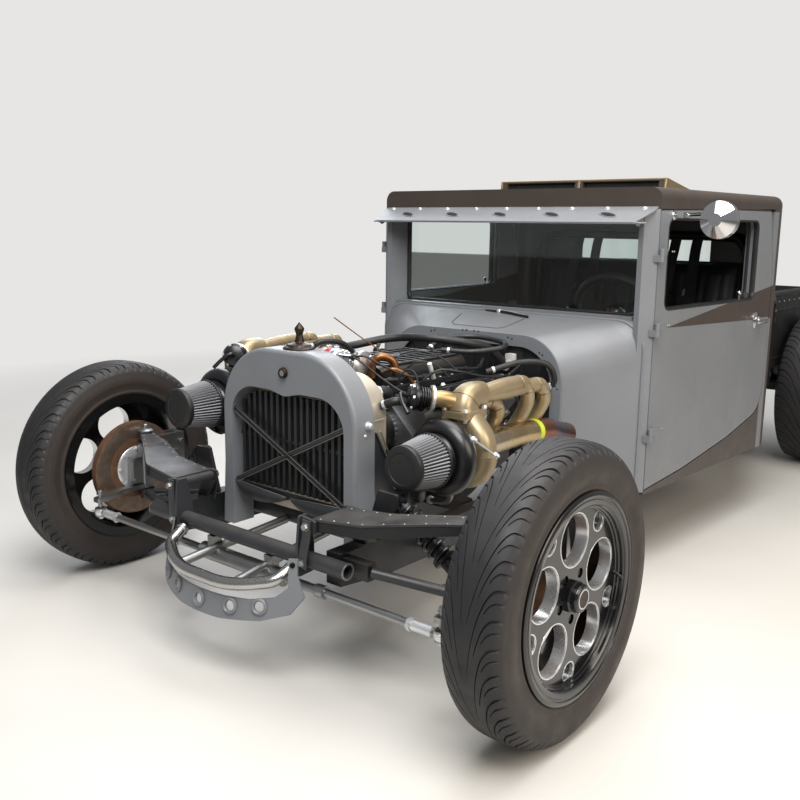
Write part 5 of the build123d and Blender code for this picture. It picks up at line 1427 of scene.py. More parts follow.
@dataclass
class FrontSuspension(Assembly):
    """Dressing of the front arms, dampers, rods and hangers, built on the left and mirrored."""

    arm_stations: tuple[tuple[float, float, float, float, float], ...] = (
        # across, middle to the rear, height, width, thickness of the boxed arm
        (286.0, -132.5, 434.0, 133.0, 30.0),
        (440.0, -126.0, 446.0, 120.0, 34.0),
        (600.0, -42.0, 461.0, 84.0, 30.0),
        (728.0, 19.0, 470.0, 46.0, 22.0),
    )
    damper_top: tuple[float, float, float] = (402.0, 10.0, 476.0)
    damper_foot: tuple[float, float, float] = (590.0, 16.0, 317.9)
    tube_y: float = -188.0
    tube_z: float = 335.0
    rod_z: float = 258.0
    arm_tip: tuple[float, float] = (700.0, -190.0)

    def build(self) -> None:
        """Make all pieces."""
        self.put("arm_plates", self.top_plates().both(), "arm_grey", smooth=25)
        # Painted shade: a dark sheet on the arms' front sides
        self.put("arm_faces", self.front_faces().both(), "black_metal", smooth=25)
        self.put("arm_rivets", self.edge_rivets().both(), "raw_steel")
        self.put("pivot_bolts", self.pivot_bolts().both(), "zinc")
        self.put("hanger_straps", self.straps().both(), "arm_grey")
        self.put_springs(("damper_bodies", "damper_coils"), self.dampers(), "coil_overs")
        self.put("tube_lips", self.tube_lips().both(), "raw_steel")
        self.put("rod_ends", self.rod_ends().both(), "machined", "steering_link")
        for side in SIDES:
            self.put_on(side, "knuckle_nuts_{}", self.knuckle_nuts(), "zinc", "knuckle_{}")
            self.put_on(side, "caliper_pins_{}", self.caliper_pins(), "zinc", "knuckle_{}")

    def between(self, share: np.ndarray) -> np.ndarray:
        """Arm stations read at shares of its length, on straight runs as the boxed arm has them."""
        table = np.asarray(self.arm_stations)
        knots = (table[:, 0] - table[0, 0]) / (table[-1, 0] - table[0, 0])
        return np.stack([np.interp(share, knots, table[:, i]) for i in range(5)], -1)

    def top_plates(self) -> Surface:
        """Flat plate on the arm's top with a rolled edge standing 3 mm proud of both sides."""
        s = self.between(np.linspace(0, 1, 25))
        top = s[:, 2] + s[:, 4] / 2
        half = s[:, 3] / 2 + 3.5
        profile = []
        for y, z in ((-1, -3), (-1, 1.6), (-0.985, 3.2), (-0.95, 3.6), (-0.9, 2.6), (0.9, 2.6), (0.95, 3.6),
                (0.985, 3.2), (1, 1.6), (1, -3), (0.97, -3), (0.97, 0.4), (-0.97, 0.4), (-0.97, -3)):
            profile.append(np.stack([s[:, 0], s[:, 1] + y * half, top + z], -1))
        return Surface().sheet(np.stack(profile, 1), False, True)

    def front_faces(self) -> Surface:
        """Dark sheet along the arm's front side: painted shade."""
        s = self.between(np.linspace(0.02, 0.98, 19))
        y = s[:, 1] - s[:, 3] / 2
        high, low = s[:, 2] + s[:, 4] / 2 - 3, s[:, 2] - s[:, 4] / 2 + 1
        rows = [(y - 0.4, high), (y - 1.8, high - 1.5), (y - 1.8, low + 1.5), (y - 0.4, low)]
        points = np.stack([np.stack([s[:, 0], a, b], -1) for a, b in rows], 1)
        return Surface().sheet(points, False, True)

    def edge_rivets(self) -> Surface:
        """Row of plug welds along the plate's front and rear edges."""
        s = self.between(np.linspace(0.05, 0.95, 10))
        whole = Surface()
        for side in (-1, 1):
            places = np.stack([s[:, 0], s[:, 1] + side * (s[:, 3] / 2 - 7), s[:, 2] + s[:, 4] / 2 + 2.6], -1)
            whole.take(rivets(places, UP, 3.0, 1.6))
        return whole

    def pivot_bolts(self) -> Surface:
        """Through bolts with washers at both ends of the pivot tube and on the ball joint."""
        whole = bolts([(282, -217, 434)], AHEAD, 17, 10)
        whole.take(bolts([(282, -51, 434)], BACK, 17, 10))
        whole.take(bolts([(270, -222, 335)], AHEAD, 15, 8))
        cup = lathe([(0, 18), (25.5, 18), (25.5, 22), (20, 27), (12, 29), (12, 33), (0, 33)], 28)
        whole.place(cup, (738, 20, 470), UP)
        return whole.take(bolts([(738, 20, 503)], UP, 16, 10))

    def straps(self) -> Surface:
        """Bent flat hangers from the pivots down to the open tube."""
        turned = sweep(curve_through([(282, -213, 450), (280, -215, 400), (273, -219, 356),
            (270, -219, 320)], 16), rounded_rectangle(30, 5, 2, 2), up=AHEAD)
        rear = sweep(curve_through([(286, -48, 448), (290, -46, 410), (300, -44, 375), (306, -44, 352)],
            14), rounded_rectangle(26, 5, 2, 2), up=BACK)
        return turned.take(rear)

    def dampers(self) -> tuple[Surface, Surface]:
        """Damper with its perches and eyes, and the coil round it."""
        foot, top = np.array(self.damper_foot), np.array(self.damper_top)
        length = float(np.linalg.norm(top - foot))
        profile = [(0, 14), (18, 16), (19, 40), (31, 42), (33, 50), (21, 52), (21, 128), (18, 132),
            (9, 134), (9, length - 44), (24, length - 42), (31, length - 34), (31, length - 26),
            (12, length - 22), (10, length - 14), (0, length - 14)]
        body = turned(profile, 28, foot, top - foot)
        for at, way, half in ((foot, (0, 146.9, -18.3), 13.0), (top, BACK, 16.0)):
            eye = lathe([(0, -half), (11, -half), (12, -half + 2), (17, -half + 3), (17, half - 3),
                (12, half - 2), (11, half), (0, half)], 24)
            body.place(eye, at, way)
        way = (top - foot) / length
        return body, spring(foot + way * 50, top - way * 36, 27.0, 5.4, 7.5)

    def tube_lips(self) -> Surface:
        """Ground rim at the open tube's ends."""
        lip = lathe([(17.0, -2), (17.0, 0.4), (18, 1.0), (21, 1.0), (22.4, 0), (22.4, -2), (17.0, -2)], 36)
        return aimed(lip, (402, self.tube_y, self.tube_z), OUT)

    def rod_ends(self) -> Surface:
        """Machined sleeve, jam nut, rod end and stud nut at the outer end of each tie rod."""
        x, y = self.arm_tip
        start = np.array([x - 26, y, self.rod_z])
        whole = turned([(0, 0), (11.6, 0), (13.5, 2), (13.5, 60), (11.6, 62), (0, 62)], 20, start, IN)
        whole.take(turned([(0, 0), (17, 0), (17, 11), (0, 11)], 6, start + [-62, 0, 0], IN))
        ball = [(0, -13), (13, -13), (19, -8), (21, 0), (19, 8), (13, 13), (0, 13)]
        whole.take(turned(ball, 24, (x, y, self.rod_z), UP))
        return whole.take(bolts([(x, y, self.rod_z - 14)], DOWN, 15, 9))

    def knuckle_nuts(self) -> Surface:
        """Castle nut on the steering arm and bolts on the upright."""
        x, y = self.arm_tip
        whole = bolts([(x, y, 318)], UP, 17, 12)
        return whole.take(bolts([(729, -36, 395), (729, -36, 325), (729, 22, 395), (729, 22, 325)], IN, 13,
            7))

    def caliper_pins(self) -> Surface:
        """Slide pins and bleeder of the caliper."""
        return bolts([(744, 105, 430), (744, 168, 430), (744, 136, 380)], IN, 14, 10)


@dataclass
class Nose(Assembly):
    """Shell, grille, radiator, cap, bumper and chin details."""

    shell_front: float = -22.0
    grille_half: float = 231.0
    cap_seat: float = 840.3
    chin_bow: tuple[float, float, float, float] = (430.6, 330.0, 114.5, 0.2)
    brace_low: float = 418.0
    brace_high: float = 645.0
    badge_z: float = 777.0
    shell_side: float = 272.5
    chin_holes: tuple[float, ...] = (-190.0, -110.0, 0.0, 110.0, 190.0)

    def build(self) -> None:
        """Make all pieces."""
        self.put("grille_braces", self.braces(), "black_metal")
        # Painted highlights: bright strips along the grille braces' edges
        self.put("brace_edges", self.brace_edges(), "raw_steel")
        self.put("valance_blades", self.blades(), "arm_grey")
        # Painted highlights: bright lines along the valance blades' upper edges
        self.put("valance_edges", self.blade_edges(), "raw_steel")
        self.put("shell_bolts", self.shell_bolts().both(), "machined")
        # The stay's two bright rods are painted highlights; the bolt at their foot is real
        self.put("stay_edges", self.stay_edges().both(), "raw_steel")
        self.put("chin_rims", self.chin_rims(), "body_paint")
        self.put("chin_bolts", self.chin_bolts().both(), "black_nut")
        self.put("badge_ring", self.badge(), "bronze_black")
        self.put("radiator_tanks", self.tanks().both(), "tank_aluminium")
        self.put("radiator_fins", self.fins(), "core_black")
        self.put("cap_base", self.cap_base(), "bronze_black")
        self.put("tube_welds", self.bumper_welds().both(), "raw_steel")
        self.put("lower_stays", self.lower_stays().both(), "zinc")

    def brace_ends(self) -> list[tuple[np.ndarray, np.ndarray]]:
        """Both bars' ends; the first runs from the car's upper right to its lower left."""
        y = self.shell_front + 8
        low, high, reach = self.brace_low + 4, self.brace_high, self.grille_half - 5
        return [(np.array([-reach, y, high]), np.array([reach, y, low])),
            (np.array([reach, y + 5.5, high]), np.array([-reach, y + 5.5, low]))]

    def braces(self) -> Surface:
        """Two flat bars crossed in front of the grille with a bolt where they meet."""
        whole = joined(bar([a, b], 15, 5, BACK, 1.0) for a, b in self.brace_ends())
        a, b = self.brace_ends()[0]
        return whole.take(bolts([(a + b) / 2 + [0, -3, 0]], AHEAD, 10, 5))

    def brace_edges(self) -> Surface:
        """Bright lines on the bars' edges: painted highlights."""
        whole = Surface()
        for a, b in self.brace_ends():
            way = unit(b - a)
            across = np.cross(way, BACK)
            for side in (-1, 1):
                shift = across * side * 7.0 + np.array([0, -2.6, 0])
                whole.take(bar([a + shift + way * 6, b + shift - way * 6], 1.6, 0.9, BACK, 0.3))
        return whole

    def blade_outline(self, share: np.ndarray) -> tuple[np.ndarray, np.ndarray]:
        """Upper and lower edge heights of one blade over its length, rounded at both ends."""
        top = 420 - 14 * share + 6 * np.sin(pi * share)
        belly = 44 * np.sin(pi * np.clip(share, 0, 1) ** 0.8) ** 0.55
        return top, top - np.maximum(belly, 0.5)

    def blade_across(self, sign: int, share: np.ndarray) -> np.ndarray:
        """Places across the car over one blade's length, from its outer end to the middle."""
        return sign * (self.grille_half - 3 - (self.grille_half - 11) * share)

    def blades(self) -> Surface:
        """Two leaf-shaped sheets below the grille, bowed forwards by a half sine of 14 mm."""
        share = np.linspace(0.0, 1.0, 25)
        whole = Surface()
        for sign in (-1, 1):
            x = self.blade_across(sign, share)
            top, low = self.blade_outline(share)
            bow = self.shell_front + 12 - 14 * np.sin(pi * share)
            front = np.stack([np.stack([x, bow - 5 * np.sin(pi * t), top + (low - top) * t], -1)
                for t in np.linspace(0, 1, 7)])
            back = front[::-1] + [0, 2.0, 0]
            points = np.concatenate([front, back])
            whole.sheet(points, True).close(points[:, 0]).close(points[:, -1])
        return whole

    def blade_edges(self) -> Surface:
        """Bright line along each blade's upper edge: a painted highlight."""
        share = np.linspace(0.02, 0.98, 21)
        top, _ = self.blade_outline(share)
        whole = Surface()
        for sign in (-1, 1):
            x = self.blade_across(sign, share)
            path = np.stack([x, self.shell_front + 11.4 - 14 * np.sin(pi * share), top], -1)
            whole.take(sweep(path, circle(1.1, 6), up=BACK))
        return whole

    def shell_bolts(self) -> Surface:
        """Round head and its washer on the shell's side, with a smaller one above."""
        knob = lathe([(0, 0), (13, 0), (13, 3), (9, 5), (9, 12), (7, 15), (0, 15.5)], 20)
        whole = aimed(knob, (self.shell_side, 30, 655), OUT)
        return whole.place(dome(6, 4, 12), (self.shell_side, 20, 628), OUT)

    def stay_edges(self) -> Surface:
        """Two thin bright rods along the stay's slope, painted highlights on its edges, with the washer bolt
        at their foot.
        """
        whole = Surface()
        for shift in (0.0, 16.0):
            a, b = np.array([273, 66 + shift, 632.0]), np.array([273, 152 + shift * 0.6, 480.0])
            whole.take(sweep([a, b], circle(2.2, 8)))
        knob = lathe([(0, 0), (14, 0), (14, 3), (8, 4), (8, 9), (0, 10)], 20)
        return whole.place(knob, (266.5, 158, 462), OUT)

    def chin_places(self) -> tuple[np.ndarray, np.ndarray]:
        """Centres of the chin's round holes on its bowed sheet and the outward direction at each."""
        x = np.array(self.chin_holes)
        return self.on_chin(x, 203 + 0.0004 * x * x)

    def on_chin(self, x: np.ndarray, z: np.ndarray) -> tuple[np.ndarray, np.ndarray]:
        """Places on the chin's cone and its normals; its radius grows by the flare for each mm down."""
        bow, level, centre, flare = self.chin_bow
        radius = bow + (level - z) * flare
        depth = np.sqrt(radius**2 - x**2)
        ways = np.stack([x / radius, -depth / radius, np.full_like(x, flare)], -1)
        return np.stack([x, centre - depth, z], -1), ways

    def chin_rims(self) -> Surface:
        """Flared lip pressed round each hole of the chin."""
        places, ways = self.chin_places()
        lip = lathe([(13.2, 0), (14.2, 4.5), (17, 7.0), (20, 5.8), (22.5, 3.9), (22.5, 1), (15.2, 1),
            (15.0, -3), (13.2, -3), (13.2, 0)], 28)
        return joined(aimed(lip, place, way) for place, way in zip(places, ways))

    def chin_bolts(self) -> Surface:
        """Bolt through each tab of the chin."""
        places, ways = self.on_chin(np.array([251.0]), np.array([328.0]))
        return bolts(places, ways[0], 11, 5)

    def badge(self) -> Surface:
        """Plain turned ring on the shell's round boss."""
        ring = lathe([(9, 0), (15.8, 0), (15.8, 5.5), (14, 9.6), (11.5, 9.6), (10, 8.9), (9, 8.9), (9, 0)],
            40)
        return aimed(ring, (0, self.shell_front - 0.5, self.badge_z), AHEAD)

    def tanks(self) -> Surface:
        """Folded seam, corner bead and hose neck on the radiator's side tank."""
        whole = bar([(263, 62, 346), (263, 62, 668)], 3, 5, BACK, 1.0)
        whole.take(bar([(263, 114, 346), (263, 114, 668)], 3, 5, BACK, 1.0))
        for z in (380, 520, 660):
            whole.take(bar([(262.5, 64, z), (262.5, 112, z)], 5, 2.4, OUT, 1.0))
        neck = lathe([(0, 0), (24, 0), (24, 16), (26, 18), (26, 22), (20, 22), (20, 30), (0, 30)], 28)
        return whole.place(neck, (200, 118, 720), BACK)

    def fins(self) -> Surface:
        """Louvred core on the radiator's back: 52 ridges of 2.5 mm between the tanks."""
        x = np.linspace(-196, 196, 52 * 4 + 1)
        depth = np.where(np.arange(len(x)) % 4 < 2, 121.2, 118.7)
        z = np.array([372.0, 700.0])
        front = np.stack([np.stack([x, depth, np.full_like(x, h)], -1) for h in z])
        whole = Surface().add(front, grid(2, len(x))[:, ::-1])
        back = front.copy()
        back[..., 1] = 118.2
        whole.add(back, grid(2, len(x)))
        for row in (0, 1):
            whole.add(np.concatenate([front[row], back[row]]), grid(2, len(x)))
        for column in (0, -1):
            edge = np.stack([front[:, column], back[:, column]])
            whole.add(edge, grid(2, 2))
        for z0 in (450, 545, 640):
            whole.take(bar([(-200, 122, z0), (200, 122, z0)], 6, 3, BACK, 1.0))
        return whole

    def cap_base(self) -> Surface:
        """Dark stepped skirt round the cap with six shallow flutes."""
        flutes = lathe([(30.2, 1), (47, 1), (48, 3), (44, 6), (38, 8), (36, 12), (33, 14), (30.2, 14),
            (30.2, 1)], 72, lambda angle, row: -1.1 * (np.cos(6 * angle) > 0.8) * (row > 4))
        return aimed(flutes, (0, self.shell_front + 62, self.cap_seat), UP)

    def bumper_welds(self) -> Surface:
        """Weld ring where the bumper meets a hanger plate."""
        ring = lathe([(16.8, -5), (18.6, -3), (19.2, 0), (18.6, 3), (16.8, 5), (16.8, -5)], 30,
            lambda angle, row: 0.5 * np.abs(np.sin(11 * angle)))
        return aimed(ring, (229.6, -221, 310.9), (-0.18, -0.87, -0.45))

    def lower_stays(self) -> Surface:
        """Plated tubes that run back from the bumper to the frame's first cross tube."""
        return tube([(112, -320, 266), (104, -200, 280), (92, -40, 296), (88, 62, 306)], 13, 16, 24)


# Engine bay


@dataclass
class EngineBay(Assembly):
    """Intake, rails, coils, covers, belt drive, hoses and lines of the V8."""

    crank_z: float = 400.0
    cover_reach: float = 407.0
    ys: tuple[float, ...] = (292.0, 408.0, 524.0, 640.0)
    plenum_top: float = 772.0
    throttle_at: tuple[float, float, float] = (0.0, 232.0, 775.0)
    belt_y: float = 157.0
    pulley_face: float = 134.5

    def build(self) -> None:
        """Make all pieces."""
        self.put("intake_ribs", self.ribs(), "engine_black", smooth=25)
        self.put("intake_bolts", self.intake_bolts(), "machined")
        self.put("fuel_rails", self.rails().both(), "black_metal")
        self.put("injectors", self.injectors().both(), "plug_grey")
        self.put("coil_packs", self.coils().both(), "black_metal")
        self.put("coil_bolts", self.coil_bolts().both(), "machined")
        self.put("plug_wires", self.plug_wires().both(), "rubber")
        self.put("cover_fins", self.cover_fins().both(), "engine_black", smooth=25)
        self.put("cover_bolts", self.cover_bolts().both(), "machined")
        self.put("throttle_body", self.throttle(), "throttle_silver")
        self.put("throttle_coupler", self.coupler(), "red_silicone")
        self.put("throttle_clamps", self.clamps(), "machined")
        self.put("charge_pipe", self.charge_pipe(), "black_metal")
        self.put("hoses", self.hoses(), "rubber")
        self.put("hose_clamps", self.hose_clamps(), "machined")
        self.put("copper_elbow", self.elbow(), "copper")
        self.put("looms", self.looms(), "rubber")
        self.put("oil_lines", self.oil_lines(), "braid")
        self.put("line_fittings", self.fittings(), "machined")
        self.put("dipstick", self.dipstick(), "copper")
        self.put("body_struts", self.struts().both(), "machined")
        self.put("connector", self.connector(), "plug_white")
        self.put("belt", self.belt(), "rubber", smooth=20)
        self.put("pulley_faces", self.pulleys(), "machined")
        self.put("alternator", self.alternator(), "cast_aluminium")
        self.put("firewall_ribs", self.firewall_ribs(), "bay_black")
        self.put("flange_screws", self.flange_screws().both(), "black_nut")

    def on_bank(self, reach: float, across: float, y: float) -> np.ndarray:
        """Place on the left bank by its reach from the crank and its distance across, towards the outside."""
        k = sin(pi / 4)
        return np.array([k * (reach + across), y, self.crank_z + k * (reach - across)])

    def ribs(self) -> Surface:
        """Cross ribs and two long edge rails on the plenum, with the seam round its waist."""
        whole = joined(bar([(-104, y, self.plenum_top + 2), (104, y, self.plenum_top + 2)], 10, 7, UP,
            2.0) for y in np.linspace(300, 640, 10))
        for x in (-108, 108):
            whole.take(bar([(x, 290, self.plenum_top + 1), (x, 650, self.plenum_top + 1)], 12, 9, UP, 3.0))
        seam = np.array([(-1, 256), (1, 256), (1, 684), (-1, 684)], float)
        for a, b in zip(seam, np.roll(seam, -1, 0)):
            ends = [(a[0] * 133, a[1], 706), (b[0] * 133, b[1], 706)]
            whole.take(bar(ends, 10, 9, UP, 2.0))
        return whole.take(bar([(0, 300, self.plenum_top + 4), (0, 640, self.plenum_top + 4)], 46, 8, UP, 3.0))

    def intake_bolts(self) -> Surface:
        """Bolts round the plenum's seam."""
        places = [(sx * 134, y, 711) for sx in (-1, 1) for y in np.linspace(275, 665, 7)]
        return bolts(places, UP, 9, 6)

    def rails(self) -> Surface:
        """Square fuel rail with end fittings and stand-offs."""
        whole = bar([(154, 250, 708), (154, 690, 708)], 21, 21, UP, 4.0)
        for y, way in ((250, -1), (690, 1)):
            whole.take(turned([(0, 0), (12, 0), (12, 10), (8, 12), (8, 22), (0, 22)], 6, (154, y, 708),
                (0, way, 0)))
        for y in (330, 600):
            whole.take(bar([(136, y, 690), (150, y, 700)], 16, 5, BACK, 1.0))
        return whole

    def injectors(self) -> Surface:
        """One injector with its plug for each cylinder, leaning in to the intake's foot."""
        whole = Surface()
        shape = lathe([(0, 0), (6, 0), (6, 14), (9, 16), (9, 40), (7, 42), (7, 56), (0, 56)], 16)
        for y in self.ys:
            whole.place(shape, (126, y - 12, 648), (28, 0, 52))
            whole.take(bar([(146, y - 12, 684), (168, y - 12, 690)], 15, 13, BACK, 3.0))
        return whole

    def coils(self) -> Surface:
        """Coil pack with its terminal and mounting rail on the cover."""
        whole = Surface()
        normal, across = np.array([1, 0, 1.0]), np.array([1, 0, -1.0])
        for y in self.ys:
            foot = self.on_bank(self.cover_reach + 9, 4, y)
            path = np.array([foot, foot + unit(normal) * 26])
            whole.take(sweep(path, rounded_rectangle(72, 46, 6, 3), up=across))
            whole.take(sweep(path + unit(normal) * 20, rounded_rectangle(40, 26, 6, 3), (1.0, 0.85), across))
            snout = turned([(0, 0), (13, 0), (13, 14), (10, 16), (10, 26), (0, 26)], 16,
                self.on_bank(self.cover_reach + 22, 26, y + 14), across)
            whole.take(snout)
        rail = [self.on_bank(self.cover_reach + 3, 2, y) for y in (246, 694)]
        return whole.take(bar(rail, 30, 9, (1, 0, 1), 2.0))

    def coil_bolts(self) -> Surface:
        """Two bolts in each coil pack's feet."""
        places = [self.on_bank(self.cover_reach + 36, 14, y + dy) for y in self.ys for dy in (-29, 29)]
        return bolts(places, (1, 0, 1), 8, 5)

    def plug_wires(self) -> Surface:
        """Thick wire from each coil, over the cover's edge and down to its plug's boot."""
        whole = Surface()
        for y in self.ys:
            a = self.on_bank(self.cover_reach + 22, 48, y + 14)
            b = self.on_bank(self.cover_reach + 8, 78, y + 22)
            c = self.on_bank(350, 86, y + 30)
            d = self.on_bank(300, 78, y + 30)
            whole.take(tube([a, b, c, d], 4.2, 10, 20))
            whole.take(turned([(0, 0), (9, 0), (9, 30), (6, 34), (0, 34)], 14, d, c - d))
        return whole

    def cover_fins(self) -> Surface:
        """Long raised ribs on the cover's inner slope."""
        whole = Surface()
        for across in (-42, -34, -26):
            ends = [self.on_bank(self.cover_reach + 0.5, across, y) for y in (240, 700)]
            whole.take(bar(ends, 4, 6, (1, 0, 1), 1.2))
        return whole

    def cover_bolts(self) -> Surface:
        """Bolts along the cover's lower flange on both sides."""
        whole = Surface()
        for side in (-1, 1):
            places = [self.on_bank(340, side * 62, y) for y in np.linspace(246, 694, 6)]
            whole.take(bolts(places, (1, 0, 1), 9, 7))
        return whole

    def throttle(self) -> Surface:
        """Cast elbow across the car on top of the throttle's bore, ribbed round and flanged at both ends."""
        profile = [(0, -34), (44, -34), (46, -32), (46, -24), (41, -20)]
        for at in (-6, 12, 30, 48):
            profile += [(38, at - 7), (43, at - 4), (43, at + 4), (38, at + 7)]
        profile += [(40, 62), (46, 66), (46, 76), (30, 84), (0, 86)]
        whole = turned(profile, 48, self.throttle_at, OUT)
        neck = sweep([(24, 240, 716), (24, 238, 760)], rounded_rectangle(92, 74, 22, 5), up=BACK)
        whole.take(neck)
        _, y, z = self.throttle_at
        for turn in np.linspace(0, 2 * pi, 4, endpoint=False) + pi / 4:
            whole.place(hex_bolt(8, 6), (78, y + 39 * cos(turn), z + 39 * sin(turn)), OUT)
        box = sweep([(36, 196, 790), (36, 178, 790)], rounded_rectangle(58, 44, 8, 3), up=UP)
        return whole.take(box)

    def coupler(self) -> Surface:
        """Red hose joints: one with a raised middle at the throttle, one low on the charge pipe."""
        ring = [(39, 34), (42.5, 34), (42.5, 44), (45, 50), (45, 62), (42.5, 68), (42.5, 78), (39, 78),
            (39, 34)]
        whole = turned(ring, 44, self.throttle_at, IN)
        low = turned([(36, 0), (39.5, 0), (39.5, 40), (36, 40), (36, 0)], 40, (-242, 184, 672),
            (-0.25, -0.3, -0.92))
        return whole.take(low)

    def clamps(self) -> Surface:
        """Band clamps on the red joints."""
        band = [(42, -5), (44.2, -5), (44.2, 5), (42, 5), (42, -5)]
        _, y, z = self.throttle_at
        whole = Surface()
        for x in (-40, -72):
            whole.take(turned(band, 44, (x, y, z), IN))
            whole.place(hex_bolt(8, 18, False), (x, y + 12, z + 47), AHEAD)
        return whole

    def charge_pipe(self) -> Surface:
        """Pipe from the throttle, forward and down beside the radiator towards the right compressor."""
        points = [(-70, 232, 775), (-128, 230, 772), (-196, 214, 742), (-240, 188, 680), (-262, 160, 590),
            (-268, 150, 500), (-262, 170, 430)]
        return tube(points, 37, 28, 60)

    def hose_routes(self) -> list[tuple[float, list]]:
        """Radius and path of each rubber hose; both ends of each are held."""
        return [
            (14.0, [(-170, 200, 735), (-206, 320, 776), (-209, 500, 789), (-130, 612, 811), (1, 650, 818),
                (90, 716, 806), (129, 800, 786), (146, 862, 742), (150, 904, 700)]),
            (8.0, [(22, 60, 845), (48, 92, 862), (64, 150, 852), (62, 212, 812)]),
            (9.0, [(-40, 690, 770), (-20, 760, 806), (60, 838, 812), (170, 838, 802), (214, 770, 794),
                (150, 690, 782), (60, 640, 784)]),
            (10.0, [(205, 690, 720), (272, 790, 748), (334, 856, 742), (352, 884, 690), (322, 900, 640)]),
            (21.0, [(200, 140, 720), (204, 182, 716), (178, 206, 690), (120, 214, 640), (90, 206, 596)]),
            (22.0, [(-214, 122, 420), (-210, 150, 400), (-150, 176, 392), (-96, 190, 430)]),
            (12.0, [(262, 100, 700), (300, 118, 715), (316, 170, 700), (300, 236, 676)]),
            (7.0, [(-330, 900, 640), (-300, 780, 730), (-236, 640, 752), (-150, 560, 790)]),
        ]

    def hoses(self) -> Surface:
        """All rubber hoses."""
        return joined(tube(points, radius, 16, 12 * len(points)) for radius, points in self.hose_routes())

    def hose_clamps(self) -> Surface:
        """Bright band near each hose's ends."""
        whole = Surface()
        for radius, points in self.hose_routes():
            path = curve_through(points, 12 * len(points))
            for at in (3, -4):
                ring = [(radius - 0.5, -4), (radius + 1.4, -4), (radius + 1.4, 4), (radius - 0.5, 4),
                    (radius - 0.5, -4)]
                whole.take(turned(ring, 24, path[at], path[at + 1] - path[at - 1]))
        return whole

    def elbow(self) -> Surface:
        """Bare copper pipe bent over beside the throttle."""
        whole = tube([(96, 246, 742), (100, 246, 786), (118, 262, 806), (140, 290, 792), (146, 300, 750)],
            12, 18, 36)
        return whole.take(tube([(132, 250, 760), (160, 268, 772), (182, 300, 756), (190, 330, 724)], 6, 12,
            20))

    def looms(self) -> Surface:
        """Bundles of wires with taped knots over the rails and round the throttle."""
        routes = [
            (5.0, [(150, 236, 742), (176, 300, 742), (172, 420, 736), (176, 560, 742), (170, 690, 730),
                (120, 800, 745)]),
            (5.0, [(-150, 236, 742), (-176, 300, 744), (-172, 420, 738), (-176, 560, 742), (-160, 700, 736),
                (-60, 860, 760)]),
            (3.2, [(60, 190, 800), (104, 202, 812), (150, 240, 782), (196, 300, 752), (214, 380, 742)]),
            (3.2, [(40, 180, 808), (96, 184, 802), (170, 214, 748), (232, 232, 716), (268, 262, 716)]),
            (2.6, [(150, 330, 760), (190, 350, 790), (232, 386, 778), (262, 410, 742)]),
            (2.6, [(60, 420, 792), (120, 440, 806), (180, 470, 790), (238, 500, 742)]),
            (3.6, [(226, 330, 740), (262, 360, 770), (300, 420, 762), (316, 520, 738), (318, 640, 728),
                (280, 780, 742)]),
            (2.4, [(190, 250, 742), (216, 262, 776), (250, 262, 768), (274, 250, 720)]),
        ]
        whole = joined(tube(points, radius, 8, 10 * len(points)) for radius, points in routes)
        path = curve_through(routes[0][1], 60)
        for at in range(4, 58, 9):
            whole.take(turned([(0, -9), (7, -9), (7.4, 0), (7, 9), (0, 9)], 10, path[at],
                path[at + 1] - path[at]))
        return whole

    def line_routes(self) -> list[list]:
        """Feed and drain of both turbochargers' bearings."""
        left, right = Side.LEFT.value, Side.RIGHT.value
        routes = []
        for sign, (y, z) in ((1, left), (-1, right)):
            routes.append([(sign * SHAFT_X, y + 50, z + 56), (sign * 396, y + 58, z + 88),
                (sign * 352, y + 110, z + 96), (sign * 300, y + 170, 690), (sign * 240, y + 230, 716)])
            routes.append([(sign * SHAFT_X, y + 50, z - 56), (sign * 404, y + 62, z - 108),
                (sign * 352, y + 110, 400), (sign * 250, y + 160, 372)])
        return routes

    def oil_lines(self) -> Surface:
        """Braided lines on the routes, the drain thicker than the feed."""
        return joined(tube(points, 9.0 if number % 2 else 5.5, 12, 40) for number,
            points in enumerate(self.line_routes()))

    def fittings(self) -> Surface:
        """Swivel nut at both ends of each line."""
        whole = Surface()
        for number, points in enumerate(self.line_routes()):
            path = curve_through(points, 40)
            r = 13.0 if number % 2 else 9.0
            for at, way in ((0, path[1] - path[0]), (-1, path[-2] - path[-1])):
                shape = lathe([(0, 0), (r, 0), (r, 12), (0.8 * r, 14), (0.8 * r, 24), (0, 24)], 6)
                whole.place(shape, path[at], way)
        return whole

    def dipstick(self) -> Surface:
        """Long thin stick that stands up out of the engine, slightly bowed."""
        return tube([(60, 452, 742), (12, 408, 788), (-52, 352, 846), (-112, 300, 904)], 1.9, 8, 30)

    def struts(self) -> Surface:
        """Bright rod from the frame up to the firewall's corner with threaded ends."""
        a, b = np.array([376.0, 690, 600]), np.array([330.0, 898, 664])
        whole = tube([a, (a + b) / 2, b], 9.5, 18, 6)
        for at, way in ((a, b - a), (b, a - b)):
            whole.take(turned([(0, -8), (13, -8), (13, 10), (11, 12), (11, 26), (0, 26)], 8, at, way))
        return whole

    def connector(self) -> Surface:
        """Square plug clipped to the firewall."""
        whole = sweep([(171, 880, 741), (171, 903, 741)], rounded_rectangle(32, 34, 4, 3), up=UP)
        whole.take(sweep([(171, 874, 730), (171, 882, 730)], rounded_rectangle(20, 10, 3, 2), up=UP))
        return whole.take(tube([(232, 372, 742), (238, 352, 768), (240, 340, 790)], 7, 10, 10))

    def drive(self) -> list[tuple[float, float, float]]:
        """Each pulley's place across, height and radius, the crank's first."""
        return [(0.0, self.crank_z, 82.0), (165.0, 600.0, 62.0), (-150.0, 600.0, 40.0)]

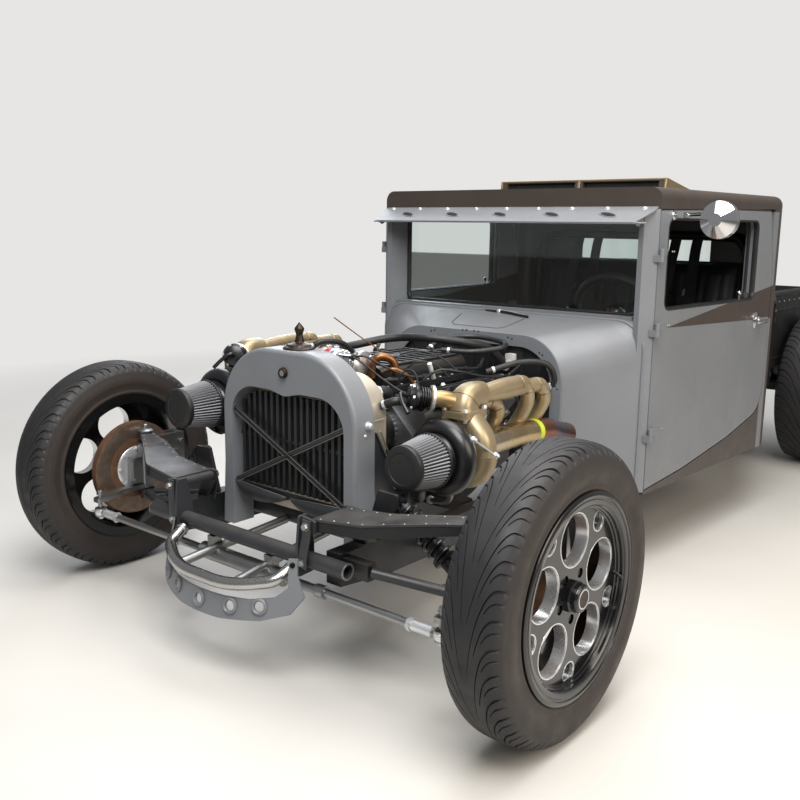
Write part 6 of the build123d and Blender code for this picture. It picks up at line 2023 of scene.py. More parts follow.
    def belt(self) -> Surface:
        """Ribbed belt: the outline round all pulleys' circles, found as their convex hull."""
        turn = np.linspace(0, 2 * pi, 120, endpoint=False)
        points = np.concatenate([np.stack([x + (r + 2.5) * np.cos(turn), z + (r + 2.5) * np.sin(turn)],
            -1) for x, z, r in self.drive()])
        centre = points.mean(0)
        angles = np.linspace(0, 2 * pi, 400, endpoint=False)
        ways = np.stack([np.cos(angles), np.sin(angles)], -1)
        far = points[np.argmax((points - centre) @ ways.T, axis=0)]
        keep = far[np.concatenate([[True], np.linalg.norm(np.diff(far, axis=0), axis=1) > 1e-6])]
        path = np.stack([keep[:, 0], np.full(len(keep), self.belt_y), keep[:, 1]], -1)
        return sweep(path, rounded_rectangle(25, 4.5, 1, 1) @ np.array([[0, 1], [1, 0]]), up=BACK,
            closed=True)

    def pulleys(self) -> Surface:
        """Turned face with a dished web and centre bolt on each pulley."""
        whole = Surface()
        for x, z, r in self.drive():
            face = [(0, 0), (r * 0.3, 0), (r * 0.34, -2), (r * 0.78, -2), (r * 0.84, 1.2), (r * 0.98, 1.2),
                (r, 0), (r, -3), (0, -3)]
            whole.take(turned(face[::-1], 48, (x, self.pulley_face, z), AHEAD))
            whole.place(hex_bolt(20, 9), (x, self.pulley_face - 0.5, z), AHEAD)
        return whole

    def alternator(self) -> Surface:
        """Finned casing behind the upper left pulley."""
        shape = lathe([(0, 0), (54, 0), (60, 5), (60, 36), (52, 42), (0, 42)], 72, lambda angle,
            row: -2.5 * (np.cos(24 * angle) > 0) * (row > 1) * (row < 4))
        return aimed(shape, (165, 181, 600), BACK)

    def firewall_ribs(self) -> Surface:
        """Pressed upright ribs on the firewall."""
        whole = Surface()
        for x in np.linspace(-280, 280, 9):
            top = 792 - 0.0006 * x * x
            whole.take(bar([(x, 903, 590), (x, 903, top)], 5, 12, OUT, 2.0))
        return whole

    def flange_screws(self) -> Surface:
        """Pairs of screws in the hood flange."""
        whole = Surface()
        for x, z in ((25, 825), (168, 812), (294, 769), (358, 660), (358, 470)):
            way = unit(np.array([-z + 500, 0, x + 0.0])) * 9
            for side in (-1, 1):
                whole.take(rivets([(x + side * way[0], 887.2, z + side * way[2] * 0.5)], AHEAD, 3.4, 2.2))
        return whole


# Cab


def half_width(y: float) -> float:
    """Cab's half width at a distance to the rear: it grows by 55 mm in a metre behind the posts."""
    return 590 + 55 * (y - 1110) / 1000


@dataclass
class Cowl(Assembly):
    """Hatch line, wiper, glass seals, visor hardware, roof scoop skins and door fittings."""

    visor_lip: tuple[float, float] = (1004.0, 1210.0)
    visor_back: tuple[float, float] = (1112.0, 1262.0)
    visor_way: tuple[float, float, float] = (0.0, -0.434, 0.901)
    window_y: tuple[float, float] = (1175.0, 1940.0)
    window_z: tuple[float, float] = (916.0, 1226.0)

    def build(self) -> None:
        """Make all pieces."""
        self.put("cowl_hatch", self.hatch(), "seam_dark")
        self.put("cowl_bead", self.bead(), "body_paint")
        self.put("wiper_arm", self.wiper(), "machined")
        self.put("wiper_blade", self.blade(), "rubber")
        self.put("windshield_seal", self.windshield_seal(), "rubber")
        self.put("rear_window_seal", self.rear_seal(), "rubber")
        self.put("visor_bolts", self.visor_bolts(), "machined")
        self.put("visor_edge", self.visor_edge(), "body_paint")
        # The visor slots and scoop mouths are painted shade: black sheets in the openings
        self.put("visor_slots", self.slots(), "mouth_black", smooth=50)
        self.put("visor_slot_rims", self.slot_rims(), "body_paint", smooth=50)
        self.put("scoop_skins", self.scoop_skins(), "raw_tan", smooth=25)
        self.put("scoop_mouths", self.scoop_mouths(), "mouth_black")
        self.put("mirror_bracket", self.mirror_bracket(), "chrome", "door_left")
        self.put("door_stop_pins", self.post_bolts().both(), "raw_steel")
        for side in SIDES:
            for name, surface, finish in (
                ("window_seal", self.window_seal(), "rubber"),
                ("handle", self.handle(), "chrome"),
                ("lock_knob", self.knob(), "chrome"),
                ("card", self.card(), "vinyl_grey"),
                ("hinge_pins", self.hinge_bolts(), "raw_steel"),
                ("window_crank", self.crank(), "chrome"),
            ):
                self.put_on(side, f"door_{{}}_{name}", surface, finish, "door_{}")

    def cowl_top(self, y: np.ndarray) -> np.ndarray:
        """Height of the cowl's ridge at distances to the rear."""
        return np.interp(y, [895.0, 1062.0, 1110.0], [816.0, 872.0, 888.0])

    def bead(self) -> Surface:
        """Half-round bead pressed round the cowl's rear edge, below the windshield and down both sides."""
        y, half, top, corner = 1090.0, 569.2, 881.3, 102.5
        turn = np.linspace(0, pi / 2, 14)
        arc = np.column_stack([half - corner + corner * np.cos(turn), top - corner + corner * np.sin(turn)])
        side = np.concatenate([[(half, 305.0)], arc])
        line = np.concatenate([side, side[::-1] * [-1, 1]])
        path = np.column_stack([line[:, 0], np.full(len(line), y), line[:, 1]])
        return sweep(path, circle(5.5, 10), up=BACK)

    def hatch(self) -> Surface:
        """Dark gap round the vent hatch, a rounded trapezium that follows the ridge's slope."""
        corners_at = np.array([(-150, 1040), (-140, 966), (-118, 948), (70, 948), (94, 960),
            (128, 1040)], float)
        share = np.linspace(0, 1, 10, endpoint=False)[:, None]
        path = [a + (b - a) * share for a, b in zip(corners_at[:-1], corners_at[1:])]
        flat = np.concatenate(path + [corners_at[-1:]])
        high = self.cowl_top(flat[:, 1]) + 0.3
        return sweep(np.column_stack([flat, high]), rounded_rectangle(3.4, 1.6, 0.6, 1), up=UP)

    def wiper(self) -> Surface:
        """Pivot boss and slim arm."""
        boss = turned([(0, -4), (13, -4), (13, 3), (9, 8), (0, 10)], 20, (-4, 1081, 881), (0, -0.2, 1))
        return boss.take(sweep([(-4, 1081, 887), (66, 1064, 884), (137, 1048, 876)],
            rounded_rectangle(9, 4, 1.5, 2), (1.2, 1.0, 0.7), UP))

    def blade(self) -> Surface:
        """Rubber blade under the arm."""
        return bar([(-70, 1083, 880), (30, 1068, 881), (140, 1046, 873)], 5, 9, UP, 1.5, 12)

    def frame_seal(self, half: float, low: float, high: float, y: float, corner: float,
            size: float) -> Surface:
        """Seal round an opening that faces along the car."""
        ring = rounded_rectangle(2 * half, high - low, corner, 6)
        path = np.column_stack([ring[:, 0], np.full(len(ring), y), ring[:, 1] + (low + high) / 2])
        return sweep(path, circle(size, 8), up=BACK, closed=True)

    def windshield_seal(self) -> Surface:
        """Black seal round the windshield on both faces."""
        whole = self.frame_seal(507, 897, 1224, 1158, 26, 6.5)
        return whole.take(self.frame_seal(507, 897, 1224, 1168, 26, 6.5))

    def rear_seal(self) -> Surface:
        """Black seal round the rear window."""
        return self.frame_seal(328, 962, 1178, 2262, 38,
            6.0).take(self.frame_seal(329, 961, 1179, 2289, 38, 5.0))

    def visor_z(self, y: float) -> float:
        """Height of the visor's upper side."""
        (y0, z0), (y1, z1) = self.visor_lip, self.visor_back
        return z0 + (z1 - z0) * (y - y0) / (y1 - y0)

    def visor_bolts(self) -> Surface:
        """Row of dome bolts with washers at the visor's rear."""
        head = lathe([(0, -1), (11, -1), (11, 1.6), (7, 2), (6, 5), (3, 6.6), (0, 7)], 18)
        z = self.visor_z(1097)
        return joined(aimed(head, (x, 1097, z), self.visor_way) for x in np.linspace(-540, 540, 9))

    def visor_edge(self) -> Surface:
        """Rolled lip along the visor's front, turned down at its ends."""
        y, z = self.visor_lip
        path = [(-577, y + 26, z - 2), (-565, y + 5, z - 3), (-540, y + 2, z - 1), (0, y + 2, z - 1),
            (540, y + 2, z - 1), (565, y + 5, z - 3), (577, y + 26, z - 2)]
        return sweep(np.array(path, float), circle(3.2, 12), up=UP)

    def slot_shape(self, width: float, height: float, depth: float) -> Surface:
        """Flat oval dome in local units: an ellipse whose height falls to nothing at its rim."""
        shape = dome(1.0, 1.0, 36)
        return Surface().take(shape, np.diag([width, height, depth, 1.0]))

    def slot_frames(self) -> list[np.ndarray]:
        """Placing of the five slanting ovals on the visor."""
        z = self.visor_z(1052) - 0.2
        return [frame_matrix((x, 1052, z), self.visor_way, (0.93, -0.37, 0))
            for x in (-430, -215, 0, 215, 430)]

    def slots(self) -> Surface:
        """Dark ovals: painted shade in the visor's slots."""
        whole = Surface()
        for matrix in self.slot_frames():
            whole.take(self.slot_shape(33, 9, 1.0), matrix)
        return whole

    def slot_rims(self) -> Surface:
        """Raised rims round the ovals, higher on the rear side."""
        turn = np.linspace(0, 2 * pi, 48, endpoint=False)
        path = np.stack([37 * np.cos(turn), 12 * np.sin(turn), 1.2 + 1.2 * np.sin(turn)], -1)
        ring = sweep(path, circle(2.6, 8), up=UP, closed=True)
        whole = Surface()
        for matrix in self.slot_frames():
            whole.take(ring, matrix)
        return whole

    def scoop_skins(self) -> Surface:
        """Bare sheet over the scoop's top and sides with a folded front edge and its divider."""
        half = 376
        front, rear, base = 1382.0, 1342.6, 1327.5
        whole = Surface()
        edges = ((1629, front - 0.1), (1631, front - 0.05), (1868, rear + 1.6), (1930, base + 0.8))
        sheet = np.array([[(-half - 0.4, y, z), (half + 0.4, y, z)] for y, z in edges])
        under = sheet[::-1] - [0, 0, 2.4]
        points = np.concatenate([sheet, under])
        whole.sheet(points, True).close(points[:, 0]).close(points[:, 1])
        for sign in (-1, 1):
            side = np.array([(half * sign, 1621, base), (half * sign, 1630, front),
                (half * sign, 1868, rear), (half * sign, 1930, base)], float)
            outer = side + [sign * 1.8, 0, 0]
            whole.add(np.concatenate([side, outer]), grid(2, 4, True, True))
            whole.add(outer, np.array([[0, 1, 2, 3]]))
        for x in (-372, 0, 372):
            whole.take(bar([(x, 1619.5, base + 4), (x, 1628.5, front - 2)], 8 if x else 12, 3, BACK, 1.0))
        whole.take(bar([(-375, 1628, front - 3.6), (375, 1628, front - 3.6)], 3, 7, UP, 1.0))
        return whole

    def scoop_mouths(self) -> Surface:
        """Black sheet just inside each mouth: painted shade in the opening."""
        whole = Surface()
        for x in (-186.5, 186.5):
            path = np.array([(x, 1640, 1353), (x, 1646, 1352)])
            whole.take(sweep(path, rounded_rectangle(326, 36, 3, 2), up=UP))
        return whole

    def mirror_bracket(self) -> Surface:
        """Foot plate of the mirror's arm, its clamp bolt and the rim round the glass."""
        x = half_width(1150)
        whole = turned([(0, -2), (17, -2), (17, 4), (12, 8), (0, 9)], 28, (x + 2, 1205, 1236), OUT)
        whole.place(hex_bolt(11, 7), (800, 1073, 1222), (0.2, -1, 0.1))
        rim = lathe([(52, -1), (58.6, -1), (58.6, 4), (55, 6), (52, 4), (52, -1)], 56)
        return whole.place(rim, (800, 1083, 1219), BACK)

    def post_bolts(self) -> Surface:
        """Latch striker screws on the rear jamb."""
        return rivets([(520, 2126, 700), (520, 2126, 760)], AHEAD, 6, 3)

    def window_ring(self, grow: float) -> np.ndarray:
        """Closed path round the door's window at the outer skin."""
        (y0, y1), (z0, z1) = self.window_y, self.window_z
        ring = rounded_rectangle(y1 - y0 + 2 * grow, z1 - z0 + 2 * grow, 34 + grow, 6)
        y = ring[:, 0] + (y0 + y1) / 2
        return np.column_stack([half_width(y), y, ring[:, 1] + (z0 + z1) / 2])

    def window_seal(self) -> Surface:
        """Black channel inside the window's edge with a felt strip along its sill."""
        path = self.window_ring(-3.0)
        whole = sweep(path - [9, 0, 0], rounded_rectangle(9, 20, 2.5, 2), up=OUT, closed=True)
        return whole.take(sweep(path - [38, 0, 0], rounded_rectangle(7, 12, 2, 2), up=OUT, closed=True))

    def handle(self) -> Surface:
        """Chrome lever that tapers to a ball, over its round plate and neck."""
        x = half_width(1970)
        plate = lathe([(0, -1), (25, -1), (25, 2), (21, 5), (13, 7), (12, 20), (0, 20)], 32)
        whole = aimed(Surface().take(plate, np.diag([1.0, 1.35, 1.0, 1.0])), (x + 0.4, 1970, 832), OUT, BACK)
        path = curve_through([(x + 21, 1934, 832), (x + 25, 1960, 833), (x + 25, 2005, 833),
            (x + 22, 2044, 830)], 30)
        size = np.interp(np.linspace(0, 1, 30), [0, 0.06, 0.3, 0.8, 0.92, 1],
            [0.7, 0.98, 1.06, 0.98, 1.12, 0.7])
        return whole.take(sweep(path, rounded_rectangle(17, 25, 7.5, 5), size, UP))

    def knob(self) -> Surface:
        """Lock knob on the sill of the window."""
        x = half_width(1857)
        shape = lathe([(0, 0), (5, 0), (5, 22), (8, 26), (9, 32), (6, 38), (0, 40)], 18)
        return aimed(shape, (x - 26, 1857, 915), UP)

    def card(self) -> Surface:
        """Trim panel inside the door with piped seams and an arm rest."""
        whole = Surface()
        ys = np.linspace(1196, 2040, 18)
        x = half_width(ys) - 50
        outer = []
        for z, out in ((470, 0.0), (474, 6.0), (640, 7.5), (646, 5.5), (652, 7.5), (886, 6.0), (890, 0.0)):
            outer.append(np.stack([x - out, ys, np.full_like(ys, z)], -1))
        points = np.stack(outer)
        back = points.copy()
        back[..., 0] = x + 0.5
        whole.add(points, grid(7, 18))
        for column in (0, -1):
            whole.add(np.concatenate([points[:, column], back[:, column]]), grid(2, 7))
        rest = curve_through([(half_width(1500) - 62, 1470, 690), (half_width(1600) - 82, 1560, 700),
            (half_width(1800) - 82, 1780, 700), (half_width(1900) - 62, 1880, 690)], 30)
        return whole.take(sweep(rest, rounded_rectangle(44, 36, 12, 4), up=UP))

    def crank(self) -> Surface:
        """Window winder and inside lever."""
        x = half_width(1450) - 58
        whole = turned([(0, 0), (20, 0), (20, 5), (12, 8), (0, 9)], 24, (x, 1440, 770), IN)
        whole.take(tube([(x - 8, 1440, 770), (x - 14, 1486, 748), (x - 16, 1530, 730)], 5, 12))
        whole.take(turned([(0, 0), (9, 0), (10, 12), (8, 24), (0, 26)], 18, (x - 14, 1530, 730), IN))
        x = half_width(1850) - 58
        whole.take(turned([(0, 0), (18, 0), (18, 5), (0, 7)], 24, (x, 1850, 790), IN))
        return whole.take(tube([(x - 7, 1850, 790), (x - 12, 1800, 786), (x - 12, 1750, 778)], 5.5, 12))

    def hinge_bolts(self) -> Surface:
        """Screws in the door's hinge leaves."""
        x = half_width(1170)
        return joined(rivets([(x + 10.6, 1192, z), (x + 11.2, 1206, z)], OUT, 3.6, 2.4)
            for z in (504, 867, 1115))


@dataclass
class Cabin(Assembly):
    """Seat cushions, gauges, wheel wrap, shifter, pedals and belts inside the cab."""

    seat_half: float = 478.0
    column_low: tuple[float, float, float] = (300.0, 1000.0, 660.0)
    column_top: tuple[float, float, float] = (300.0, 1390.0, 846.0)
    wheel_r: float = 165.0

    def build(self) -> None:
        """Make all pieces."""
        for name, surface in (("seat_cushion", self.cushion(False)), ("seat_back", self.cushion(True))):
            piece = self.put(name, surface, "leather", smooth=60)
            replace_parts(piece, "seat")
        base = self.put("seat_base", self.seat_base(), "bay_black")
        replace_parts(base, "seat")
        self.put("gauge_bezels", self.gauge_bezels(), "machined")
        self.put("gauge_faces", self.gauge_faces(), "gauge_white")
        self.put("gauge_needles", self.needles(), "lamp_red")
        self.put("dash_rail", self.dash_rail(), "machined")
        self.put("wheel_wrap", self.wheel_wrap(), "leather", "steering_wheel", 60)
        self.put("wheel_cap", self.wheel_cap(), "machined", "steering_wheel")
        self.put("shifter", self.shifter(), "machined")
        self.put("shifter_boot", self.boot(), "rubber")
        self.put("shifter_ball", self.ball(), "wheel_black")
        self.put("pedals", self.pedals(), "black_metal")
        self.put("floor_mat", self.mats(), "rubber")
        self.put("harness_bar", self.harness_bar(), "black_metal")
        self.put("harness_belts", self.belts(), "webbing")
        self.put("belt_buckles", self.buckles(), "chrome")

    def cushion(self, upright: bool) -> Surface:
        """Cushion with rolled edges and sewn channels.

        The face bulges by the product of two flattened arcs, and each channel adds a rounded fold whose
        valleys are the seams; a rear sheet closes it.
        """
        u = np.linspace(-1, 1, 121)
        v = np.linspace(-1, 1, 41)
        across, along = np.meshgrid(u, v)
        arc = (1 - np.abs(across) ** 10) * (1 - np.abs(along) ** 8)
        seams = np.abs(np.sin(across * pi * 7)) ** 0.55
        border = (np.abs(across) < 0.94) & (np.abs(along) < 0.82)
        swell = 38 * np.clip(arc, 0, 1) ** 0.45 + 9 * seams * arc * border - 5 * arc * (~border) * 0.5
        middle = 8 * np.exp(-((np.abs(across) - 0.5) / 0.3) ** 2) * (1 - along**2)
        swell = swell - middle
        if upright:
            foot, top, normal = np.array([2092.0, 560.0]), np.array([2194.0, 1052.0]), np.array([-0.979,
                0.203])
        else:
            foot, top, normal = np.array([1648.0, 478.0]), np.array([2082.0, 452.0]), np.array([0.06, 0.998])
        place = foot + (top - foot) * ((along + 1) / 2)[..., None] + normal * (swell - 30)[..., None]
        face = np.stack([across * self.seat_half, place[..., 0], place[..., 1]], -1)
        flat = foot + (top - foot) * ((along + 1) / 2)[..., None] - normal * 30
        back = np.stack([across * self.seat_half * 0.99, flat[..., 0], flat[..., 1]], -1)
        whole = Surface().add(face, grid(41, 121)).add(back, grid(41, 121)[:, ::-1])
        for a, b in ((face[0], back[0]), (face[-1], back[-1]), (face[:, 0], back[:, 0]),
                (face[:, -1], back[:, -1])):
            whole.add(np.concatenate([a, b]), grid(2, len(a)))
        ring = np.concatenate([face[0], face[1:, -1], face[-1, -2::-1], face[-2:0:-1, 0]])
        return whole.take(sweep(ring[::2] + np.append(0, normal) * 3, circle(4.5, 8),
            up=np.append(0, normal), closed=True))

    def seat_base(self) -> Surface:
        """Box under the cushion and shell behind the back, clear of the shaft's tunnel."""
        base = ((1662, 364), (1650, 452), (2078, 430), (2104, 364))
        back = ((2120, 364), (2112, 540), (2236, 1050), (2236, 364))
        whole = joined(self.block(ring, 86 * sign, 470 * sign) for sign in (-1, 1) for ring in (base, back))
        return whole.take(self.block(((2126, 560), (2206, 1046), (2236, 1052), (2236, 560)), -90, 90))

    @staticmethod
    def block(ring: Points, x0: float, x1: float) -> Surface:
        """Block between two places across the car, with four (rearward, up) corners."""
        ends = [np.column_stack([np.full(4, float(x)), ring]) for x in (x0, x1)]
        whole = Surface().add(np.concatenate(ends), grid(2, 4, False, True))
        return whole.add(ends[0], np.array([[0, 1, 2, 3]])).add(ends[1], np.array([[3, 2, 1, 0]]))

    def gauge_places(self) -> list[tuple[float, float, float]]:
        """Across, height and radius of the dials in the dash."""
        return [(368, 838, 37), (232, 838, 37), (120, 826, 24), (60, 826, 24), (0, 826, 24), (-60, 826, 24)]

    def dash_way(self) -> np.ndarray:
        """Outward direction of the dash's rear face."""
        return unit(np.array([0.0, 100.0, 20.0]))

    def dash_at(self, x: float, z: float) -> tuple[float, float, float]:
        """Place on the dash's rear face at a height."""
        return (x, 1310 - (z - 780) * 0.2, z)

    def on_dials(self, profile: Callable[[float], Points]) -> Surface:
        """A turned shape at every dial, its profile worked out from the dial's radius."""
        return joined(turned(profile(r), 40, self.dash_at(x, z), self.dash_way()) for x, z,
            r in self.gauge_places())

    def gauge_bezels(self) -> Surface:
        """Bezel rings round the dials."""
        return self.on_dials(lambda r: [(r, -3), (r + 6, -3), (r + 6, 7), (r + 3, 12), (r, 9), (r, -3)])

    def gauge_faces(self) -> Surface:
        """Pale dial discs."""
        return self.on_dials(lambda r: [(0, 0), (r, 0), (r, 3), (0, 3)])

    def needles(self) -> Surface:
        """Pointer on each dial, at a different angle."""
        whole = Surface()
        for number, (x, z, r) in enumerate(self.gauge_places()):
            turn = 2.2 + 0.5 * number
            a = np.array(self.dash_at(x, z)) + self.dash_way() * 5
            b = a + np.array([cos(turn), -0.2 * sin(turn), sin(turn)]) * r * 0.8
            whole.take(sweep([a, b], circle(1.2, 6), (1.4, 0.4)))
        return whole

    def dash_rail(self) -> Surface:
        """Bright strip along the dash's lower edge with a row of toggle switches."""
        whole = bar([(-500, 1308, 776), (500, 1308, 776)], 6, 5, UP, 1.5)
        for x in np.linspace(-330, -130, 6):
            whole.take(turned([(0, 0), (7, 0), (7, 3), (2.4, 4), (3.2, 16), (0, 17)], 12,
                self.dash_at(x, 838), self.dash_way() + np.array([0, 0, 0.3])))
        return whole

    def wheel_frame(self) -> np.ndarray:
        """Placing of the steering wheel on its column."""
        low, top = np.array(self.column_low), np.array(self.column_top)
        way = unit(top - low)
        return frame_matrix(top + way * 45, way, OUT)

    def wheel_wrap(self) -> Surface:
        """Stitched leather over the rim, thicker at four grips."""
        turn = np.linspace(0, 2 * pi, 160, endpoint=False)
        path = np.stack([self.wheel_r * np.cos(turn), self.wheel_r * np.sin(turn), np.zeros(160)], -1)
        size = 1 + 0.035 * np.abs(np.sin(turn * 40)) + 0.05 * (np.cos(turn * 4 + 0.8) > 0.3)
        return Surface().take(sweep(path, circle(14.6, 16), size, UP, True), self.wheel_frame())

    def wheel_cap(self) -> Surface:
        """Plain hub cap with six screws, and holes' rims on the spokes."""
        whole = lathe([(0, 4), (33, 4), (33, 8), (28, 12), (24, 16), (0, 18)], 40)
        for turn in np.linspace(0, 2 * pi, 6, endpoint=False):
            whole.take(dome(3, 2.2, 10), frame_matrix((29 * cos(turn), 29 * sin(turn), 11), UP))
        for base in (0, pi, 1.5 * pi):
            for r in (62, 90, 118):
                ring = lathe([(5.5, 2.4), (8.5, 2.4), (8.5, 3.6), (5.5, 3.6), (5.5, 2.4)], 20)
                whole.take(ring, frame_matrix((r * cos(base), r * sin(base), 0), UP))
        return Surface().take(whole, self.wheel_frame())

    def shifter(self) -> Surface:
        """Bent shift lever."""
        return tube([(0, 1440, 556), (6, 1452, 650), (30, 1490, 740), (40, 1500, 800)], 7, 14, 24)

    def boot(self) -> Surface:
        """Pleated boot round the lever's foot."""
        rings = [(54, -6), (56, 4)]
        for step in range(5):
            rings += [(50 - 8 * step, 10 + 12 * step), (44 - 8 * step, 15 + 12 * step)]
        return turned([(0, -6)] + rings + [(0, 66)], 32, (0, 1440, 566), UP)

    def ball(self) -> Surface:
        """Shift knob."""
        t = np.linspace(-pi / 2, pi / 2, 15)
        return turned(np.stack([25 * np.cos(t), 25 * np.sin(t)], -1), 28, (41, 1502, 818), UP)

    def pedals(self) -> Surface:
        """Three pedals hanging from behind the dash."""
        whole = Surface()
        for x, wide in ((420, 60), (330, 64), (235, 46)):
            whole.take(tube([(x, 1150, 760), (x, 1130, 640), (x, 1160, 500)], 8, 12, 16))
            whole.take(bar([(x, 1168, 468), (x, 1160, 530)], wide, 12, BACK, 4.0))
        return whole

    def mats(self) -> Surface:
        """Ribbed mats in both footwells."""
        whole = Surface()
        for sign in (-1, 1):
            for y in np.linspace(1230, 1600, 24):
                whole.take(bar([(sign * 214, y, 366), (sign * 486, y, 366)], 8, 4, UP, 1.5))
            whole.take(bar([(sign * 350, 1220, 364.4), (sign * 350, 1612, 364.4)], 292, 2.4, UP, 1.0))
        return whole

    def harness_bar(self) -> Surface:
        """Tube hoop that stands behind the seat's shoulders, off to both pillars."""
        return tube([(-520, 2196, 700), (-516, 2200, 1010), (-480, 2204, 1130), (-400, 2206, 1158),
            (0, 2208, 1160), (400, 2206, 1158), (480, 2204, 1130), (516, 2200, 1010), (520, 2196, 700)],
            19, 18, 90)

    def belts(self) -> Surface:
        """Shoulder and lap belts of both places, laid over the cushions."""
        whole = Surface()
        for middle in (-240, 240):
            for dx in (-62, 62):
                path = [(middle + dx * 0.8, 2206, 1176), (middle + dx * 0.8, 2168, 1080),
                    (middle + dx, 2110, 880), (middle + dx * 0.9, 2056, 660),
                    (middle + dx * 0.3, 2020, 540), (middle + dx * 0.15, 1990, 502)]
                whole.take(sweep(curve_through(path, 40), rounded_rectangle(48, 2.2, 0.8, 1),
                    up=np.array([0, -0.9, 0.45])))
            for dx in (-1, 1):
                path = [(middle + dx * 190, 2088, 500), (middle + dx * 150, 2040, 506),
                    (middle + dx * 60, 1992, 502)]
                whole.take(sweep(curve_through(path, 16), rounded_rectangle(3, 46, 0.8, 1),
                    up=np.array([0, 0.5, 0.9])))
        return whole

    def buckles(self) -> Surface:
        """Round camlock of each harness."""
        whole = Surface()
        for middle in (-240, 240):
            whole.take(turned([(0, 0), (34, 0), (34, 8), (26, 14), (12, 16), (0, 16)], 28,
                (middle, 1988, 500), (0, -0.35, 0.94)))
            for dx in (-52, 52):
                whole.take(bar([(middle + dx, 2126, 930), (middle + dx, 2118, 900)], 54, 6, (0, -1, 0.3),
                    2.0))
        return whole


# Bed and rear


@dataclass
class Rear(Assembly):
    """Bed rails and strips, lamps' bezels, gate latch, axle cover, coils and fuel cap."""

    outer: tuple[tuple[float, float], ...] = ((2300.0, 615.0), (2820.0, 440.0), (3500.0, 440.0))
    axle: tuple[float, float] = (3240.0, 385.0)
    lamp_at: tuple[float, float] = (160.0, 505.0)

    def build(self) -> None:
        """Make all pieces."""
        self.put("bed_strips", self.strips(), "raw_steel")
        self.put("strip_bolts", self.strip_bolts(), "black_nut")
        self.put("rail_rivets", self.rail_rivets().both(), "raw_steel")
        self.put("stake_ribs", self.ribs().both(), "bay_black", smooth=25)
        self.put("lamp_bezels", self.bezels().both(), "machined")
        self.put("lamp_rings", self.rings().both(), "lamp_red")
        self.put("gate_latches", self.latches().both(), "machined", "tailgate")
        self.put("gate_ribs", self.gate_ribs(), "bay_black", "tailgate", 25)
        self.put("plate_panel", self.plate(), "gauge_white", "tailgate")
        self.put("axle_cover", self.cover(), "cast_aluminium")
        self.put("cover_screws", self.cover_screws(), "machined")
        self.put_springs(("rear_dampers", "rear_coils"), self.dampers(), "rear_springs")
        self.put("fuel_cap", self.fuel_cap(), "machined")
        self.put("brake_lines", self.lines().both(), "copper")
        self.put("sill_screws", self.sill_screws().both(), "black_nut")

    def strip_xs(self) -> np.ndarray:
        """Places of the seven strips across the bed."""
        return np.linspace(-330, 330, 7)

    def strips(self) -> Surface:
        """Polished strips between the bed's boards."""
        return joined(bar([(x, 2336, 576.4), (x, 3494, 576.4)], 22, 3.4, UP, 1.4) for x in self.strip_xs())

    def strip_bolts(self) -> Surface:
        """Carriage bolts along the strips."""
        places = [(x, y, 578) for x in self.strip_xs() for y in np.linspace(2380, 3460, 8)]
        return rivets(places, UP, 6, 3)

    def side_at(self, y: float) -> float:
        """Outer face of the bed's side."""
        knots = np.asarray(self.outer)
        return float(np.interp(y, knots[:, 0], knots[:, 1]))

    def rail_rivets(self) -> Surface:
        """Rivets under the rail."""
        ys = np.linspace(2350, 3460, 15)
        return rivets([(self.side_at(y) + 0.4, y, 842) for y in ys], OUT, 5, 3)

    def ribs(self) -> Surface:
        """Pressed beads along the bed's side."""
        whole = Surface()
        for z in (560, 800):
            points = [(self.side_at(y) + 0.6, y, z) for y in (2330, 2560, 2800, 2860, 3180, 3480)]
            whole.take(bar(points, 5, 12, UP, 2.2))
        return whole

    def bezels(self) -> Surface:
        """Stepped ring round each tail lamp."""
        ring = [(35.8, -6), (40, -6), (43, -2), (43, 3), (39.5, 6), (35.8, 4), (35.8, -6)]
        return turned(ring, 44, (self.lamp_at[0], 3490, self.lamp_at[1]), BACK)

    def rings(self) -> Surface:
        """Ribbed lens rings."""
        whole = Surface()
        for r in (10, 18, 26):
            ring = [(r, 0), (r + 3, 0), (r + 1.5, 2.4), (r, 0)]
            whole.take(turned(ring, 40, (self.lamp_at[0], 3491.6, self.lamp_at[1]), BACK))
        return whole

    def latches(self) -> Surface:
        """Slide latch with its ball handle near the gate's upper corner."""
        whole = bar([(330, 3536, 846), (424, 3536, 846)], 20, 6, BACK, 2.0)
        whole.take(tube([(352, 3541, 846), (420, 3541, 846)], 5, 12, 4))
        return whole.take(turned([(0, 0), (5, 0), (5, 8), (9, 12), (9, 19), (5, 23), (0, 23)], 16,
            (364, 3541, 846), (0, 0.3, 1)))

    def gate_ribs(self) -> Surface:
        """Raised frame on the gate's outside."""
        whole = joined(bar([(-396, 3534, z), (396, 3534, z)], 10, 6, BACK, 2.0) for z in (600, 852))
        for x in (-396, 396):
            whole.take(bar([(x, 3534, 600), (x, 3534, 822)], 10, 6, BACK, 2.0))
        return whole

    def plate(self) -> Surface:
        """Bare number plate."""
        path = np.array([(0, 3533, 720), (0, 3536.6, 720)])
        return sweep(path, rounded_rectangle(300, 150, 12, 4), up=UP)

    def cover(self) -> Surface:
        """Ribbed cover behind the rear axle's drive."""
        y, z = self.axle
        shape = lathe([(0, 0), (112, 0), (112, 8), (98, 12), (88, 30), (60, 40), (0, 42)], 64,
            lambda angle, row: 3.0 * (np.cos(10 * angle) > 0.6) * (row > 2) * (row < 6))
        return aimed(shape, (0, y + 96, z), BACK)

    def cover_screws(self) -> Surface:
        """Ten bolts round the cover's rim."""
        y, z = self.axle
        turns = np.linspace(0, 2 * pi, 10, endpoint=False)
        return bolts([(105 * cos(t), y + 104, z + 105 * sin(t)) for t in turns], BACK, 11, 7)

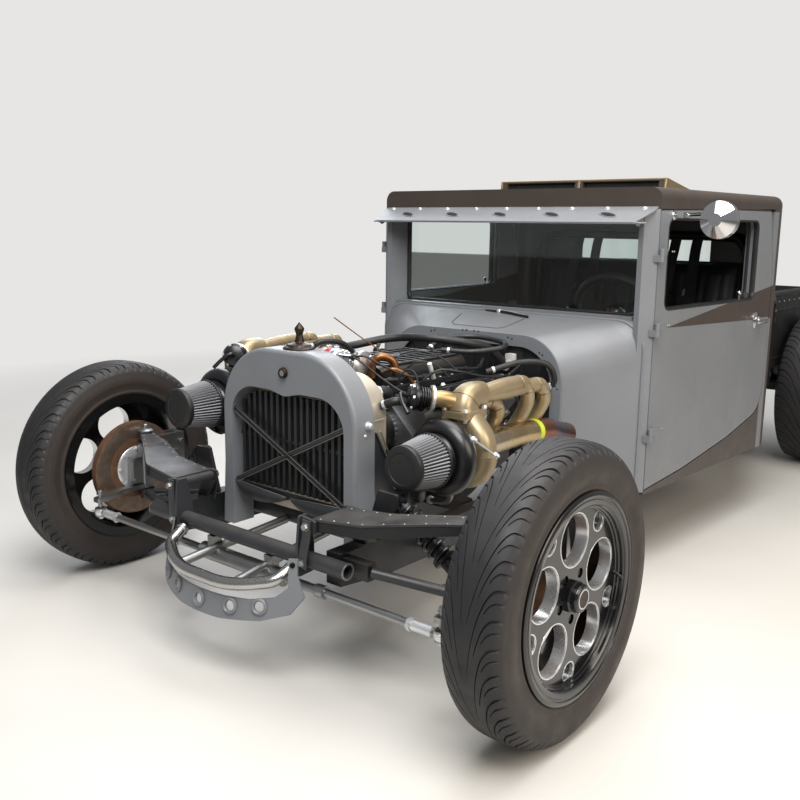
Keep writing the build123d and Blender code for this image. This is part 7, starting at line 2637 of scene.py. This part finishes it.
    def dampers(self) -> tuple[Surface, Surface]:
        """Damper and coil between axle and frame, upright."""
        foot, top = np.array([388.0, self.axle[0], 425.0]), np.array([388.0, self.axle[0], 507.0])
        profile = [(0, 0), (26, 0), (28, 3), (28, 7), (13, 8), (13, 74), (28, 75), (28, 79), (26, 82),
            (0, 82)]
        return turned(profile, 28, foot, UP), spring(foot + [0, 0, 9], top - [0, 0, 9], 22.5, 5.0, 4.5)

    def fuel_cap(self) -> Surface:
        """Knurled filler cap and neck behind the cab."""
        shape = lathe([(0, -3), (38, -3), (38, 6), (34, 8), (34, 24), (30, 28), (0, 30)], 72,
            lambda angle, row: -1.2 * (np.cos(36 * angle) > 0) * (row > 2) * (row < 5))
        return aimed(shape, (-280, 2420, 577), UP)

    def lines(self) -> Surface:
        """Hard brake line along the axle tube."""
        y, z = self.axle
        return tube([(130, y - 20, z + 46), (200, y - 10, z + 44), (330, y - 4, z + 43),
            (430, y - 4, z + 43)], 3, 8, 24)

    def sill_screws(self) -> Surface:
        """Screws along the rocker panel."""
        return rivets([(half_width(y) - 13, y, 318) for y in np.linspace(1240, 2040, 7)], OUT, 4, 2.4)


# Stage


@dataclass
class Studio:
    """Floor, soft lamps and the camera at the photograph's viewpoint."""

    frame: CarFrame
    camera_at: tuple[float, float, float] = (1873.1, -1776.2, 1189.9)
    right: tuple[float, float, float] = (0.7702, 0.6377, 0.0118)
    up: tuple[float, float, float] = (-0.13, 0.1389, 0.9817)
    forward: tuple[float, float, float] = (-0.6245, 0.7576, -0.1899)
    focal_px: float = 910.3
    centre_v: float = 401.8
    sensor_mm: float = 36.0
    floor_half: float = 30.0
    aim: tuple[float, float, float] = (0.0, 900.0, 500.0)
    pale: str = "#ecebe9"
    glow: float = 0.95
    fade: tuple[float, float] = (2.2, 5.5)

    def build(self) -> None:
        """Make the whole stage."""
        self.camera()
        self.floor()
        self.lamps()
        self.world()
        bpy.context.scene.view_settings.view_transform = "Standard"

    def camera(self) -> None:
        """The photograph's camera, with its focal length and the small shift of its centre."""
        data = bpy.data.cameras.new("photo_view")
        data.sensor_width = self.sensor_mm
        data.lens = self.focal_px / IMAGE_SIZE * self.sensor_mm
        data.shift_y = (self.centre_v - IMAGE_SIZE / 2) / IMAGE_SIZE
        data.clip_end = 100.0
        camera = bpy.data.objects.new("photo_view", data)
        x = unit(np.array(self.right))
        z = -unit(np.array(self.forward))
        y = unit(np.cross(z, x))
        x = np.cross(y, z)
        matrix = np.eye(4)
        matrix[:3, 0], matrix[:3, 1], matrix[:3, 2] = x, y, z
        matrix[:3, 3] = self.frame.at(self.camera_at)
        camera.matrix_world = Matrix(matrix.tolist())
        bpy.context.scene.collection.objects.link(camera)
        bpy.context.scene.camera = camera

    def floor(self) -> None:
        """Pale concrete floor as one large sheet."""
        h = self.floor_half
        mesh = bpy.data.meshes.new("floor")
        mesh.from_pydata([(-h, -h, 0), (h, -h, 0), (h, h, 0), (-h, h, 0)], [], [(0, 1, 2, 3)])
        floor = bpy.data.objects.new("floor", mesh)
        bpy.context.scene.collection.objects.link(floor)
        finish = Finish("Pale floor", "#c9c6c0", "#bdb9b2", roughness=0.7, drift_mm=900.0, bump_mm=0.0)
        mesh.materials.append(self.paled(finish.build()))
        floor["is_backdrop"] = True

    def paled(self, material: Material) -> Material:
        """Let the floor fade into the backdrop by a glow that grows outwards and only the camera sees."""
        tree = material.node_tree
        output = next(node for node in tree.nodes if node.type == "OUTPUT_MATERIAL")
        surface = output.inputs["Surface"].links[0].from_socket
        place = add_node(tree, "ShaderNodeTexCoord").outputs["Object"]
        reach = add_node(tree, "ShaderNodeVectorMath", {"operation": "LENGTH"}, place).outputs["Value"]
        far = add_node(tree, "ShaderNodeMapRange", None, reach, *self.fade, 0.0, 1.0).outputs["Result"]
        eye = add_node(tree, "ShaderNodeLightPath").outputs["Is Camera Ray"]
        share = add_node(tree, "ShaderNodeMath", {"operation": "MULTIPLY"}, far, eye).outputs[0]
        glow = add_node(tree, "ShaderNodeEmission", None, linear(self.pale), self.glow).outputs[0]
        mixed = add_node(tree, "ShaderNodeMixShader", None, share, surface, glow).outputs[0]
        tree.links.new(mixed, output.inputs["Surface"])
        return material

    def lamps(self) -> None:
        """Broad round area lamps: a key above the front, a fill from the right, one from behind and one from
        above.
        """
        for name, place, size, watts, tone in (
            ("key", (1400, -1200, 3400), 2.4, 165.0, "#ffffff"),
            ("fill", (4200, 600, 2400), 3.0, 110.0, "#fff1e0"),
            ("back", (-3200, 3600, 3000), 3.0, 120.0, "#eef4ff"),
            ("top", (200, 1200, 4200), 3.4, 135.0, "#ffffff"),
        ):
            data = bpy.data.lights.new(name, "AREA")
            data.shape = "DISK"
            data.size = size
            data.energy = watts
            data.color = linear(tone)[:3]
            lamp = bpy.data.objects.new(name, data)
            at = Vector(self.frame.at(place).tolist())
            aim = Vector(self.frame.at(self.aim).tolist())
            lamp.matrix_world = Matrix.Translation(at) @ (aim - at).to_track_quat("-Z",
                "Y").to_matrix().to_4x4()
            bpy.context.scene.collection.objects.link(lamp)

    def world(self) -> None:
        """Plain pale surroundings, brighter to the eye than to the object."""
        world = bpy.data.worlds.new("studio")
        world.use_nodes = True
        tree = world.node_tree
        tree.nodes.clear()
        light = add_node(tree, "ShaderNodeBackground", None, linear("#d1d2d4"), 0.44).outputs[0]
        seen = add_node(tree, "ShaderNodeBackground", None, linear(self.pale), self.glow).outputs[0]
        ray = add_node(tree, "ShaderNodeLightPath").outputs
        direct = add_node(tree, "ShaderNodeMath", {"operation": "MAXIMUM"}, ray["Is Camera Ray"],
            ray["Is Transmission Ray"]).outputs[0]
        mixed = add_node(tree, "ShaderNodeMixShader", None, direct, light, seen).outputs[0]
        add_node(tree, "ShaderNodeOutputWorld", None, mixed)
        bpy.context.scene.world = world


def corners() -> list[list[float]]:
    """The whole object's box as plain lists."""
    low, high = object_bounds()
    return [[float(value) for value in low], [float(value) for value in high]]


def dress_nodes(paints: dict[str, Material], nodes: dict[str, Piece]) -> None:
    """Give each CAD node its finish.

    Args:
        paints: The materials by name.
        nodes: The CAD nodes by name.
    """
    for finish, names in NODE_FINISHES.items():
        for name in names.split():
            mesh = nodes[name].data
            mesh.materials.clear()
            mesh.materials.append(paints[finish])
            LOG.info("dressed %s in %s", name, finish)


# The CAD nodes that wear each finish
NODE_FINISHES = {
    "body_paint": "chin_panel radiator_shell cowl visor windshield_frame",
    "belt_paint": "door_left door_right cab_back",
    "dark_paint": "roof sills",
    "bay_black": "floor_pan firewall bed_sides tailgate",
    "arm_grey": "front_arms front_cross_member shell_stays",
    "frame_black": "frame_rails cross_members coil_overs rear_axle rear_springs grille",
    "polished_tube": "bumper_tube",
    "zinc": "knuckle_left knuckle_right tie_rods steering_rack",
    "rusty_disc": "brake_disc_left brake_disc_right",
    "rubber": "front_tyre_left front_tyre_right rear_tyre_left rear_tyre_right",
    "wheel_black": "front_rim_left front_rim_right rear_rim_left rear_rim_right",
    "tank_aluminium": "radiator",
    "chrome": "mirror",
    "bronze_black": "radiator_cap",
    "engine_black": "engine_block front_drive dashboard steering_wheel turbochargers intake",
    "cast_aluminium": "cylinder_heads gearbox",
    "filter_cloth": "air_filters",
    "gold_steel": "exhaust_manifolds",
    "tinted_steel": "downpipes",
    "glass": "glass",
    "leather": "seat",
    "bed_wood": "bed_floor",
    "lamp_red": "tail_lamps",
}


def finishes(frame: CarFrame) -> dict[str, Material]:
    """Every material by its short name.

    Args:
        frame: The car's frame, which places the belt's wedge.

    Returns:
        Materials by name.
    """
    body = {"roughness": 0.42, "roughness_drift": 0.05, "coat": 0.15, "coat_roughness": 0.35,
        "bump_mm": 0.006, "grain_mm": 1.4, "dust": 0.12}
    made = {
        # Soft grey sheen with no mirror image
        "body_paint": Finish("Satin grey enamel", "#6f7276", "#676a6e", **body),
        # The same grey with the brown wedge
        "belt_paint": BeltPaint("Satin grey and brown enamel", "#6f7276", "#676a6e", axle_y=frame.axle_y,
            **body),
        # Warm brown, soft sheen
        "dark_paint": Finish("Satin brown enamel", "#3a322c", "#332b26", **body),
        # Black with a fine orange peel
        "frame_black": Finish("Black chassis powder coat", "#1b1c1e", "#232427", roughness=0.45,
            grain_mm=0.9, bump_mm=0.03, dust=0.2),
        # Near mirror, drawn out in fine lines
        "polished_tube": BrushedMetal("Polished steel tube", "#b9b9b8", "#a09e9a", metallic=1.0,
            roughness=0.22, roughness_drift=0.1, bump_mm=0.004),
        # Dull silver with a grain
        "zinc": BrushedMetal("Zinc plated steel", "#9fa1a2", "#7e7c77", metallic=1.0, roughness=0.38,
            bump_mm=0.01),
        # Matt brown with orange blooms
        "rusty_disc": Finish("Flash rusted cast iron", "#6b4c39", "#8a6a52", metallic=0.6,
            roughness=0.55, drift_mm=40.0, bump_mm=0.05),
        # Blue-black crown, brownish wall
        "front_rubber": TyreRubber("Front tyre rubber", "#15161a", "#211e1c", roughness=0.6,
            roughness_drift=0.1, grain_mm=1.0, bump_mm=0.04, dust=0.04, centre=(frame.axle_y, 0.359)),
        # As the front, on the larger tyre
        "rear_rubber": TyreRubber("Rear tyre rubber", "#15161a", "#211e1c", roughness=0.6,
            roughness_drift=0.1, grain_mm=1.0, bump_mm=0.04, dust=0.04,
            centre=(frame.axle_y + 3.240, 0.385), wall_r=310.0, crown_r=365.0),
        # Bright satin silver with tool lines
        "machined": BrushedMetal("Machined aluminium", "#dcdddf", "#c2c4c6", metallic=0.75,
            roughness=0.34, roughness_drift=0.1, bump_mm=0.004),
        # Bright, smooth bore
        "lining": Finish("Polished aluminium bore", "#e8e9ea", "#d2d3d5", metallic=0.8,
            roughness=0.24, roughness_drift=0.08, bump_mm=0.0),
        # Oily black with small lights
        "black_nut": Finish("Black oxide steel", "#0f0f10", "#171718", metallic=0.6, roughness=0.35,
            bump_mm=0.0),
        # Matt black
        "rubber": Finish("Moulded black rubber", "#121213", "#1a1a1b", roughness=0.5, grain_mm=0.8,
            bump_mm=0.01),
        # The pads' brighter band
        "swept_iron": Finish("Swept brake iron", "#7d6a5c", "#9a8a7d", metallic=0.85, roughness=0.4,
            drift_mm=30.0, bump_mm=0.01),
        # Deep black with a broad soft light
        "satin_black": Finish("Satin black anodising", "#090a0c", "#0f1013", roughness=0.34,
            coat=0.2, coat_roughness=0.25, grain_mm=1.2, bump_mm=0.008),
        # Dull grey with sand pits
        "cast_iron": CastMetal("Cast iron", "#46433f", "#5a534b", metallic=0.7, roughness=0.55, bump_mm=0.15),
        # Straw to violet over each bead
        "weld": Finish("Weld bead", "#8d7a56", "#6f6a72", metallic=0.9, roughness=0.35, drift_mm=12.0,
            bump_mm=0.01),
        # Straw metal with a cast grain
        "wastegate_steel": Finish("Straw investment casting", "#a68f66", "#8f7a55", metallic=0.85,
            roughness=0.38, drift_mm=40.0, bump_mm=0.03, grain_mm=1.5),
        # Flat yellow-green
        "marker_band": Finish("Temperature marking paint", "#b6c832", "#a4b628", roughness=0.5,
            drift_mm=20.0),
        # Black gloss with sharp lights
        "wheel_black": Finish("Gloss black wheel enamel", "#0d0d0e", "#131314", roughness=0.2,
            roughness_drift=0.05, coat=0.3, coat_roughness=0.06, bump_mm=0.0),
        # Stained pale metal sheet
        "tank_aluminium": BrushedMetal("Stained aluminium sheet", "#c4bcab", "#a89f90",
            metallic=0.75, roughness=0.42, bump_mm=0.01),
        # Clear mirror
        "chrome": Finish("Chrome plate", "#d8d8d8", "#cfcfd1", metallic=1.0, roughness=0.07,
            roughness_drift=0.03, bump_mm=0.0),
        # Black with a light film of dust
        "engine_black": Finish("Black engine enamel", "#141415", "#1c1c1d", roughness=0.36,
            grain_mm=1.5, bump_mm=0.02, dust=0.1),
        # Grey metal with sand pits
        "cast_aluminium": CastMetal("Cast aluminium", "#8d8e8f", "#77787a", metallic=0.85,
            roughness=0.48, bump_mm=0.12),
        # Matt grey weave
        "filter_cloth": Finish("Pleated cotton gauze", "#85868a", "#6c6d70", roughness=0.85,
            grain_mm=0.9, bump_mm=0.08),
        # Pale straw metal, half matt
        "gold_steel": Finish("Straw tinted stainless", "#a8987a", "#8b7c63", metallic=0.75,
            roughness=0.44, drift_mm=90.0, bump_mm=0.01),
        # Dark grey satin under dust
        "arm_grey": Finish("Dark satin suspension enamel", "#2a2c30", "#222428", roughness=0.4,
            grain_mm=1.2, bump_mm=0.01, dust=0.15),
        # Bright grey with grinding lines; also drawn as painted highlights on the braces, blades and stays
        "raw_steel": BrushedMetal("Ground bare steel", "#a8a6a2", "#7f7c77", metallic=0.85,
            roughness=0.4, bump_mm=0.01),
        # Blue-black, half matt
        "black_metal": Finish("Black oxide bar", "#17181a", "#222326", metallic=0.4, roughness=0.38,
            grain_mm=1.5, bump_mm=0.01),
        # Dark brown casting with worn lights
        "bronze_black": Finish("Blackened bronze casting", "#3b3129", "#231e1a", metallic=0.75,
            roughness=0.36, drift_mm=25.0, bump_mm=0.05),
        # Near black fins
        "core_black": Finish("Black radiator core", "#0d0d0e", "#161617", metallic=0.4, roughness=0.45),
        # Black with a fine texture
        "bay_black": Finish("Black body coating", "#131415", "#1b1c1e", roughness=0.5, grain_mm=1.6,
            bump_mm=0.03, dust=0.1),
        # Deep red, half matt
        "red_silicone": Finish("Red silicone hose", "#a01c1f", "#8a1618", roughness=0.42, grain_mm=1.0),
        # Grey wire weave, drawn coarser than it is
        "braid": BrushedMetal("Braided steel sleeve", "#8c8d8f", "#5d5e60", metallic=0.8,
            roughness=0.45, scratch_mm=1.6, along=(1.0, 0.4, 1.0), bump_mm=0.1),
        # Straw sheet with rolling lines
        "raw_tan": BrushedMetal("Raw sheet steel with straw tint", "#a3916f", "#8b7a5c",
            metallic=0.75, roughness=0.4, bump_mm=0.01),
        # Painted shade: no light at all, black where openings lie in shadow
        "mouth_black": Finish("Unlit black opening", "#050505", "#080808", roughness=0.9, bump_mm=0.0),
        # Flat warm white
        "gauge_white": Finish("Printed gauge face", "#d9d5c8", "#cfcabc", roughness=0.4, bump_mm=0.0),
        # Dark grey with a leather grain
        "vinyl_grey": Leather("Grey door card vinyl", "#2e2e30", "#27272a", roughness=0.55,
            grain_mm=1.8, bump_mm=0.05),
        # Flat dark grey
        "plug_grey": Finish("Grey nylon injector", "#3d3e40", "#333436", roughness=0.45, bump_mm=0.0),
        # Bright casting, lightly pitted
        "throttle_silver": CastMetal("Polished aluminium casting", "#c9cacc", "#b0b1b3",
            metallic=0.9, roughness=0.26, bump_mm=0.02),
        # Brown copper, brighter where rubbed
        "copper": Finish("Worn copper pipe", "#8a5f3c", "#6d4a30", metallic=0.85, roughness=0.36,
            drift_mm=30.0, bump_mm=0.01),
        # Matt black cloth with a faint sheen
        "webbing": Finish("Black harness webbing", "#101012", "#17171a", roughness=0.75, grain_mm=1.2,
            bump_mm=0.1, sheen=0.2),
        # Dark gap
        "seam_dark": Finish("Shadowed panel gap", "#25272a", "#1e2023", roughness=0.6, bump_mm=0.0),
        # Flat off-white
        "plug_white": Finish("White nylon connector", "#cfcfcb", "#c2c2bd", roughness=0.4, bump_mm=0.0),
        # Straw, bronze and blue bands
        "tinted_steel": HeatTint("Heat tinted stainless", "#c4beb2", "#7f5c42", axle_y=frame.axle_y,
            metallic=1.0, roughness=0.26, bump_mm=0.004),
        # Clear, faintly green
        "glass": Glass("Windshield glass", "#dfe8e6"),
        # Soft black with creases
        "leather": Leather("Black leather", "#1d1c1c", "#262423", roughness=0.5, grain_mm=2.4, bump_mm=0.1),
        # Dark boards with a lighter grain
        "bed_wood": Planks("Stained oak boards", "#33261c", "#4a382a", roughness=0.55, grain_mm=6.0,
            bump_mm=0.1),
        # Clear deep red
        "lamp_red": Finish("Red lamp acrylic", "#7d0c10", "#6a080c", roughness=0.15, coat=0.5, bump_mm=0.0),
    }
    return {name: finish.build() for name, finish in made.items()}


def main() -> None:
    """Load the frame, dress it, add the small parts and stage the view."""
    logging.basicConfig(level=logging.INFO, format="%(message)s")
    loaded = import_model()
    frame = CarFrame.from_tyres()
    paints = finishes(frame)
    dress_nodes(paints, loaded["nodes"])
    Studio(frame).build()
    RunningGear(frame, paints).build()
    build_turbos(frame, paints)
    for part in (FrontSuspension, Nose, EngineBay, Cowl, Cabin, Rear):
        part(frame, paints).build()


if __name__ == "__main__":
    main()
